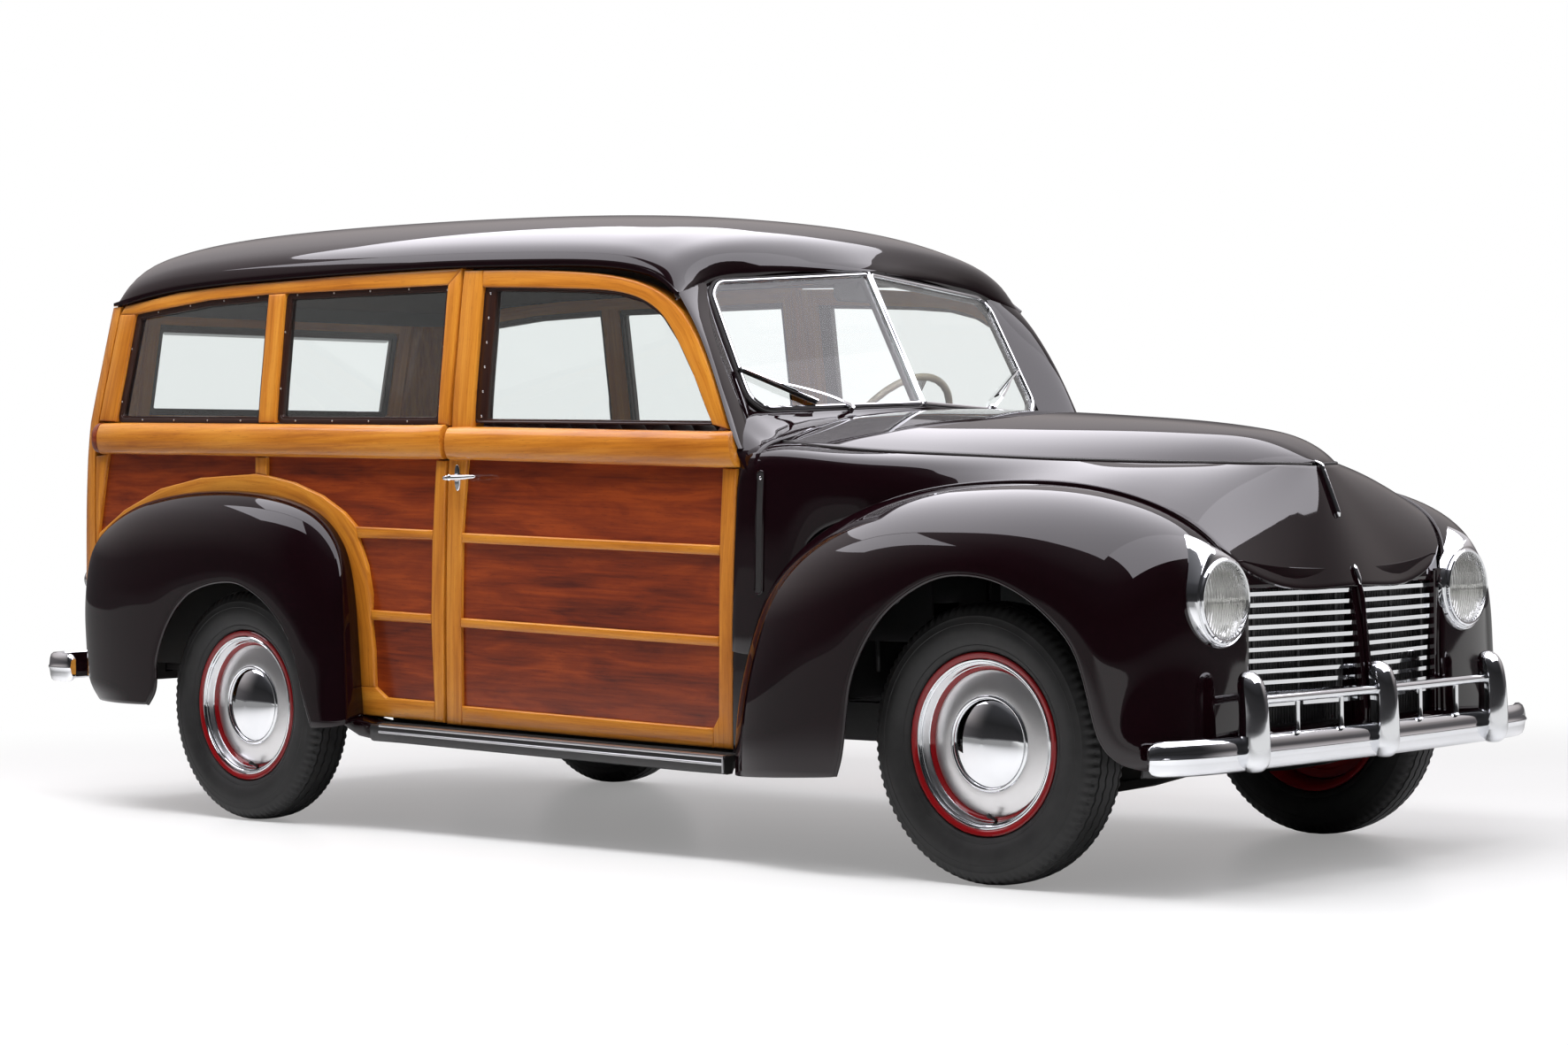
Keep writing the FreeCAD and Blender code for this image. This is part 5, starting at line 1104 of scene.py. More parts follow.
def screws(pts, d, drop, spacing=120.0, r=4.2):
    # round heads with a slot, spaced along an outline
    out = Mesh()
    pts = densify(np.array(pts, float), 6.0)
    if area2(pts) < 0:
        pts = pts[::-1].copy()
    ring = inset(pts, d)
    run, nxt = 0.0, spacing * 0.5
    for i in range(1, len(ring)):
        run += float(np.linalg.norm(ring[i] - ring[i - 1]))
        if run >= nxt:
            nxt += spacing
            x, z = ring[i]
            y = -(half_width(z, x) - drop)
            h = lathe([(0.0, r), (0.8, r), (1.6, r * 0.85), (2.1, r * 0.5), (2.3, 0.6)], 10, (x, y, z), (0, -1, 0))
            out.join(h)
            a = rng.uniform(0, math.pi)
            dx, dz = math.cos(a) * r * 0.8, math.sin(a) * r * 0.8
            nx, nz = -math.sin(a) * 0.5, math.cos(a) * 0.5
            out.add([(x - dx - nx, y - 2.35, z - dz - nz), (x + dx - nx, y - 2.1, z + dz - nz), (x + dx + nx, y - 2.1, z + dz + nz), (x - dx + nx, y - 2.35, z - dz + nz)],
                    [(0, 1, 2, 3)])
    return out


door_inner = ringed(DOOR_WIN, SLIM, side(0.0))
door_seal = ringed(DOOR_WIN, SLIM_CH, side(0.0))
# inner uprights of the door window: wider on the pillar side
door_inner.join(member([(-1789, 1150), (-1789, 1528), (-1742, 1526), (-1742, 1150)], [(-1765, 1150), (-1765, 1528)], -14.0, 24.0, 2.0))
door_glass = plate(inset(densify(DOOR_WIN, 20.0) if area2(DOOR_WIN) > 0 else densify(DOOR_WIN, 20.0)[::-1].copy(), 4.0), side(-21.0), 5.0, 0.5, 1, None, 24.0, 60.0)
door_screws = Mesh()
for _z in np.linspace(1168.0, 1508.0, 6):
    _h = lathe([(0.0, 3.4), (0.7, 3.4), (1.4, 2.8), (1.9, 1.6), (2.1, 0.4)], 10, (-1765.0, -(half_width(_z, -1765.0) + 14.0 - 28.4), _z), (0, -1, 0))
    door_screws.join(_h)

# room side of the door: a plain board with a grab strap and a crank
door_lining = member([(-1850, 380), (-1800, 1040), (-860, 1005), (-895, 370)], [(-1850, 700), (-860, 690)], -36.0, 6.0, 2.0)


def handle():
    # lever on a round-ended plate, at the rear edge of the door
    x, z = -1842.0, 1000.0
    y = -(half_width(z, x) + 0.5)
    m = Mesh()
    plate_o = []
    for i in range(32):
        a = 2 * math.pi * i / 32
        c, s = math.cos(a), math.sin(a)
        plate_o.append((x + 11.5 * math.copysign(abs(c) ** 0.85, c), z + 37.0 * math.copysign(abs(s) ** 0.95, s)))
    m.join(plate(np.array(plate_o), lambda px, pz, drop: (px, y - 5.0 + drop, pz), 6.0, 3.0, 4, None, 8.0, 9.0))
    m.join(lathe([(0.0, 10.5), (8.0, 9.5), (16.0, 8.0), (22.0, 7.6), (27.0, 9.0), (31.0, 9.0), (34.0, 6.5), (35.0, 2.0), (35.1, 0.2)], 24, (x, y - 4.0, z), (0, -1, 0)))
    path = [(x - 34.0, y - 27.0, z - 1.0), (x - 16.0, y - 29.0, z - 0.5), (x, y - 30.0, z), (x + 40.0, y - 31.0, z), (x + 78.0, y - 32.0, z + 1.0), (x + 104.0, y - 31.0, z + 1.5)]
    p = curve(path, 6)
    n = len(p)
    sc = []
    for i in range(n):
        t = i / (n - 1)
        body = 0.62 + 0.38 * math.sin(math.pi * min(1.0, t * 1.15)) ** 0.8
        tip = min(1.0, (1 - t) * 14 + 0.05) ** 0.5 * min(1.0, t * 14 + 0.05) ** 0.5
        sc.append((body * tip * (0.7 if 0.22 < t < 0.34 else 1.0), body * tip))
    m.join(sweep(p, circle(6.2, 16, 8.2), False, (0, 0, 1), 0, sc))
    return m


door_handle = handle()


def inner_handle():
    x, z = -1790.0, 900.0
    y = -(half_width(z, x) - 42.0)
    m = lathe([(0.0, 16.0), (4.0, 15.5), (7.0, 11.0), (18.0, 8.0), (24.0, 8.0), (28.0, 5.0), (29.0, 0.3)], 20, (x, y, z), (0, 1, 0))
    m.join(tube(curve([(x, y + 22.0, z), (x + 30.0, y + 26.0, z - 4.0), (x + 75.0, y + 24.0, z - 10.0)], 5), 5.5, 10, round_ends=True))
    x, z = -1440.0, 800.0
    y = -(half_width(z, x) - 42.0)
    m.join(lathe([(0.0, 16.0), (4.0, 15.5), (7.0, 11.0), (20.0, 8.0), (26.0, 7.0), (27.0, 0.3)], 20, (x, y, z), (0, 1, 0)))
    m.join(tube(curve([(x, y + 22.0, z), (x + 30.0, y + 26.0, z - 30.0), (x + 60.0, y + 26.0, z - 62.0)], 5), 5.0, 10, round_ends=True))
    m.join(lathe([(0.0, 5.0), (3.0, 9.0), (12.0, 10.0), (20.0, 8.5), (24.0, 4.0), (24.5, 0.2)], 16, (x + 60.0, y + 28.0, z - 62.0), (0, 1, 0)))
    return m


door_controls = inner_handle()
for sd in ("right", "left"):
    def s_(m, sd=sd):
        return m if sd == "right" else m.mirrored()
    s_(door).make("door_members_" + sd, ASH, "door_" + sd, "ash", replaces=("door_frame_" + sd,))
    s_(door_panels).make("door_boards_" + sd, MAHOGANY, "door_" + sd, "mahogany", replaces=("door_panels_" + sd,))
    s_(door_inner).make("door_window_frame_" + sd, DARKWOOD, "door_" + sd, "mahogany")
    s_(door_seal).make("door_window_channel_" + sd, DARKWOOD, "door_" + sd, "mahogany")
    s_(door_glass).make("door_pane_" + sd, GLASS, "door_" + sd, "glass", replaces=("door_glass_" + sd,))
    s_(door_screws).make("door_screws_" + sd, CHROME, "door_" + sd)
    s_(door_lining).make("door_lining_" + sd, LEATHER, "door_" + sd, "seat")
    s_(door_handle).make("door_handle_" + sd, CHROME, "door_" + sd, "chrome")
    s_(door_controls).make("door_inner_controls_" + sd, CHROME, "door_" + sd, "chrome")

# quarter side
TOP_OUT = [(-3464, 1530), (-3440, 1556), (-3170, 1584), (-2899, 1592), (-2679, 1591), (-2395, 1592), (-1959, 1586), (-1878, 1584)]
TOP_IN = [(-1930, 1540), (-2647, 1553), (-2724, 1555), (-3025, 1552), (-3384, 1527)]
ARCH_OUT = [(-3530, 848), (-3390, 921), (-3201, 985), (-3002, 1015), (-2770, 1022), (-2736, 1024), (-2682, 1018), (-2559, 996), (-2430, 956),
            (-2332, 907), (-2280, 866), (-2273, 833), (-2237, 755), (-2221, 674), (-2224, 628), (-2226, 599), (-2219, 513), (-2221, 408)]
ARCH_IN = [(-2284, 408), (-2284, 440), (-2300, 560), (-2330, 690), (-2400, 800), (-2510, 880), (-2640, 915), (-2760, 926), (-2900, 926), (-3090, 915),
           (-3250, 885), (-3390, 830), (-3500, 752), (-3545, 690)]
ARCH_MID = [(-3540, 770), (-3445, 850), (-3300, 920), (-3140, 960), (-3000, 978), (-2830, 985), (-2650, 972), (-2530, 945), (-2410, 885), (-2330, 800), (-2270, 690), (-2250, 560), (-2252, 408)]
quarter = Mesh()
for pts, line in (
        (TOP_OUT + TOP_IN, [(-3464, 1530), (-3300, 1555), (-3025, 1571), (-2700, 1574), (-2300, 1570), (-1900, 1562)]),
        ([(-3527, 1199), (-3464, 1530), (-3384, 1527), (-3440, 1195)], [(-3484, 1195), (-3424, 1530)]),
        ([(-2724, 1555), (-2723, 1174), (-2644, 1172), (-2647, 1553)], [(-2684, 1172), (-2685, 1555)]),
        ([(-1930, 1540), (-1929, 1152), (-1882, 1145), (-1878, 1584)], [(-1905, 1145), (-1903, 1584)]),
        ([(-1893, 1047), (-1937, 316), (-1975, 317), (-1971, 374), (-1970, 593), (-1968, 620), (-1955, 828), (-1951, 855), (-1934, 1050)], [(-1955, 316), (-1912, 1050)]),
        (ARCH_OUT + ARCH_IN, ARCH_MID),
        ([(-2736, 1073), (-2736, 1024), (-2682, 1018), (-2682, 1071)], [(-2709, 1020), (-2709, 1075)]),
        ([(-2280, 866), (-1951, 855), (-1955, 828), (-2273, 833)], [(-2280, 850), (-1951, 841)]),
        ([(-2224, 628), (-1968, 620), (-1970, 593), (-2226, 599)], [(-2224, 613), (-1968, 606)]),
        ([(-1975, 317), (-1971, 374), (-2176, 379), (-2221, 408), (-2284, 408), (-2284, 326)], [(-2284, 350), (-1970, 346)]),
        ([(-3545, 690), (-3540, 1090), (-3474, 1096), (-3530, 848)], [(-3535, 690), (-3507, 1096)])):
    quarter.join(member(pts, line))
quarter.join(belt(-3500.0, 1097.0, 1194.0, -1893.0, 1050.0, 1146.0))
Q_A = [(-3474, 1096), (-2736, 1073), (-2736, 1024), (-2770, 1022), (-3002, 1015), (-3201, 985), (-3390, 921), (-3530, 848)]
Q_B1 = [(-2682, 1071), (-1934, 1050), (-1951, 855), (-2280, 866), (-2332, 907), (-2430, 956), (-2559, 996), (-2682, 1018)]
Q_B2 = [(-2273, 833), (-1955, 828), (-1968, 620), (-2224, 628), (-2221, 674), (-2237, 755)]
Q_B3 = [(-2226, 599), (-1970, 593), (-1971, 374), (-2176, 379), (-2221, 408), (-2219, 513)]
quarter_boards = Mesh()
for pts, line in ((Q_A, [(-3500, 1010), (-2736, 1005)]), (Q_B1, [(-2682, 965), (-1940, 950)]), (Q_B2, [(-2273, 735), (-1955, 725)]), (Q_B3, [(-2226, 495), (-1970, 485)])):
    quarter_boards.join(plate(grow(pts, 5.0), side(-12.0), 16.0, 0.6, 1, line, 30.0, 44.0))
quarter_inner = ringed(Q_WIN2, INNER, side(0.0)).join(ringed(Q_WIN1, INNER, side(0.0)))
quarter_seal = ringed(Q_WIN2, CHANNEL, side(0.0)).join(ringed(Q_WIN1, CHANNEL, side(0.0)))
quarter_screws = screws(Q_WIN2, 5.5, 10.6, 165.0, 3.0).join(screws(Q_WIN1, 5.5, 10.6, 165.0, 3.0))
quarter_glass = Mesh()
for w in (Q_WIN2, Q_WIN1):
    p = densify(w, 20.0)
    p = p if area2(p) > 0 else p[::-1].copy()
    quarter_glass.join(plate(inset(p, 12.0), side(-21.0), 5.0, 0.5, 1, None, 24.0, 60.0))
quarter.both().make("quarter_members", ASH, "body", "ash", replaces=("quarter_frames",))
quarter_boards.both().make("quarter_boards", MAHOGANY, "body", "mahogany", replaces=("quarter_panels",))
quarter_inner.both().make("quarter_window_frames", DARKWOOD, "body", "mahogany")
quarter_seal.both().make("quarter_window_channels", DARKWOOD, "body", "mahogany")
quarter_screws.both().make("quarter_window_screws", SATIN, "body")

# belt end caps at the rear corners
cap = Mesh()
secs = []
for k in range(9):
    t = k / 8.0
    a = math.radians(90.0 * t)
    x = -3500.0 - 44.0 * math.sin(a)
    f = math.cos(a) ** 0.55 if k < 8 else 0.12
    zc, hz = 1145.5, 48.5 * (0.25 + 0.75 * f)
    sec = []
    for i in range(17):
        b = -90 + 180 * i / 16.0
        z = zc + hz * math.sin(math.radians(b))
        c = abs(math.cos(math.radians(b))) ** 0.7
        sec.append((x, -(half_width(z, x) - 4 + (31.0 * f) * c), z))
    for s in (1, -1):
        sec.append((x, -(half_width(zc, x) - 20), zc + s * hz))
    secs.append(sec)
cap = skin(secs)
cap.both().make("belt_end_caps", MAHOGANY, "body", "mahogany")


# rear corner posts, rails, tailgate and liftgate
def corner_sections():
    secs = []
    for z in np.linspace(400.0, 1554.0, 40):
        xr = rear_x(z)
        xs = lin([300.0, 690.0, 1090.0, 1199.0, 1530.0, 1600.0], [-3562.0, -3548.0, -3543.0, -3530.0, -3467.0, -3454.0], z)
        hw = half_width(z, xs)
        sec = []
        for i in range(17):
            a = math.radians(90.0 * i / 16.0)
            ex = 2.0 / 2.3
            sec.append((xs + (xr - xs) * math.sin(a) ** ex, -(600.0 + (hw - 600.0) * math.cos(a) ** ex), z))
        sec += [(xr + 1.5, -559.5, z), (xr + 5.0, -558.0, z), (xr + 45.0, -558.0, z), (xr + 45.0, -600.0, z), (xs - 1.0, -(hw - 45.0), z)]
        secs.append(sec)
    return secs


post = skin(corner_sections())
post.g = [(v[2] / 1000 + 11.0, v[1] / 1000 * 0.8, v[0] / 1000) for v in post.v]
rear_wood = post.both()
for za, zb in ((500.0, 592.0), (1544.0, 1554.0)):
    rear_wood.join(member([(-558, za), (558, za), (558, zb), (-558, zb)], [(-558, (za + zb) / 2), (558, (za + zb) / 2)], 0, 42.0, min(4.0, (zb - za) * 0.3), where_=back(0.0)))
rear_wood.make("rear_posts_and_rails", ASH, "body", "ash", replaces=("rear_frame",))
# dark trim inside, over the joint between the rear wall and the roof lining
_hp = [(-3380.0, -648.0), (-3452.0, -648.0), (-3474.0, -638.0), (-3494.0, -612.0), (-3509.0, -585.0), (-3514.0, -553.0), (-3514.0, -300.0), (-3514.0, 0.0)]
_hp += [(x, -y) for x, y in reversed(_hp[:-1])]
_hr = []
for k, (x, y) in enumerate(_hp):
    xa, ya = _hp[max(0, k - 1)]
    xb, yb = _hp[min(len(_hp) - 1, k + 1)]
    ln = math.hypot(xb - xa, yb - ya)
    nx, ny = (yb - ya) / ln * 8.0, -(xb - xa) / ln * 8.0
    _hr.append([(x, y, 1580.0), (x + nx * 0.7, y + ny * 0.7, 1580.0), (x + nx, y + ny, 1577.0), (x + nx, y + ny, 1537.0), (x + nx * 0.7, y + ny * 0.7, 1534.0), (x, y, 1534.0)])
skin(_hr).make("rear_header_trim", DARK, "body")

gate = Mesh()
for pts, line in (([(-552, 598), (-552, 1184), (-500, 1184), (-500, 598)], [(-526, 598), (-526, 1184)]),
                  ([(500, 598), (500, 1184), (552, 1184), (552, 598)], [(526, 598), (526, 1184)]),
                  ([(-500, 598), (-500, 640), (500, 640), (500, 598)], [(-500, 619), (500, 619)]),
                  ([(-500, 860), (-500, 888), (500, 888), (500, 860)], [(-500, 874), (500, 874)]),
                  ([(-14, 640), (-14, 860), (14, 860), (14, 640)], [(0, 640), (0, 860)]),
                  ([(-14, 888), (-14, 1100), (14, 1100), (14, 888)], [(0, 888), (0, 1100)])):
    gate.join(member(pts, line, 0, 40.0, 5.0, where_=back(0.0)))
# rounded top rail
gate.join(member([(-500, 1100), (-500, 1184), (500, 1184), (500, 1100)], [(-500, 1142), (500, 1142)], 0, 42.0, 10.0, where_=back(6.0)))
gate_boards = Mesh()
for za, zb in ((640, 860), (888, 1100)):
    for ya, yb in ((-500, -14), (14, 500)):
        gate_boards.join(plate(grow([(ya, za), (yb, za), (yb, zb), (ya, zb)], 5.0), back(-12.0), 26.0, 0.6, 1, [(ya, (za + zb) / 2), (yb, (za + zb) / 2)], 30.0, 44.0))
gate.make("tailgate_members", ASH, "tailgate", "ash", replaces=("tailgate",))
gate_boards.make("tailgate_boards", MAHOGANY, "tailgate", "mahogany")
lift = Mesh()
for pts, line in (([(-552, 1191), (-552, 1538), (-500, 1538), (-500, 1191)], [(-526, 1191), (-526, 1538)]),
                  ([(500, 1191), (500, 1538), (552, 1538), (552, 1191)], [(526, 1191), (526, 1538)]),
                  ([(-500, 1191), (-500, 1222), (500, 1222), (500, 1191)], [(-500, 1206), (500, 1206)]),
                  ([(-500, 1508), (-500, 1538), (500, 1538), (500, 1508)], [(-500, 1523), (500, 1523)])):
    lift.join(member(pts, line, 0, 42.0, 4.0, where_=back(0.0)))
lift.make("liftgate_members", ASH, "liftgate", "ash", replaces=("liftgate",))
LIFT_WIN = round_corners([(-500, 1222), (500, 1222), (500, 1508), (-500, 1508)], 26)
ringed(LIFT_WIN, [(-3.0, 8.0), (-3.0, 34.0), (16.0, 34.0), (16.0, 12.0), (13.0, 8.0)], back(0.0)).make("liftgate_window_frame", DARKWOOD, "liftgate", "mahogany")
ringed(LIFT_WIN, [(16.0, 11.0), (16.0, 30.0), (22.0, 30.0), (22.5, 15.0), (20.0, 11.0)], back(0.0)).make("liftgate_window_channel", DARKWOOD, "liftgate", "mahogany")
p = densify(LIFT_WIN, 20.0)
p = p if area2(p) > 0 else p[::-1].copy()
plate(inset(p, 14.0), back(-18.0), 5.0, 0.5, 1, None, 24.0, 60.0).make("liftgate_pane", GLASS, "liftgate", "glass", replaces=("liftgate_glass",))


# -------------------------------------------------------------------- camera
_f, _yaw, _pitch, _roll, _cx, _cy, _cz = 3620.0172, 2.3053, 0.0079, -0.0123, 4.7699, -6.7471, 0.9348
_fwd = np.array([math.cos(_yaw) * math.cos(_pitch), math.sin(_yaw) * math.cos(_pitch), -math.sin(_pitch)])
_right = np.cross(_fwd, [0, 0, 1.0])
_right /= np.linalg.norm(_right)
_up = np.cross(_right, _fwd)
_r2 = math.cos(_roll) * _right + math.sin(_roll) * _up
_u2 = -math.sin(_roll) * _right + math.cos(_roll) * _up
cam_data = bpy.data.cameras.new("photo_camera")
cam = bpy.data.objects.new("photo_camera", cam_data)
bpy.context.scene.collection.objects.link(cam)
cam_data.sensor_width = 36.0
cam_data.lens = _f * 36.0 / 1772.0
cam_data.clip_start, cam_data.clip_end = 0.1, 200.0
cam.matrix_world = Matrix(((_r2[0], _u2[0], -_fwd[0], _cx + SHIFT / 1000), (_r2[1], _u2[1], -_fwd[1], _cy), (_r2[2], _u2[2], -_fwd[2], _cz), (0, 0, 0, 1)))
bpy.context.scene.camera = cam
EYE = np.array([_cx, _cy, _cz]) * 1000.0


def sight(px, py):
    # direction of the line of sight through a point of the picture
    d = _fwd * _f + _r2 * (px - 886.0) - _u2 * (py - 590.5)
    return d / np.linalg.norm(d)


def on_plane(px, py, point, normal):
    d = sight(px, py)
    n = np.array(normal, float)
    t = (np.array(point, float) - EYE).dot(n) / d.dot(n)
    return EYE + d * t


def bvh_of(*grids):
    verts, faces = [], []
    for g in grids:
        k = len(verts)
        verts += [tuple(p) for p in g.reshape(-1, 3)]
        faces += [tuple(i + k for i in f) for f in grid_faces(g.shape[0], g.shape[1])]
    return BVHTree.FromPolygons([Vector(v) for v in verts], faces)


FRONT_BVH = bvh_of(FRONT)
BODY_BVH = bvh_of(FRONT, NOSE)


# -------------------------------------------------------------------- wheels
def tyre_profile():
    h = [(46.0, 206.0), (48.6, 211.0), (49.0, 221.0), (55.0, 223.0), (60.5, 226.0), (64.0, 230.5), (66.5, 236.5), (66.2, 238.5), (69.5, 243.5), (72.6, 249.5),
         (74.8, 256.0), (76.8, 263.5), (77.9, 271.0), (77.9, 277.0), (77.2, 283.0), (76.0, 289.0), (76.7, 290.2), (75.6, 293.5), (74.6, 299.0), (72.8, 305.0), (72.9, 307.0),
         (70.3, 312.0), (68.4, 316.5), (66.6, 320.0), (64.6, 324.0), (61.8, 328.0), (57.6, 331.6), (52.4, 334.4), (47.0, 336.2), (41.5, 337.2),
         (40.2, 331.0), (36.6, 331.0), (35.4, 338.0), (27.0, 339.0), (17.4, 339.6), (16.2, 332.6), (12.6, 332.6), (11.4, 339.9), (4.0, 340.0)]
    return h + [(-u, r) for u, r in reversed(h)]


TYRE_P = tyre_profile()
NH = len(TYRE_P) // 2


def tyre_wobble(i, j, u, v):
    k = j if j < NH else 2 * NH - 1 - j
    du = dv = 0.0
    if k >= 29:
        w = abs((i % 6) - 3) / 3.0 - 0.5
        du = w * 4.6
    if 24 <= k <= 28 and i % 4 < 2:
        dv = -4.2
    if 22 <= k <= 23 and i % 4 < 2:
        dv = -2.0
    return du, dv


def wheel_at(x, y, s, name_end, body):
    o, ax = (x, y, AH), (0, s, 0)
    t = lathe(TYRE_P, 360, o, ax, close=True, wobble=tyre_wobble)
    t.make("tread_and_sidewall_" + name_end, TYRE, body, "tyre", sharp=30.0, replaces=("tyre_" + name_end,))
    m = Mesh()
    rim = [(50, 203.6), (50.6, 212), (52, 218.8), (54.6, 220.6), (57.6, 219.9), (59.4, 217), (59.2, 213.6), (58.2, 209), (54, 203.6), (48, 200), (34, 192), (14, 188), (-14, 191), (-46, 197),
           (-54, 203), (-58.5, 212), (-58.8, 217), (-57, 219.8), (-54, 220.4), (-51, 216), (-50, 203.6)]
    m.join(lathe(rim, 128, o, ax, 0, close=True))
    trim = [(53.0, 204.2), (56.0, 203.6), (57.4, 201.2), (56.8, 198.6), (54.0, 197.0), (50.6, 196.0), (49.4, 194.4), (50.4, 192.8), (50.2, 191.0), (47.0, 189.6), (41.0, 188.4),
            (34.0, 187.4), (29.4, 186.6), (28.0, 185.4), (25.0, 187.0), (36.0, 191.0), (48.0, 199.0)]
    m.join(lathe(trim, 160, o, ax, 1, close=True))
    inner = [(28.6, 187.6), (26.0, 185.0), (22.6, 182.0), (19.0, 178.6), (17.0, 175.0), (15.0, 170.0), (6.0, 166.0), (-4.0, 166.0), (-6.0, 188.0), (20.0, 191.0)]
    m.join(lathe(inner, 128, o, ax, 0, close=True))
    disc = [(15.0, 174.0), (17.6, 175.8), (19.8, 175.0), (21.4, 171.0), (24.2, 160.0), (27.4, 148.0), (30.2, 134.0), (31.6, 124.0), (31.6, 118.0), (29.6, 115.6), (20.0, 114.6), (18.0, 140.0), (13.0, 168.0)]
    m.join(lathe(disc, 160, o, ax, 2, close=True))
    ring = [(29.0, 117.0), (32.4, 117.4), (35.2, 115.4), (36.6, 112.0), (36.0, 109.0), (33.4, 106.4), (27.0, 106.0)]
    m.join(lathe(ring, 160, o, ax, 1, close=True))
    dome = [(30.0, 107.4), (35.0, 107.2), (37.6, 104.6), (42.6, 94.0), (48.0, 80.0), (52.6, 64.0), (56.4, 46.0), (58.8, 28.0), (60.0, 12.0), (60.3, 0.02)]
    m.join(lathe(dome, 128, o, ax, 3))
    web = [(12.0, 172.0), (2.0, 166.0), (-4.0, 150.0), (-6.0, 128.0), (-2.0, 100.0), (4.0, 64.0), (2.0, 36.0), (2.0, 22.0), (10.0, 22.0), (12.0, 60.0), (8.0, 100.0), (4.0, 128.0), (8.0, 152.0), (16.0, 168.0)]
    m.join(lathe(web, 96, o, ax, 0, close=True))
    drum = [(-10.0, 26.0), (-10.0, 110.0), (-12.0, 128.0), (-20.0, 133.0), (-24.0, 130.5), (-28.0, 133.0), (-32.0, 130.5), (-36.0, 133.0), (-40.0, 130.5), (-46.0, 134.0), (-54.0, 134.0), (-56.0, 130.0), (-56.0, 122.0), (-18.0, 118.0), (-16.0, 26.0)]
    m.join(lathe(drum, 96, o, ax, 4, close=True))
    # valve stem near the bottom of the rim
    a = math.radians(-86.0)
    px, pz = x + 183.0 * math.cos(a), AH + 183.0 * math.sin(a)
    qx, qz = x + 174.0 * math.cos(a), AH + 174.0 * math.sin(a)
    m.join(tube([(px, y + s * 14.0, pz), (px, y + s * 26.0, pz), (qx, y + s * 44.0, qz)], 4.2, 12, mat=4, round_ends=True))
    m.join(lathe([(0.0, 5.2), (2.0, 5.8), (9.0, 5.8), (11.0, 4.6), (11.6, 0.2)], 14, (qx, y + s * 44.0, qz), (-0.35 * math.cos(a), s * 0.9, -0.35 * math.sin(a)), 4))
    m.make("rim_and_cap_" + name_end, [RED, CHROME, POLISHED, MIRROR, BLACK], body, "wheel", sharp=34.0, replaces=("wheel_" + name_end,))


for fr, x, half in (("front", 0.0, FT), ("rear", -WB, RT)):
    for s, sd in ((-1, "right"), (1, "left")):
        wheel_at(x, s * half, s, fr + "_" + sd, "%s_wheel_%s" % (fr, sd))


# --------------------------------------------------------------- windscreen
SCREEN = [(-878.0, -606.0, 1166.0), (-1051.0, -586.0, 1502.0), (-997.0, -8.0, 1545.0), (-808.0, -8.0, 1188.0)]
_p = [np.array(q) for q in SCREEN]
_n = np.cross(_p[1] - _p[0], _p[2] - _p[0])
_n /= np.linalg.norm(_n)
if _n[0] > 0:
    _n = -_n
_e1 = _p[3] - _p[0]
_e1 = _e1 - _n * _e1.dot(_n)
_e1 /= np.linalg.norm(_e1)
_e2 = np.cross(_n, _e1)
if _e2[2] < 0:
    _e2 = -_e2


def screen_map(a, b, drop):
    # drop goes into the car
    q = _p[0] + _e1 * a + _e2 * b + _n * drop
    return (q[0], q[1], q[2])


SCR = [((q - _p[0]).dot(_e1), (q - _p[0]).dot(_e2)) for q in _p]
SCR = round_corners([SCR[0], SCR[3], SCR[2], SCR[1]], [62, 10, 10, 58], 9)
scr = densify(SCR, 16.0)
screen_glass = plate(inset(scr, 2.0), screen_map, 6.0, 0.5, 1, None, 24.0, 60.0)
screen_glass.both().join(quarter_glass.both()).make("windscreen_and_quarter_panes", GLASS, "body", "glass", replaces=("fixed_glass",))
bright = ringed(SCR, [(-6.5, 5.0), (-7.0, -2.0), (-5.0, -5.6), (-1.0, -7.0), (2.8, -5.6), (4.6, -2.0), (4.6, 5.0)], screen_map)
bar = curve([(-812.0, 0.0, 1182.0), (-905.0, 0.0, 1372.0), (-1002.0, 0.0, 1551.0)], 8)
bright = bright.both().join(sweep(bar, circle(7.0, 14, 10.0), False, (1, 0, 0.4)))
bright.make("windscreen_bright_frame", CHROME, "body", "chrome")
rubber_line = ringed(SCR, [(-15.0, 12.0), (-15.5, 1.0), (-12.0, -3.0), (-8.5, -2.0), (-8.5, 12.0)], screen_map)
inside_line = ringed(SCR, [(-10.0, 8.0), (8.0, 8.0), (12.0, 14.0), (8.0, 24.0), (-20.0, 28.0), (-24.0, 12.0)], screen_map)
rubber_line.both().make("windscreen_rubber", DARK, "body")
inside_line.both().make("windscreen_inner_trim", PAINT, "body", "paint")

# scuttle between the hood's rear edge and the windscreen
_by = [0.0, 150.0, 300.0, 390.0, 480.0, 560.0, 640.0, 706.0]
_bz = [1160.0, 1156.0, 1143.0, 1132.0, 1119.0, 1106.0, 1091.0, 1073.0]
rows = []
for k in range(-30, 31):
    y = 750.0 * math.copysign(abs(k / 30.0) ** 0.9, k)
    e = min(1.0, abs(y) / 606.0)
    o = max(0.0, (abs(y) - 606.0) / 144.0)
    za = lin(_by + [735.0, 748.0, 752.0], _bz + [1044.0, 1012.0, 985.0], abs(y)) - 3.0
    xa = -752.0 - 40.0 * max(0.0, 1 - (abs(y) / 640.0) ** 2)
    xb, zb = -808.0 - 70.0 * e + 12.0 + 40.0 * o, 1188.0 - 22.0 * e - 12.0 - 56.0 * o ** 1.3
    row = []
    for j in range(9):
        t = j / 8.0
        bow = 4 * t * (1 - t)
        row.append((xa + (xb - xa) * t, y, za + (zb - za) * (t ** (1.25 + 0.35 * o)) - 1.5 * bow))
    row.append((xb - 26.0 + 14.0 * o, y, zb + 4.0 - 4.0 * o))
    rows.append(row)
scuttle = shell(dense(rows, 2, 2), 5.0, (-820.0, 0.0, 700.0))
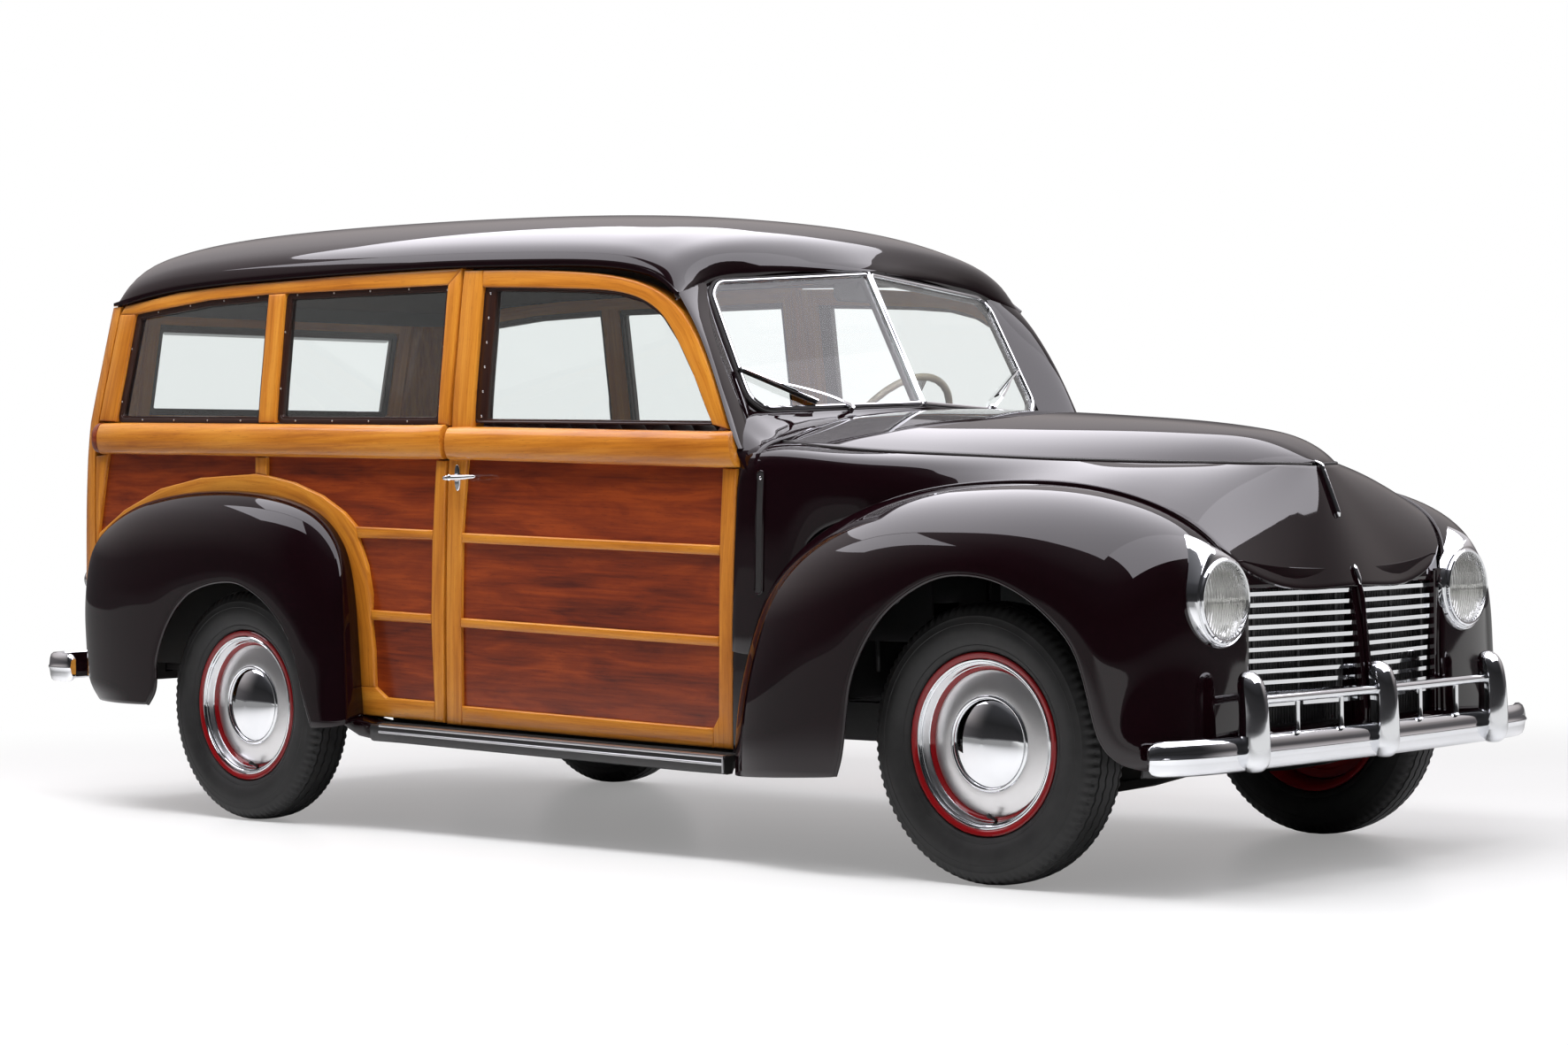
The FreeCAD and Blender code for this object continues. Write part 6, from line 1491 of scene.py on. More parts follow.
scuttle.make("scuttle_panel", PAINT, "body", "paint")


def wiper(pivot, tip, root, s):
    # pivot, blade tip and blade root are points of the picture
    pl = lambda q, off: (on_plane(q[0], q[1], _p[0] - _n * off, _n) if s < 0 else
                         on_plane(q[0], q[1], (_p[0] - _n * off) * np.array([1, -1, 1]), _n * np.array([1, -1, 1])))
    out = -_n if s < 0 else -_n * np.array([1, -1, 1])
    pv, a, b = pl(pivot, 2.0), pl(tip, 14.0), pl(root, 14.0)
    m = Mesh()
    m.join(lathe([(-14.0, 9.0), (0.0, 11.0), (8.0, 10.0), (12.0, 7.0), (13.0, 0.3)], 18, pv, out, 0))
    mid = a * 0.5 + b * 0.5
    arm = curve([pv + out * 10.0, pv * 0.7 + mid * 0.3 + out * 20.0, mid + out * 9.0], 8)
    m.join(sweep(arm, [(-3.6, -1.6), (3.6, -1.6), (3.6, 1.6), (-3.6, 1.6)], False, out, 0, [1.2 - 0.5 * i / (len(arm) - 1) for i in range(len(arm))]))
    d = (b - a) / np.linalg.norm(b - a)
    m.join(sweep([a + out * 3.0, mid + out * 6.0, b + out * 3.0], [(-2.2, -2.0), (2.2, -2.0), (2.2, 2.0), (-2.2, 2.0)], False, out, 0))
    m.join(sweep([a - d * 2, b + d * 2], [(-1.6, -13.5), (1.6, -13.5), (3.0, 0.0), (-3.0, 0.0)], False, out, 1))
    return m


w1 = wiper((961.0, 461.0), (837.0, 416.0), (924.0, 453.0), -1)
w2 = wiper((1121.0, 461.0), (1150.0, 419.0), (1128.0, 446.0), 1)
w1.join(w2).make("wipers", [CHROME, BRISTLE], "body", "chrome")

# ---------------------------------------------------------- engine bay, dash
bay = Mesh()


def slab(outline, y0, y1, mat=0, bevel=1.5):
    return plate(np.array(outline, float), lambda x, z, drop: (x, y0 + (y1 - y0) * 0 + drop * (1 if y1 > y0 else -1), z), abs(y1 - y0), bevel, 2, None, 40.0, 90.0, mat)


fire = [(-715, 400), (-112, 400), (-112, 640), (112, 640), (112, 400), (715, 400), (715, 1040), (600, 1065), (300, 1110), (0, 1128), (-300, 1110), (-600, 1065), (-715, 1040)]
bay.join(plate(np.array(fire, float), lambda y, z, drop: (-778.0 - drop, y, z), 12.0, 1.5, 2, None, 40.0, 90.0))
apron = [(-735, 1030), (-735, 560), (-420, 560), (-420, 760), (380, 760), (380, 840), (200, 940), (-300, 1000)]
for y0, y1 in ((-442.0, -434.0), (442.0, 434.0)):
    bay.join(slab(apron, y0, y1))
# stiffening ribs on the firewall
for y in (-520.0, -380.0, -240.0, 240.0, 380.0, 520.0):
    bay.join(tube([(-775.0, y, 470.0), (-775.0, y, 1000.0)], 7.0, 8, round_ends=True))
bay.make("firewall_and_aprons", BLACK, "body", "paint")
dash = [(-900, 1130), (-940, 1129), (-962, 1124), (-976, 1114), (-984, 1098), (-986, 1070), (-985, 960), (-981, 955), (-975, 955), (-972, 960), (-972, 1085), (-966, 1100), (-950, 1112), (-900, 1116)]
dm = Mesh()
prof = densify(np.array(dash, float), 14.0)
ys = [-640.0, -637.0] + [-600.0 + 60.0 * i for i in range(21)] + [637.0, 640.0]
secs = []
for y in ys:
    c = 0.94 if abs(y) > 639 else 1.0
    secs.append([((x + 940.0) * c - 940.0, y, (z - 1060.0) * c + 1060.0 + 6.0 * (1 - (y / 640.0) ** 2)) for x, z in prof])
dm.join(skin(secs))
dm.make("dash_panel", MAHOGANY, "body", "paint")
gauges = Mesh()
for y, r in ((360.0, 56.0), (232.0, 36.0), (150.0, 36.0), (0.0, 44.0)):
    z = 1034.0
    gauges.join(lathe([(0.0, r + 6.0), (5.0, r + 6.0), (8.0, r + 3.0), (8.0, r), (3.0, r - 1.0), (2.5, 0.02)], 40, (-986.0, y, z), (-1, 0, 0), 0, mats=[0, 0, 0, 0, 1]))
    for k in range(11):
        a = math.radians(-130.0 + 26.0 * k)
        p0 = (-989.2, y + math.sin(a) * r * 0.72, z + math.cos(a) * r * 0.72)
        p1 = (-989.2, y + math.sin(a) * r * 0.9, z + math.cos(a) * r * 0.9)
        gauges.join(tube([p0, p1], 1.0, 6, mat=2))
    a = math.radians(-100.0)
    gauges.join(tube([(-991.0, y, z), (-991.0, y + math.sin(a) * r * 0.7, z + math.cos(a) * r * 0.7)], 1.2, 6, mat=2))
for y in (60.0, 100.0, -110.0, -150.0):
    gauges.join(lathe([(0.0, 4.0), (10.0, 4.0), (12.0, 9.0), (18.0, 10.0), (22.0, 7.0), (23.0, 0.2)], 18, (-985.0, y, 985.0), (-1, 0, 0), 2))
# glove box line
gauges.join(tube([(-986.5, -300.0, 1080.0), (-986.5, -560.0, 1080.0), (-986.5, -560.0, 990.0), (-986.5, -300.0, 990.0)], 1.6, 6, True, 0))
gauges.make("dash_instruments", [CHROME, BLACK, CREAM], "body", "chrome")

# ------------------------------------------------------------------ headlamps
lamp_parts = Mesh()
LX, LY, LZ, LRAD = 520.0, -548.0, 682.0, 104.0


def surface_x(y, z, fallback=524.0):
    hit = FRONT_BVH.ray_cast(Vector((900.0, y, z)), Vector((-1, 0, 0)))
    return hit[0][0] if hit[0] is not None else fallback


def bezel():
    # chrome surround: round below, drawn up and outward into a point
    r0, tip_y, tip_z = 112.0, -50.0, 166.0
    dist = math.hypot(tip_y, tip_z)
    head = math.atan2(tip_z, tip_y)
    beta = math.acos(r0 / dist)
    n = 96
    outer = []
    for i in range(n):
        a = 2 * math.pi * i / n
        d = (a - head + math.pi) % (2 * math.pi) - math.pi
        r = r0 / math.cos(beta - abs(d)) if abs(d) < beta else r0
        if abs(d) < 0.16:
            r -= (0.16 - abs(d)) * 46.0
        outer.append((a, r))
    xs = np.array([surface_x(LY + r * math.cos(a), LZ + r * math.sin(a)) for a, r in outer])
    # where the surround leaves the fender's front it keeps to its neighbours
    for _ in range(3):
        xs = 0.25 * np.roll(xs, 1) + 0.5 * xs + 0.25 * np.roll(xs, -1)
    rows = 12
    verts, faces = [], []
    for k in range(rows + 1):
        t = k / rows
        for i, (a, r) in enumerate(outer):
            rr = r + (100.0 - r) * t
            x = xs[i] - 3.0 + (545.0 - xs[i] + 3.0) * (1 - (1 - t) ** 2.1)
            x += 5.0 * math.sin(math.pi * min(1.0, t * 1.4)) if t < 0.714 else 0.0
            if 0 < k < 9:
                x = max(x, surface_x(LY + rr * math.cos(a), LZ + rr * math.sin(a)) + 2.2)
            verts.append((x, LY + rr * math.cos(a), LZ + rr * math.sin(a)))
    for rr, x in ((97.5, 546.5), (96.0, 545.0), (95.5, 536.0)):
        for a, r in outer:
            verts.append((x, LY + rr * math.cos(a), LZ + rr * math.sin(a)))
    for rr, dx in ((95.5, -30.0),):
        for a, r in outer:
            verts.append((500.0, LY + rr * math.cos(a), LZ + rr * math.sin(a)))
    total = rows + 1 + 4
    for k in range(total - 1):
        for i in range(n):
            faces.append((k * n + i, k * n + (i + 1) % n, (k + 1) * n + (i + 1) % n, (k + 1) * n + i))
    return Mesh().add(verts, faces, 0)


def lamp():
    m = bezel()
    o = (LX, LY, LZ)
    ax = (1, 0, 0)
    # retaining ring, reflector, bulb and the body of the lamp
    m.join(lathe([(22.0, 96.0), (27.0, 99.5), (31.0, 98.5), (33.5, 95.0), (32.5, 91.0), (28.0, 89.5), (20.0, 90.0)], 96, o, ax, 0, close=True))
    m.join(lathe([(24.0, 91.0), (10.0, 84.0), (-10.0, 72.0), (-28.0, 54.0), (-42.0, 32.0), (-48.0, 12.0), (-49.0, 0.02)], 64, o, ax, 1))
    m.join(lathe([(-48.0, 10.0), (-22.0, 10.0), (-14.0, 9.0), (-4.0, 5.0), (-1.0, 0.02)], 24, o, ax, 2))
    m.join(lathe([(-150.0, 0.02), (-149.0, 28.0), (-120.0, 61.0), (-70.0, 84.0), (-20.0, 90.0), (20.0, 91.0)], 64, o, ax, 3))
    return m


def lens():
    o = np.array((LX, LY, LZ))
    rows, n = 34, 144
    verts, faces = [], []
    for k in range(rows + 1):
        r = 91.0 * k / rows
        for i in range(n):
            a = 2 * math.pi * i / n
            y, z = r * math.cos(a), r * math.sin(a)
            x = 24.0 + 19.0 * (1 - (r / 91.0) ** 2)
            flute = 0.55 * abs(math.sin(y * math.pi / 11.0)) if r < 86 else 0.0
            if abs(z) < 4.0 and r < 80:
                flute += 0.8
            if abs(z - 34.0) < 2.0 or abs(z + 34.0) < 2.0:
                flute = 0.9
            verts.append(o + np.array([x - flute, y, z]))
    for k in range(rows):
        for i in range(n):
            faces.append((k * n + i, k * n + (i + 1) % n, (k + 1) * n + (i + 1) % n, (k + 1) * n + i))
    base = len(verts)
    for k in range(rows + 1):
        r = 91.0 * k / rows
        for i in range(0, n):
            a = 2 * math.pi * i / n
            verts.append(o + np.array([20.5 + 19.0 * (1 - (r / 91.0) ** 2), r * math.cos(a), r * math.sin(a)]))
    for k in range(rows):
        for i in range(n):
            faces.append((base + k * n + i, base + (k + 1) * n + i, base + (k + 1) * n + (i + 1) % n, base + k * n + (i + 1) % n))
    for i in range(n):
        faces.append((rows * n + i, rows * n + (i + 1) % n, base + rows * n + (i + 1) % n, base + rows * n + i))
    return Mesh().add(verts, faces, 0)


LENS = glass("fluted_lens_glass_painted_reflection", (0.97, 0.98, 0.955), 0.07)
_lt = LENS.node_tree
_lb = _lt.nodes["Principled BSDF"]
put(_lb.inputs["Transmission Weight"], 0.25)
put(_lb.inputs["Metallic"], 0.4)
put(_lb.inputs["Roughness"], 0.2)
# painted reflection: the lens's base colour is a ramp of light and dark bands by height, standing in for the reflector
# seen through the fluted glass
_lz = _lt.nodes.new("ShaderNodeSeparateXYZ")
_lt.links.new(where(_lt), _lz.inputs[0])
_lf = calc(_lt, "MULTIPLY_ADD", _lz.outputs["Z"], 1.0 / 0.208, -(LZ - 104.0) / 208.0)
_lt.links.new(ramp(_lt, _lf, [(0.0, (0.80, 0.80, 0.78)), (0.26, (1.0, 1.0, 0.98)), (0.45, (0.52, 0.52, 0.49)), (0.62, (0.92, 0.92, 0.89)), (0.80, (0.60, 0.60, 0.57)), (1.0, (0.95, 0.95, 0.93))]), _lb.inputs["Base Color"])
_wv = _lt.nodes.new("ShaderNodeTexWave")
_wv.bands_direction = "Y"
_wv.inputs["Scale"].default_value = 36.0
_wv.inputs["Distortion"].default_value = 0.4
_lt.links.new(where(_lt), _wv.inputs["Vector"])
bump(_lt, _lb, _wv.outputs["Fac"], 0.9, 0.006)
lamp().both().make("headlamp_surrounds", [CHROME, MIRROR, CREAM, BLACK], "body", "chrome", replaces=("headlamps",))
lens().both().make("headlamp_lenses", LENS, "body", "glass", sharp=60.0)


# --------------------------------------------------------------- front grille
grille = Mesh()
for k in range(1, 12):
    z = 718.0 - k * 26.3
    xc = 546.0 + (742.0 - z) * 0.10
    p0, p1 = np.array((xc, -21.0, z)), np.array((514.0, -422.0, z))
    pts = []
    for i in range(17):
        t = i / 16.0
        q = p0 + (p1 - p0) * t
        q[0] += 3.5 * math.sin(math.pi * t)
        pts.append(q)
    sec = [(-5.5, -4.6), (-1.5, -5.6), (2.0, -5.2), (4.4, -4.0), (5.7, -2.6), (4.3, -1.9), (4.3, -1.1), (6.5, -0.3), (6.4, 1.4), (5.3, 3.4), (3.0, 5.0), (-0.5, 5.6), (-5.5, 5.0)]
    grille.join(sweep(pts, sec, False, (0, 0, 1), 0))
for y, dx in ((-380.0, 2.0), (-210.0, 16.0), (-60.0, 28.0)):
    grille.join(tube([(508.0 + dx, y, 378.0), (508.0 + dx, y, 728.0)], 5.0, 10, mat=1))
grille.both().make("grille_bars", [CHROME, BLACK], "body", "chrome", replaces=("grille",))
# painted lip that closes the nose above the bars
edge = []
for side_y in np.linspace(-446.0, 0.0, 23):
    t = min(1.0, -side_y / 424.0)
    xe = 550.0 - 33.0 * t ** 1.3
    zt = 750.0 + 26.0 * t ** 3
    edge.append([(xe - 16.0, side_y, zt), (xe + 0.5, side_y, zt - 4.0), (xe + 3.0, side_y, 735.0), (xe + 5.5, side_y, 716.0), (xe + 5.0, side_y, 707.0), (xe + 1.0, side_y, 703.0), (xe - 8.0, side_y, 703.5), (xe - 16.0, side_y, 710.0)])
edge += [[(x, -y, z) for x, y, z in row] for row in reversed(edge[:-1])]
grille_edge = skin(edge)
grille_edge.make("nose_lower_lip", PAINT, "body", "paint")

spine_line = [(538, 768), (549, 766), (561, 741), (580, 600), (600, 404), (600, 366), (522, 330), (522, 372), (532, 560)]
so = round_corners([(536, 742), (547, 744), (558, 726), (579, 600), (598, 404), (598, 372), (575, 340), (522, 330), (522, 372), (530, 560)], [4, 6, 12, 0, 16, 14, 14, 6, 6, 0])


def spine_map(x, z, drop):
    return (x, -20.0 + drop, z)


spine = plate(so, spine_map, 40.0, 8.0, 5, None, 12.0, 20.0)
front_rim = Mesh()
# narrow raised centre of the spine
ridge = curve([(553.0, 0.0, 732.0), (563.0, 0.0, 716.0), (582.0, 0.0, 600.0), (600.5, 0.0, 420.0), (602.0, 0.0, 385.0)], 6)
spine.join(sweep(ridge, circle(6.5, 12, 5.0), False, (1, 0, 0.1), 0))
cheek = []
for z in np.linspace(332.0, 728.0, 12):
    cheek.append([(519.0, -441.0, z), (526.0, -436.0, z), (528.0, -428.0, z), (526.0, -420.0, z), (518.0, -418.0, z), (507.0, -418.0, z), (501.0, -428.0, z), (501.0, -441.0, z)])
cheek = skin(cheek)
val = []
for y in np.linspace(-438.0, 438.0, 41):
    c = 1 - (abs(y) / 438.0) ** 2.4
    val.append([(506.0, y, 326.0), (514.0 + 20.0 * c, y, 325.0), (524.0 + 22.0 * c, y, 332.0), (528.0 + 22.0 * c, y, 348.0), (526.0 + 20.0 * c, y, 362.0), (518.0 + 14.0 * c, y, 371.0), (506.0, y, 372.0)])
val = skin(val)
wing = []
for z in np.linspace(334.0, 733.0, 14):
    xf = surface_x(-462.0, z, 536.0)
    wing.append([(516.0, -434.0, z), (522.0, -433.0, z), (xf - 2.0, -452.0, z), (xf - 7.0, -463.0, z), (xf - 14.0, -463.0, z), (512.0, -442.0, z)])
wing = skin(wing)
spine.join(wing).join(wing.mirrored())
spine.join(cheek).join(cheek.mirrored()).join(val)
spine.make("grille_spine_and_surround", PAINT, "body", "paint", replaces=("grille_surround",))
tip = sweep(curve([(555.0, 0.0, 753.0), (560.0, 0.0, 742.0), (568.0, 0.0, 720.0), (572.0, 0.0, 698.0)], 6), circle(7.0, 14, 4.0), False, (1, 0, 0.1), 0,
            [0.25, 0.5, 0.7, 0.85, 0.95, 1, 1, 1, 1, 1, 1, 1, 0.95, 0.9, 0.8, 0.7, 0.6, 0.45, 0.2])
tip.make("spine_bright_tip", CHROME, "body", "chrome")
# thin dark upright wires behind the bars, with black sheets behind and beside them as painted shade in the grille's
# opening
grille_wires_and_shade_sheets = Mesh()
for i in range(33):
    y = -412.0 + i * 12.2
    grille_wires_and_shade_sheets.join(sweep([(498.0, y, 376.0), (498.0, y, 736.0)], [(-1.0, -1.0), (1.0, -1.0), (1.0, 1.0), (-1.0, 1.0)], False, (1, 0, 0)))
# black sheets beside the bars and behind the wires: painted shade, standing for the shadowed depth of the grille's
# opening
for _a, _b in (((488.0, -429.0), (507.0, -446.0)), ((507.0, -446.0), (500.0, -470.0))):
    grille_wires_and_shade_sheets.add([(_a[0], _a[1], 330.0), (_b[0], _b[1], 330.0), (_b[0], _b[1], 742.0), (_a[0], _a[1], 742.0)], [(0, 1, 2, 3)])
grille_wires_and_shade_sheets.add([(488.0, -430.0, 370.0), (488.0, -2.0, 370.0), (488.0, -2.0, 742.0), (488.0, -430.0, 742.0)], [(0, 1, 2, 3)])
grille_wires_and_shade_sheets.both().make("grille_wires_and_painted_shade_sheets", BLACK, "body")


def bez(a, c, b, t):
    return tuple((1 - t) ** 2 * p + 2 * t * (1 - t) * q + t * t * r for p, q, r in zip(a, c, b))


prow = [bez((458, 0, 994), (516, 0, 858), (566, 0, 706), t) for t in np.linspace(0.0, 0.45, 18)]
prow = [(q[0] + 4.0, 0.0, q[2] + 1.5) for q in prow]
prow = [(440.0, 0.0, 1009.0), (452.0, 0.0, 1003.0)] + prow
n = len(prow)
sweep(curve(prow, 3), circle(5.5, 14, 8.5), False, (1, 0, 0.5), 0, [0.3 + 0.7 * min(1.0, i / 6.0) * min(1.0, ((n - 1) * 3 - i) / 5.0 + 0.2) for i in range((n - 1) * 3 + 1)]).make("prow_bright_strip", CHROME, "body", "chrome")
# bead along the joint of fender and nose
bead = [(p[0], p[1], p[2]) for p in FRONT[6 * 2:6 * 13, 0]]
bead = [(x + 1.0, y - 1.0, z + 2.0) for x, y, z in bead]
nb = len(bead)
welt = sweep(bead, circle(6.0, 12, 7.0), False, (0, 0, 1), 0, [min(1.0, 0.15 + i / 10.0, 0.15 + (nb - 1 - i) / 10.0) for i in range(nb)])
welt.both().make("fender_joint_beads", PAINT, "body", "paint")


# ----------------------------------------------------------------- bumpers
def bar_piece(path, z0, z1, depth, mat=0):
    p = curve([(x, y, 0.0) for x, y in path], 8)
    n = len(p)
    h = z1 - z0
    prof = [(0.0, 0.02), (depth * 0.3, 0.015), (depth * 0.56, 0.07), (depth * 0.72, 0.2), (depth * 0.80, 0.34), (depth * 0.84, 0.43), (depth * 0.97, 0.475), (depth * 1.0, 0.5), (depth * 0.97, 0.53),
            (depth * 0.86, 0.58), (depth * 0.84, 0.66), (depth * 0.76, 0.8), (depth * 0.6, 0.92), (depth * 0.3, 0.985), (0.0, 0.98), (-4.0, 0.93), (-4.0, 0.07)]
    secs = []
    ln = np.concatenate([[0.0], np.cumsum(np.linalg.norm(np.diff(p, axis=0), axis=1))])
    for i in range(n):
        a, b = p[max(i - 1, 0)], p[min(i + 1, n - 1)]
        t = (b - a) / np.linalg.norm(b - a)
        nn = np.array([t[1], -t[0], 0.0])
        e = min(ln[i], ln[-1] - ln[i])
        k = 1.0 if e > 34.0 else 0.62 + 0.38 * math.sqrt(max(0.0, 1 - ((34.0 - e) / 34.0) ** 2))
        zc = (z0 + z1) / 2
        secs.append([tuple(p[i] + nn * (d * (0.6 + 0.4 * k)) + np.array([0, 0, zc + (f - 0.5) * h * k])) for d, f in prof])
    return skin(secs)


def guard(y, xb, z0, z1):
    secs = []
    rows = [(z0 + 2, 6.0, 5.0), (z0 + 3.5, 15.0, 13.0), (z0 + 8, 21.0, 20.0), (z0 + 18, 27.0, 28.0), (z0 + 34, 30.0, 32.5), (z0 + 60, 31.0, 34.0), ((z0 + z1) / 2, 29.0, 32.5), (z1 - 60, 27.5, 31.0),
            (z1 - 40, 26.5, 29.5), (z1 - 22, 23.5, 26.0), (z1 - 10, 18.0, 20.0), (z1 - 3, 10.5, 12.0), (z1 - 0.6, 4.0, 5.0)]
    for z, w, d in rows:
        lean = 16.0 * max(0.0, (z - (z0 + z1) / 2) / (z1 - z0) * 2) ** 2
        secs.append([(xb - lean + 1.12 * d * math.cos(2 * math.pi * i / 28), y + 1.18 * w * math.sin(2 * math.pi * i / 28), z) for i in range(28)])
    g = np.array(secs)
    xs = np.concatenate([[0.0], np.cumsum([math.dist(a[0], b[0]) for a, b in zip(secs, secs[1:])])])
    t = np.interp(np.linspace(0, len(xs) - 1, (len(xs) - 1) * 3 + 1), np.arange(len(xs)), xs)
    return skin(spline_fit(xs, g, t))


front_path = [(522, -826), (553, -787), (582, -715), (598, -560), (606, -380), (612, -190), (614, 0), (612, 190), (606, 380), (598, 560), (582, 715), (553, 787), (522, 826)]
fb = bar_piece(front_path, 288.0, 372.0, 26.0)
for y, x in ((-544.0, 622.0), (0.0, 634.0), (544.0, 622.0)):
    fb.join(guard(y, x, 284.0, 520.0))
for s in (-1, 1):
    fb.join(tube([(632.0, s * 0.5, 452.0), (628.0, s * 180.0, 452.0), (622.0, s * 370.0, 452.0), (617.0, s * 546.0, 452.0)], 11.0, 20))
    for x, y in ((626.0, 180.0), (621.0, 362.0)):
        fb.join(lathe([(0.0, 9.0), (3.0, 9.5), (6.0, 7.0), (12.0, 6.2), (76.0, 6.2), (84.0, 7.2)], 18, (x, s * y, 366.0), (0, 0, 1)))
for s in (-1, 1):
    y0 = s * 330.0
    fb.join(sweep([(484.0, y0, 310.0), (560.0, y0, 310.0), (604.0, y0, 312.0)], [(-20, -10), (20, -10), (20, 10), (-20, 10)], False, (0, 0, 1), 1))
fb.make("front_bumper_bar_and_guards", [CHROME, BLACK], "body", "chrome", replaces=("front_bumper",))
rear_path = [(-3680, -742), (-3760, -738), (-3822, -715), (-3850, -640), (-3862, -400), (-3866, 0), (-3862, 400), (-3850, 640), (-3822, 715), (-3760, 738), (-3680, 742)]
rb = bar_piece(rear_path[::-1], 378.0, 470.0, 22.0)
for s in (-1, 1):
    rb.join(sweep([(-3560.0, s * 368.0, 410.0), (-3720.0, s * 368.0, 410.0), (-3858.0, s * 368.0, 412.0)], [(-9, -10), (9, -10), (9, 10), (-9, 10)], False, (0, 0, 1), 1))
rb.make("rear_bumper_bar", [CHROME, BLACK], "body", "chrome", replaces=("rear_bumper",))

def cowl_side(x, z, drop):
    return (x, -lin([545.0, 760.0, 900.0, 1010.0, 1043.0], [757.0, 756.0, 754.0, 748.0, 735.0], z) - 0.8 + drop, z)


# upright slot with a rolled edge in the side of the cowl; its inside is a flat dark plate set in the skin, painted
# shade for the recess
_slot = round_corners([(-743.0, 690.0), (-717.0, 690.0), (-711.0, 1002.0), (-737.0, 1002.0)], 12)
slot = plate(_slot, cowl_side, 6.0, 1.2, 3, None, 14.0, 18.0, 1)
slot.join(ringed(_slot, [(-2.0, 3.0), (-2.0, -0.6), (-0.6, -1.8), (1.2, -1.4), (2.2, 0.2), (2.4, 3.0)], cowl_side, 0, 12.0))
slot.join(lathe([(0.0, 5.0), (1.4, 4.8), (2.6, 3.2), (3.0, 0.3)], 14, cowl_side(-725.0, 984.0, 1.4), (0, -1, 0), 2))
slot.both().make("cowl_side_slots_with_shade_plates", [PAINT, DARK, CHROME], "body", "paint")

# -------------------------------------------------------------- tail lamps
tl = Mesh()
tl.join(lathe([(-16.0, 34.0), (-14.0, 40.0), (2.0, 40.0), (18.0, 39.6), (30.0, 38.6), (40.0, 36.4), (43.0, 33.6), (42.0, 31.0), (36.0, 30.4)], 56, (-3684.0, -634.0, 700.0), (-1, 0, 0), 0))
tl.join(lathe([(37.0, 31.0), (42.0, 29.4), (45.6, 23.0), (47.4, 13.0), (48.0, 0.02)], 56, (-3684.0, -634.0, 700.0), (-1, 0, 0), 1))
tl.both().make("tail_lamps_with_bezels", [CHROME, LAMP_RED], "body", "lamp_red", replaces=("tail_lamps",))

# ----------------------------------------------------------- running boards
def board(side_y):
    m = Mesh()
    x0, z0, x1, z1 = -816.0, 279.0, -2190.0, 310.5
    # rounded outer edge, rubber tread with raised lines, two bright strips
    prof = [(0.0, -2.0), (60.0, -2.0), (92.0, -3.0), (99.0, -6.0), (102.0, -12.0), (102.5, -20.0), (102.0, -40.0), (99.0, -48.0), (92.0, -51.0), (70.0, -50.0), (60.0, -30.0), (0.0, -30.0)]
    secs = []
    for k in range(23):
        t = k / 22.0
        x, z = x0 + (x1 - x0) * t, z0 + (z1 - z0) * t
        c = 0.985 if k in (0, 22) else 1.0
        secs.append([(x, -(701.0 + py * c), z + pz * c) for py, pz in prof])
    secs[1] = [(secs[0][0][0] - 4.0, y, z) for x, y, z in secs[1]]
    secs[-2] = [(secs[-1][0][0] + 4.0, y, z) for x, y, z in secs[-2]]
    m.join(skin(secs))
    for k in range(8):
        y = -(708.0 + 10.0 * k)
        m.join(sweep([(x0 - 6.0, y, z0 - 1.6), (x1 + 6.0, y, z1 - 1.6)], [(-2.6, -1.5), (2.6, -1.5), (1.6, 1.6), (-1.6, 1.6)], False, (0, 0, 1), 1))
    # bright edge over the outer corner and a second strip on the face
    edge = [(-4.0, -4.6), (0.5, -2.0), (1.4, 1.5), (0.6, 4.6), (-2.0, 6.0), (-14.0, 7.0), (-14.0, 4.0), (-5.0, 2.0)]
    m.join(sweep([(x0 - 1.0, -803.4, z0 - 7.5), (x1 + 40.0, -803.4, z1 - 8.4)], [(-a, b) for a, b in edge], False, (0, 0, 1), 2))
    m.join(tube([(x0 - 1.0, -802.4, z0 - 24.0), (x1 + 40.0, -802.4, z1 - 25.0)], 4.0, 12, mat=2))
    m.join(tube([(x0 - 2.5, -803.0, z0 - 10.0), (x0 - 2.5, -803.0, z0 - 46.0)], 3.4, 12, mat=2))
    # painted apron between the board's rear end and the fender
    ap = [(-2186.0, 262.0), (-2186.0, 308.0), (-2246.0, 316.0), (-2318.0, 332.0), (-2326.0, 300.0), (-2250.0, 270.0)]
    m.join(plate(np.array(ap), lambda x, z, drop: (x, -796.0 + drop, z), 96.0, 8.0, 4, None, 16.0, 24.0, 3))
    sill = [(x0 - 30.0, z0 - 46.0), (x1 - 30.0, z1 - 46.0), (x1 - 30.0, 345.0), (x0 - 30.0, 345.0)]
    m.join(plate(np.array(sill), lambda x, z, drop: (x, -690.0 + drop, z), 8.0, 1.5, 2, None, 60.0, 90.0, 0))
    # brackets to the rail
    for x in (-1000.0, -1480.0, -1960.0):
        z = z0 + (z1 - z0) * (x - x0) / (x1 - x0)
        m.join(sweep([(x, -705.0, z - 36.0), (x, -520.0, z + 10.0), (x, -362.0, z + 36.0)], [(-14, -4), (14, -4), (14, 4), (-14, 4)], False, (0, 0, 1), 0))
    return m


board(-1).both().make("running_boards_ribbed", [BLACK, BRISTLE, SATIN, PAINT], "body", "board", replaces=("running_boards",))

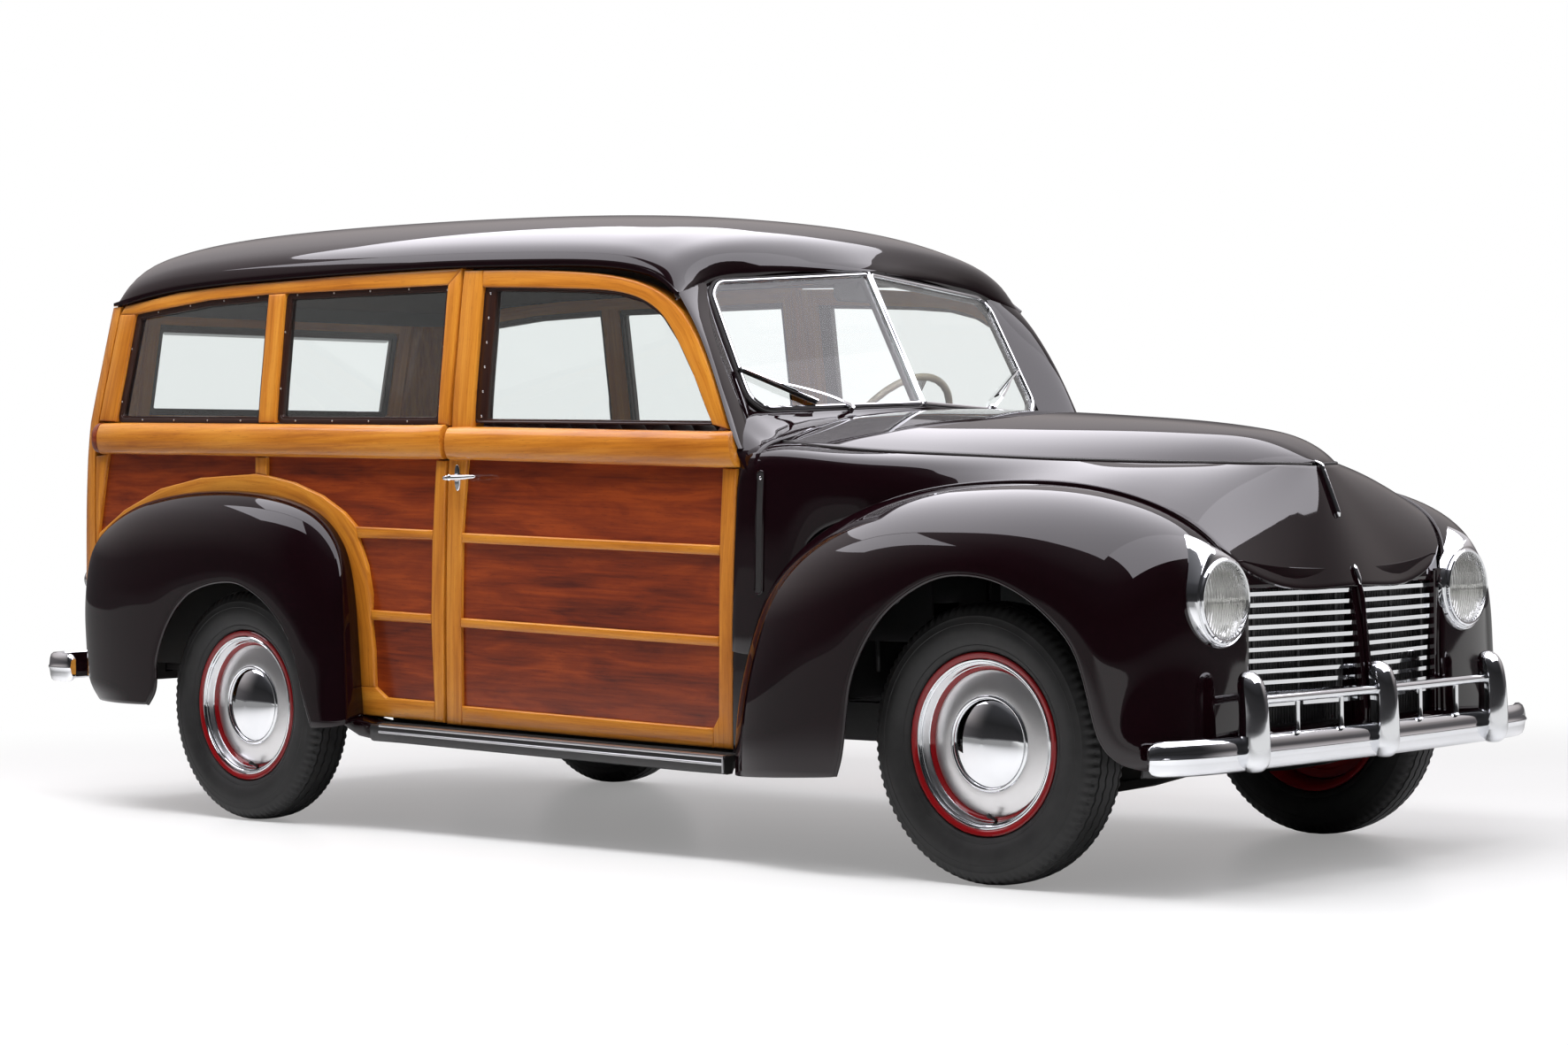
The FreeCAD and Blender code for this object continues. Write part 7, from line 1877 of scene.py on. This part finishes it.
# ------------------------------------------------------------ steering wheel
SC = np.array([-1222.0, 360.0, 1100.0])
_t = math.radians(35.0)
AXIS = np.array([-math.cos(_t), 0.0, math.sin(_t)])
UPW = np.array([math.sin(_t), 0.0, math.cos(_t)])
LEFTW = np.array([0.0, 1.0, 0.0])
sw = Mesh()
ring = []
for i in range(96):
    a = 2 * math.pi * i / 96
    ring.append(SC + (LEFTW * math.cos(a) + UPW * math.sin(a)) * 212.0)
ref = [AXIS] * 96
verts, faces = [], []
for i in range(96):
    a = 2 * math.pi * i / 96
    d = LEFTW * math.cos(a) + UPW * math.sin(a)
    for j in range(14):
        b = 2 * math.pi * j / 14
        grip = 0.8 * math.cos(i * 2 * math.pi / 96 * 32) if math.cos(b) < 0.2 else 0.0
        r = 11.2 + grip * 0.9
        verts.append(SC + d * (212.0 + r * math.cos(b)) + AXIS * (r * 0.9 * math.sin(b)))
for i in range(96):
    for j in range(14):
        faces.append((i * 14 + j, ((i + 1) % 96) * 14 + j, ((i + 1) % 96) * 14 + (j + 1) % 14, i * 14 + (j + 1) % 14))
sw.add(verts, faces, 0)
for ang in (90.0, 210.0, 330.0):
    d = LEFTW * math.cos(math.radians(ang)) + UPW * math.sin(math.radians(ang))
    side_d = np.cross(AXIS, d)
    for k in (-1.5, -0.5, 0.5, 1.5):
        p0 = SC + d * 24.0 + side_d * (k * 6.0) - AXIS * 6.0
        p1 = SC + d * 204.0 + side_d * (k * 9.0)
        sw.join(tube([p0, (p0 + p1) / 2 - AXIS * 3.0, p1], 2.4, 10, mat=1))
sw.join(lathe([(-30.0, 22.0), (-28.0, 33.0), (-10.0, 34.0), (2.0, 33.0), (7.0, 29.0), (9.0, 24.0)], 48, SC, AXIS, 0))
sw.join(lathe([(8.0, 25.0), (12.0, 22.5), (15.0, 15.0), (16.5, 0.02)], 48, SC, AXIS, 1))
sw.make("steering_rim_and_hub", [CREAM, CHROME], "steering_wheel", "steer", replaces=("steering_wheel",))

# --------------------------------------------------------------------- seats
def cushion(outline, w, seams, soft_from, crown=16.0, depth=7.5):
    # closed padded form: section in x-z swept across the car, rounded at both
    # ends, crowned between the ends and drawn in along the sewn channels
    pts = densify(np.array(outline, float), 11.0)
    if area2(pts) < 0:
        pts = pts[::-1].copy()
    mid = pts.mean(axis=0)
    nrm = pts - inset(pts, 1.0)
    nrm /= np.maximum(np.linalg.norm(nrm, axis=1, keepdims=True), 1e-9)
    soft = np.clip((nrm @ np.array(soft_from)) * 1.6 + 0.1, 0.0, 1.0)[:, None]
    ys = np.concatenate([-w + 44.0 * (1 - np.cos(np.linspace(0.0, math.pi / 2, 9)))[:-1] * 1.0, np.linspace(-w + 44.0, w - 44.0, 150), (w - 44.0 * (1 - np.cos(np.linspace(math.pi / 2, 0.0, 9))))[1:]])
    ys = np.unique(np.round(ys, 3))
    secs = []
    for y in ys:
        e = max(0.0, (abs(y) - (w - 44.0)) / 44.0)
        shrink = 44.0 * (1 - math.sqrt(max(0.0, 1 - min(1.0, e) ** 2))) * 0.8
        near = min(abs(y - q) for q in seams)
        seam = depth * math.exp(-(near / 8.0) ** 2)
        puff = 5.0 * min(1.0, near / 40.0) ** 0.7
        swell = crown * (1 - (abs(y) / w) ** 2.5)
        q = pts - nrm * shrink * 0.9
        q = q + nrm * soft * (swell + puff - seam * 1.6) * (1 - e)
        secs.append([(a, y, b) for a, b in q])
    m = skin(secs)
    # piping along both ends of the soft face
    for k in (8, len(ys) - 9):
        m.join(tube([secs[k][i] for i in range(0, len(pts), 2)], 4.2, 8, closed=True))
    return m


for name, x, cz, top, w in (("front", -1340.0, 800.0, 1160.0, 606.0), ("rear", -2270.0, 850.0, 1195.0, 581.0)):
    seams = [-w + 44.0 + (2 * w - 88.0) * (i + 1) / 11.0 for i in range(10)]
    c = round_corners([(x, cz - 176), (x - 496, cz - 206), (x - 496, cz - 58), (x - 250, cz - 34), (x, cz - 20)], [24, 12, 18, 0, 56])
    bk = round_corners([(x - 482, cz - 44), (x - 574, top - 14), (x - 606, top - 4), (x - 632, top - 24), (x - 606, cz - 188), (x - 506, cz - 188)], [14, 26, 22, 22, 10, 10])
    m = cushion(c, w, seams, (0.15, 1.0)).join(cushion(bk, w, seams, (0.95, 0.25), 10.0))
    ob = m.make(name + "_seat_cushions", LEATHER, "body", "seat", sharp=70.0, replaces=(name + "_seat",))

# inside mirror under the windscreen's header
mc = on_plane(964.0, 331.0, (-1045.0, 0.0, 0.0), (1.0, 0.0, 0.0))
mo = round_corners([(mc[1] - 82, mc[2] - 27), (mc[1] + 82, mc[2] - 27), (mc[1] + 82, mc[2] + 27), (mc[1] - 82, mc[2] + 27)], 20)
mirror = plate(mo, lambda y, z, drop: (mc[0] + 12.0 - drop, y, z), 14.0, 6.0, 4, None, 10.0, 16.0)
mirror.join(tube(curve([(mc[0] + 8.0, mc[1], mc[2] + 10.0), (mc[0] + 14.0, mc[1] + 10.0, mc[2] + 50.0), (mc[0] + 2.0, -10.0, 1556.0)], 6), 4.5, 12, round_ends=True))
mirror.make("inside_mirror", DARK, "body")

# ------------------------------------------------- carried-over CAD pieces
def dress(names, mat):
    for nme in names:
        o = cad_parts[nme]
        if not o.material_slots:
            o.data.materials.append(mat)
        for slot_ in o.material_slots:
            slot_.material = mat


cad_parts["cowl"]
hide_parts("cowl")
dress(("floor",), CARPET)
dress(("frame", "front_axle", "knuckle_right", "knuckle_left", "tie_rod", "rear_axle", "driveshaft", "fuel_tank"), BLACK)
dress(("engine",), IRON)
dress(("leaf_springs",), SPRING)
dress(("exhaust",), STEEL)
dress(("steering_column",), BLACK)
# dark splash strip below the nose, between the front fenders
_sp = []
for y in np.linspace(-690.0, 690.0, 47):
    xs_ = 412.0 + 22.0 * (1.0 - abs(y / 690.0) ** 2.2)
    zl = 262.0 + 10.0 * abs(y / 690.0) ** 6
    _sp.append([(xs_ - 5.0, y, 345.0), (xs_, y, 345.0), (xs_, y, zl + 9.0), (xs_ - 2.0, y, zl + 2.0), (xs_ - 8.0, y, zl), (xs_ - 8.0, y, zl + 5.0), (xs_ - 5.0, y, zl + 9.0)])
skin(_sp).make("front_splash_strip", BLACK, "body", "paint")
# bracket between each front spring and the chassis rail
_hg = []
for x in np.linspace(60.0, 372.0, 14):
    zb_ = 222.0 + 0.21 * (x - 180.0) - 3.0
    zt_ = 312.0 - 8.0 * abs((x - 216.0) / 156.0) ** 4
    _hg.append([(x, -404.0, zb_ + 2.0), (x, -406.0, zb_ + 6.0), (x, -406.0, zt_ - 6.0), (x, -402.0, zt_), (x, -384.0, zt_), (x, -380.0, zt_ - 6.0), (x, -380.0, zb_ + 6.0), (x, -382.0, zb_ + 2.0)])
skin(_hg).both().make("front_spring_brackets", SPRING, "body")
# painted panel below the tailgate
panel = plate(np.array([(-556, 370), (556, 370), (556, 499), (-556, 499)], float), back(2.0), 10.0, 3.0, 3, None, 40.0, 60.0)
panel.make("panel_below_tailgate", PAINT, "body", "paint")

# --------------------------------------------------------- floor and lights
gx = SHIFT / 1000 - 1.6
FLOOR = bpy.data.materials.new("pale_floor")
FLOOR.use_nodes = True
ft = FLOOR.node_tree
fb_ = ft.nodes["Principled BSDF"]
fpos = where(ft)
fn_ = noise(ft, fpos, 0.8, 4, 0.5)
ft.links.new(ramp(ft, fn_, [(0.3, (0.80, 0.80, 0.805)), (0.7, (0.82, 0.82, 0.825))]), fb_.inputs["Base Color"])
put(fb_.inputs["Roughness"], 0.22)
put(fb_.inputs["Specular IOR Level"], 0.35)
_fl = ft.nodes.new("ShaderNodeLightPath")
fb_.inputs["Emission Color"].default_value = (1.0, 0.99, 0.985, 1.0)
ft.links.new(calc(ft, "MULTIPLY", _fl.outputs["Is Camera Ray"], 0.27), fb_.inputs["Emission Strength"])
# the floor fades into the white surroundings with distance from the object
fc = ft.nodes.new("ShaderNodeVectorMath")
fc.operation = "SUBTRACT"
fc.inputs[1].default_value = (gx, 0.0, 0.0)
ft.links.new(fpos, fc.inputs[0])


def reach(vec, scale):
    d = ft.nodes.new("ShaderNodeVectorMath")
    d.operation = "DOT_PRODUCT"
    d.inputs[1].default_value = vec
    ft.links.new(fc.outputs[0], d.inputs[0])
    return calc(ft, "POWER", calc(ft, "ABSOLUTE", calc(ft, "DIVIDE", d.outputs["Value"], scale)), 2.0)


far = calc(ft, "SQRT", calc(ft, "ADD", reach((float(_fwd[0]), float(_fwd[1]), 0.0), 1.0), reach((float(_fwd[1]), -float(_fwd[0]), 0.0), 1.15)))
fade = ft.nodes.new("ShaderNodeMapRange")
fade.interpolation_type = "SMOOTHSTEP"
for k, v in (("From Min", 2.2), ("From Max", 4.9), ("To Min", 0.0), ("To Max", 1.0)):
    fade.inputs[k].default_value = v
ft.links.new(far, fade.inputs["Value"])
white = ft.nodes.new("ShaderNodeEmission")
white.inputs["Color"].default_value = (1.0, 1.0, 1.0, 1.0)
_lp = ft.nodes.new("ShaderNodeLightPath")
_st = ft.nodes.new("ShaderNodeMapRange")
_st.inputs["To Min"].default_value, _st.inputs["To Max"].default_value = 0.35, 1.0
# in reflections the floor is brighter ahead of the object than beside it
_sx = ft.nodes.new("ShaderNodeSeparateXYZ")
ft.links.new(fpos, _sx.inputs[0])
_st.inputs["To Min"].default_value, _st.inputs["To Max"].default_value = 0.30, 0.85
_st.inputs["From Min"].default_value, _st.inputs["From Max"].default_value = 1.5, 4.0
ft.links.new(_sx.outputs["X"], _st.inputs["Value"])
ft.links.new(calc(ft, "MAXIMUM", _lp.outputs["Is Camera Ray"], _st.outputs[0]), white.inputs["Strength"])
both_ = ft.nodes.new("ShaderNodeMixShader")
ft.links.new(fade.outputs[0], both_.inputs[0])
ft.links.new(fb_.outputs[0], both_.inputs[1])
ft.links.new(white.outputs[0], both_.inputs[2])
ft.links.new(both_.outputs[0], ft.nodes["Material Output"].inputs["Surface"])
me = bpy.data.meshes.new("studio_floor")
me.from_pydata([(-60, -60, 0), (60, -60, 0), (60, 60, 0), (-60, 60, 0)], [], [(0, 1, 2, 3)])
me.materials.append(FLOOR)
floor = bpy.data.objects.new("studio_floor", me)
bpy.context.scene.collection.objects.link(floor)

scene = bpy.context.scene
scene.view_settings.view_transform = "Standard"
scene.view_settings.look = "None"

# Pure white behind the object; for light and reflections the room is dark on
# the side of the photographer, white behind the object and pale overhead.
world = bpy.data.worlds.new("studio")
scene.world = world
world.use_nodes = True
wt = world.node_tree
bg = wt.nodes["Background"]
wd = wt.nodes.new("ShaderNodeTexCoord").outputs["Generated"]
dot = wt.nodes.new("ShaderNodeVectorMath")
dot.operation = "DOT_PRODUCT"
dot.inputs[1].default_value = (float(_fwd[0]), float(_fwd[1]), 0.0)
wt.links.new(wd, dot.inputs[0])
behind = wt.nodes.new("ShaderNodeMapRange")
behind.interpolation_type = "SMOOTHSTEP"
for k, v in (("From Min", 0.05), ("From Max", 0.85), ("To Min", 0.0), ("To Max", 1.0)):
    behind.inputs[k].default_value = v
wt.links.new(dot.outputs["Value"], behind.inputs["Value"])
sx_ = wt.nodes.new("ShaderNodeSeparateXYZ")
wt.links.new(wd, sx_.inputs[0])
lift_ = ramp(wt, sx_.outputs["Z"], [(0.0, (0.035, 0.034, 0.036)), (0.30, (0.05, 0.05, 0.052)), (0.62, (0.22, 0.22, 0.23)), (0.95, (0.85, 0.85, 0.88))])
room = blend_colour(wt, behind.outputs[0], lift_, (1.7, 1.7, 1.72))
lp = wt.nodes.new("ShaderNodeLightPath")
mirrored_ = ramp(wt, sx_.outputs["Z"], [(0.0, (0.16, 0.16, 0.165)), (0.02, (0.035, 0.034, 0.036)), (0.25, (0.02, 0.02, 0.021)), (0.6, (0.05, 0.05, 0.055)), (1.0, (0.3, 0.3, 0.32))])
beyond = wt.nodes.new("ShaderNodeMapRange")
beyond.interpolation_type = "SMOOTHSTEP"
for k, v in (("From Min", -0.25), ("From Max", 0.55), ("To Min", 0.0), ("To Max", 1.0)):
    beyond.inputs[k].default_value = v
wt.links.new(dot.outputs["Value"], beyond.inputs["Value"])
mirrored_ = blend_colour(wt, beyond.outputs[0], mirrored_, ramp(wt, sx_.outputs["Z"], [(0.0, (0.10, 0.095, 0.10)), (0.12, (0.14, 0.13, 0.135)), (0.26, (0.52, 0.48, 0.48)), (0.50, (0.80, 0.76, 0.78)), (1.0, (0.4, 0.4, 0.42))]))
room = blend_colour(wt, lp.outputs["Is Glossy Ray"], room, mirrored_)
seen = calc(wt, "MAXIMUM", lp.outputs["Is Camera Ray"], lp.outputs["Is Transmission Ray"])
wt.links.new(blend_colour(wt, seen, room, (1.0, 1.0, 1.0)), bg.inputs["Color"])
bg.inputs["Strength"].default_value = 1.0


def area(name, loc, target, sx, sy, radiance, col=(1, 1, 1)):
    d = bpy.data.lights.new(name, "AREA")
    d.shape = "RECTANGLE"
    d.size, d.size_y = sx, sy
    d.energy = radiance * math.pi * sx * sy
    d.color = col
    o = bpy.data.objects.new(name, d)
    scene.collection.objects.link(o)
    o.visible_glossy = False
    o.location = loc
    o.rotation_mode = "QUATERNION"
    o.rotation_quaternion = (Vector(target) - Vector(loc)).to_track_quat("-Z", "Y")
    return o


# broad overhead screens that show only as reflections
for nm, loc, w, h, rad in (("ceiling_screen", (-0.7, 0.6, 4.5), 7.6, 6.4, 3.4), ("front_screen", (4.9, 1.8, 4.5), 3.6, 7.8, 4.2), ("rear_screen", (-4.2, -3.7, 4.5), 3.6, 2.1, 3.2)):
    tgt = (loc[0], loc[1], 0.0) if loc[2] > 4 else (2.0, 0.2, 0.7)
    o = area(nm, loc, tgt, w, h, rad, (0.95, 0.93, 1.0))
    o.visible_glossy = True
    o.visible_diffuse = False
    o.visible_transmission = False
    o.visible_camera = False
area("top_strip", (0.2, -1.9, 4.3), (0.2, -0.4, 0.9), 8.0, 1.3, 8.0)
area("top_fill", (0.0, -0.6, 5.2), (0.0, -0.2, 0.8), 8.0, 4.0, 0.8)
area("front_fill", (6.2, -2.2, 3.4), (1.9, -0.3, 0.7), 2.6, 1.6, 2.2)
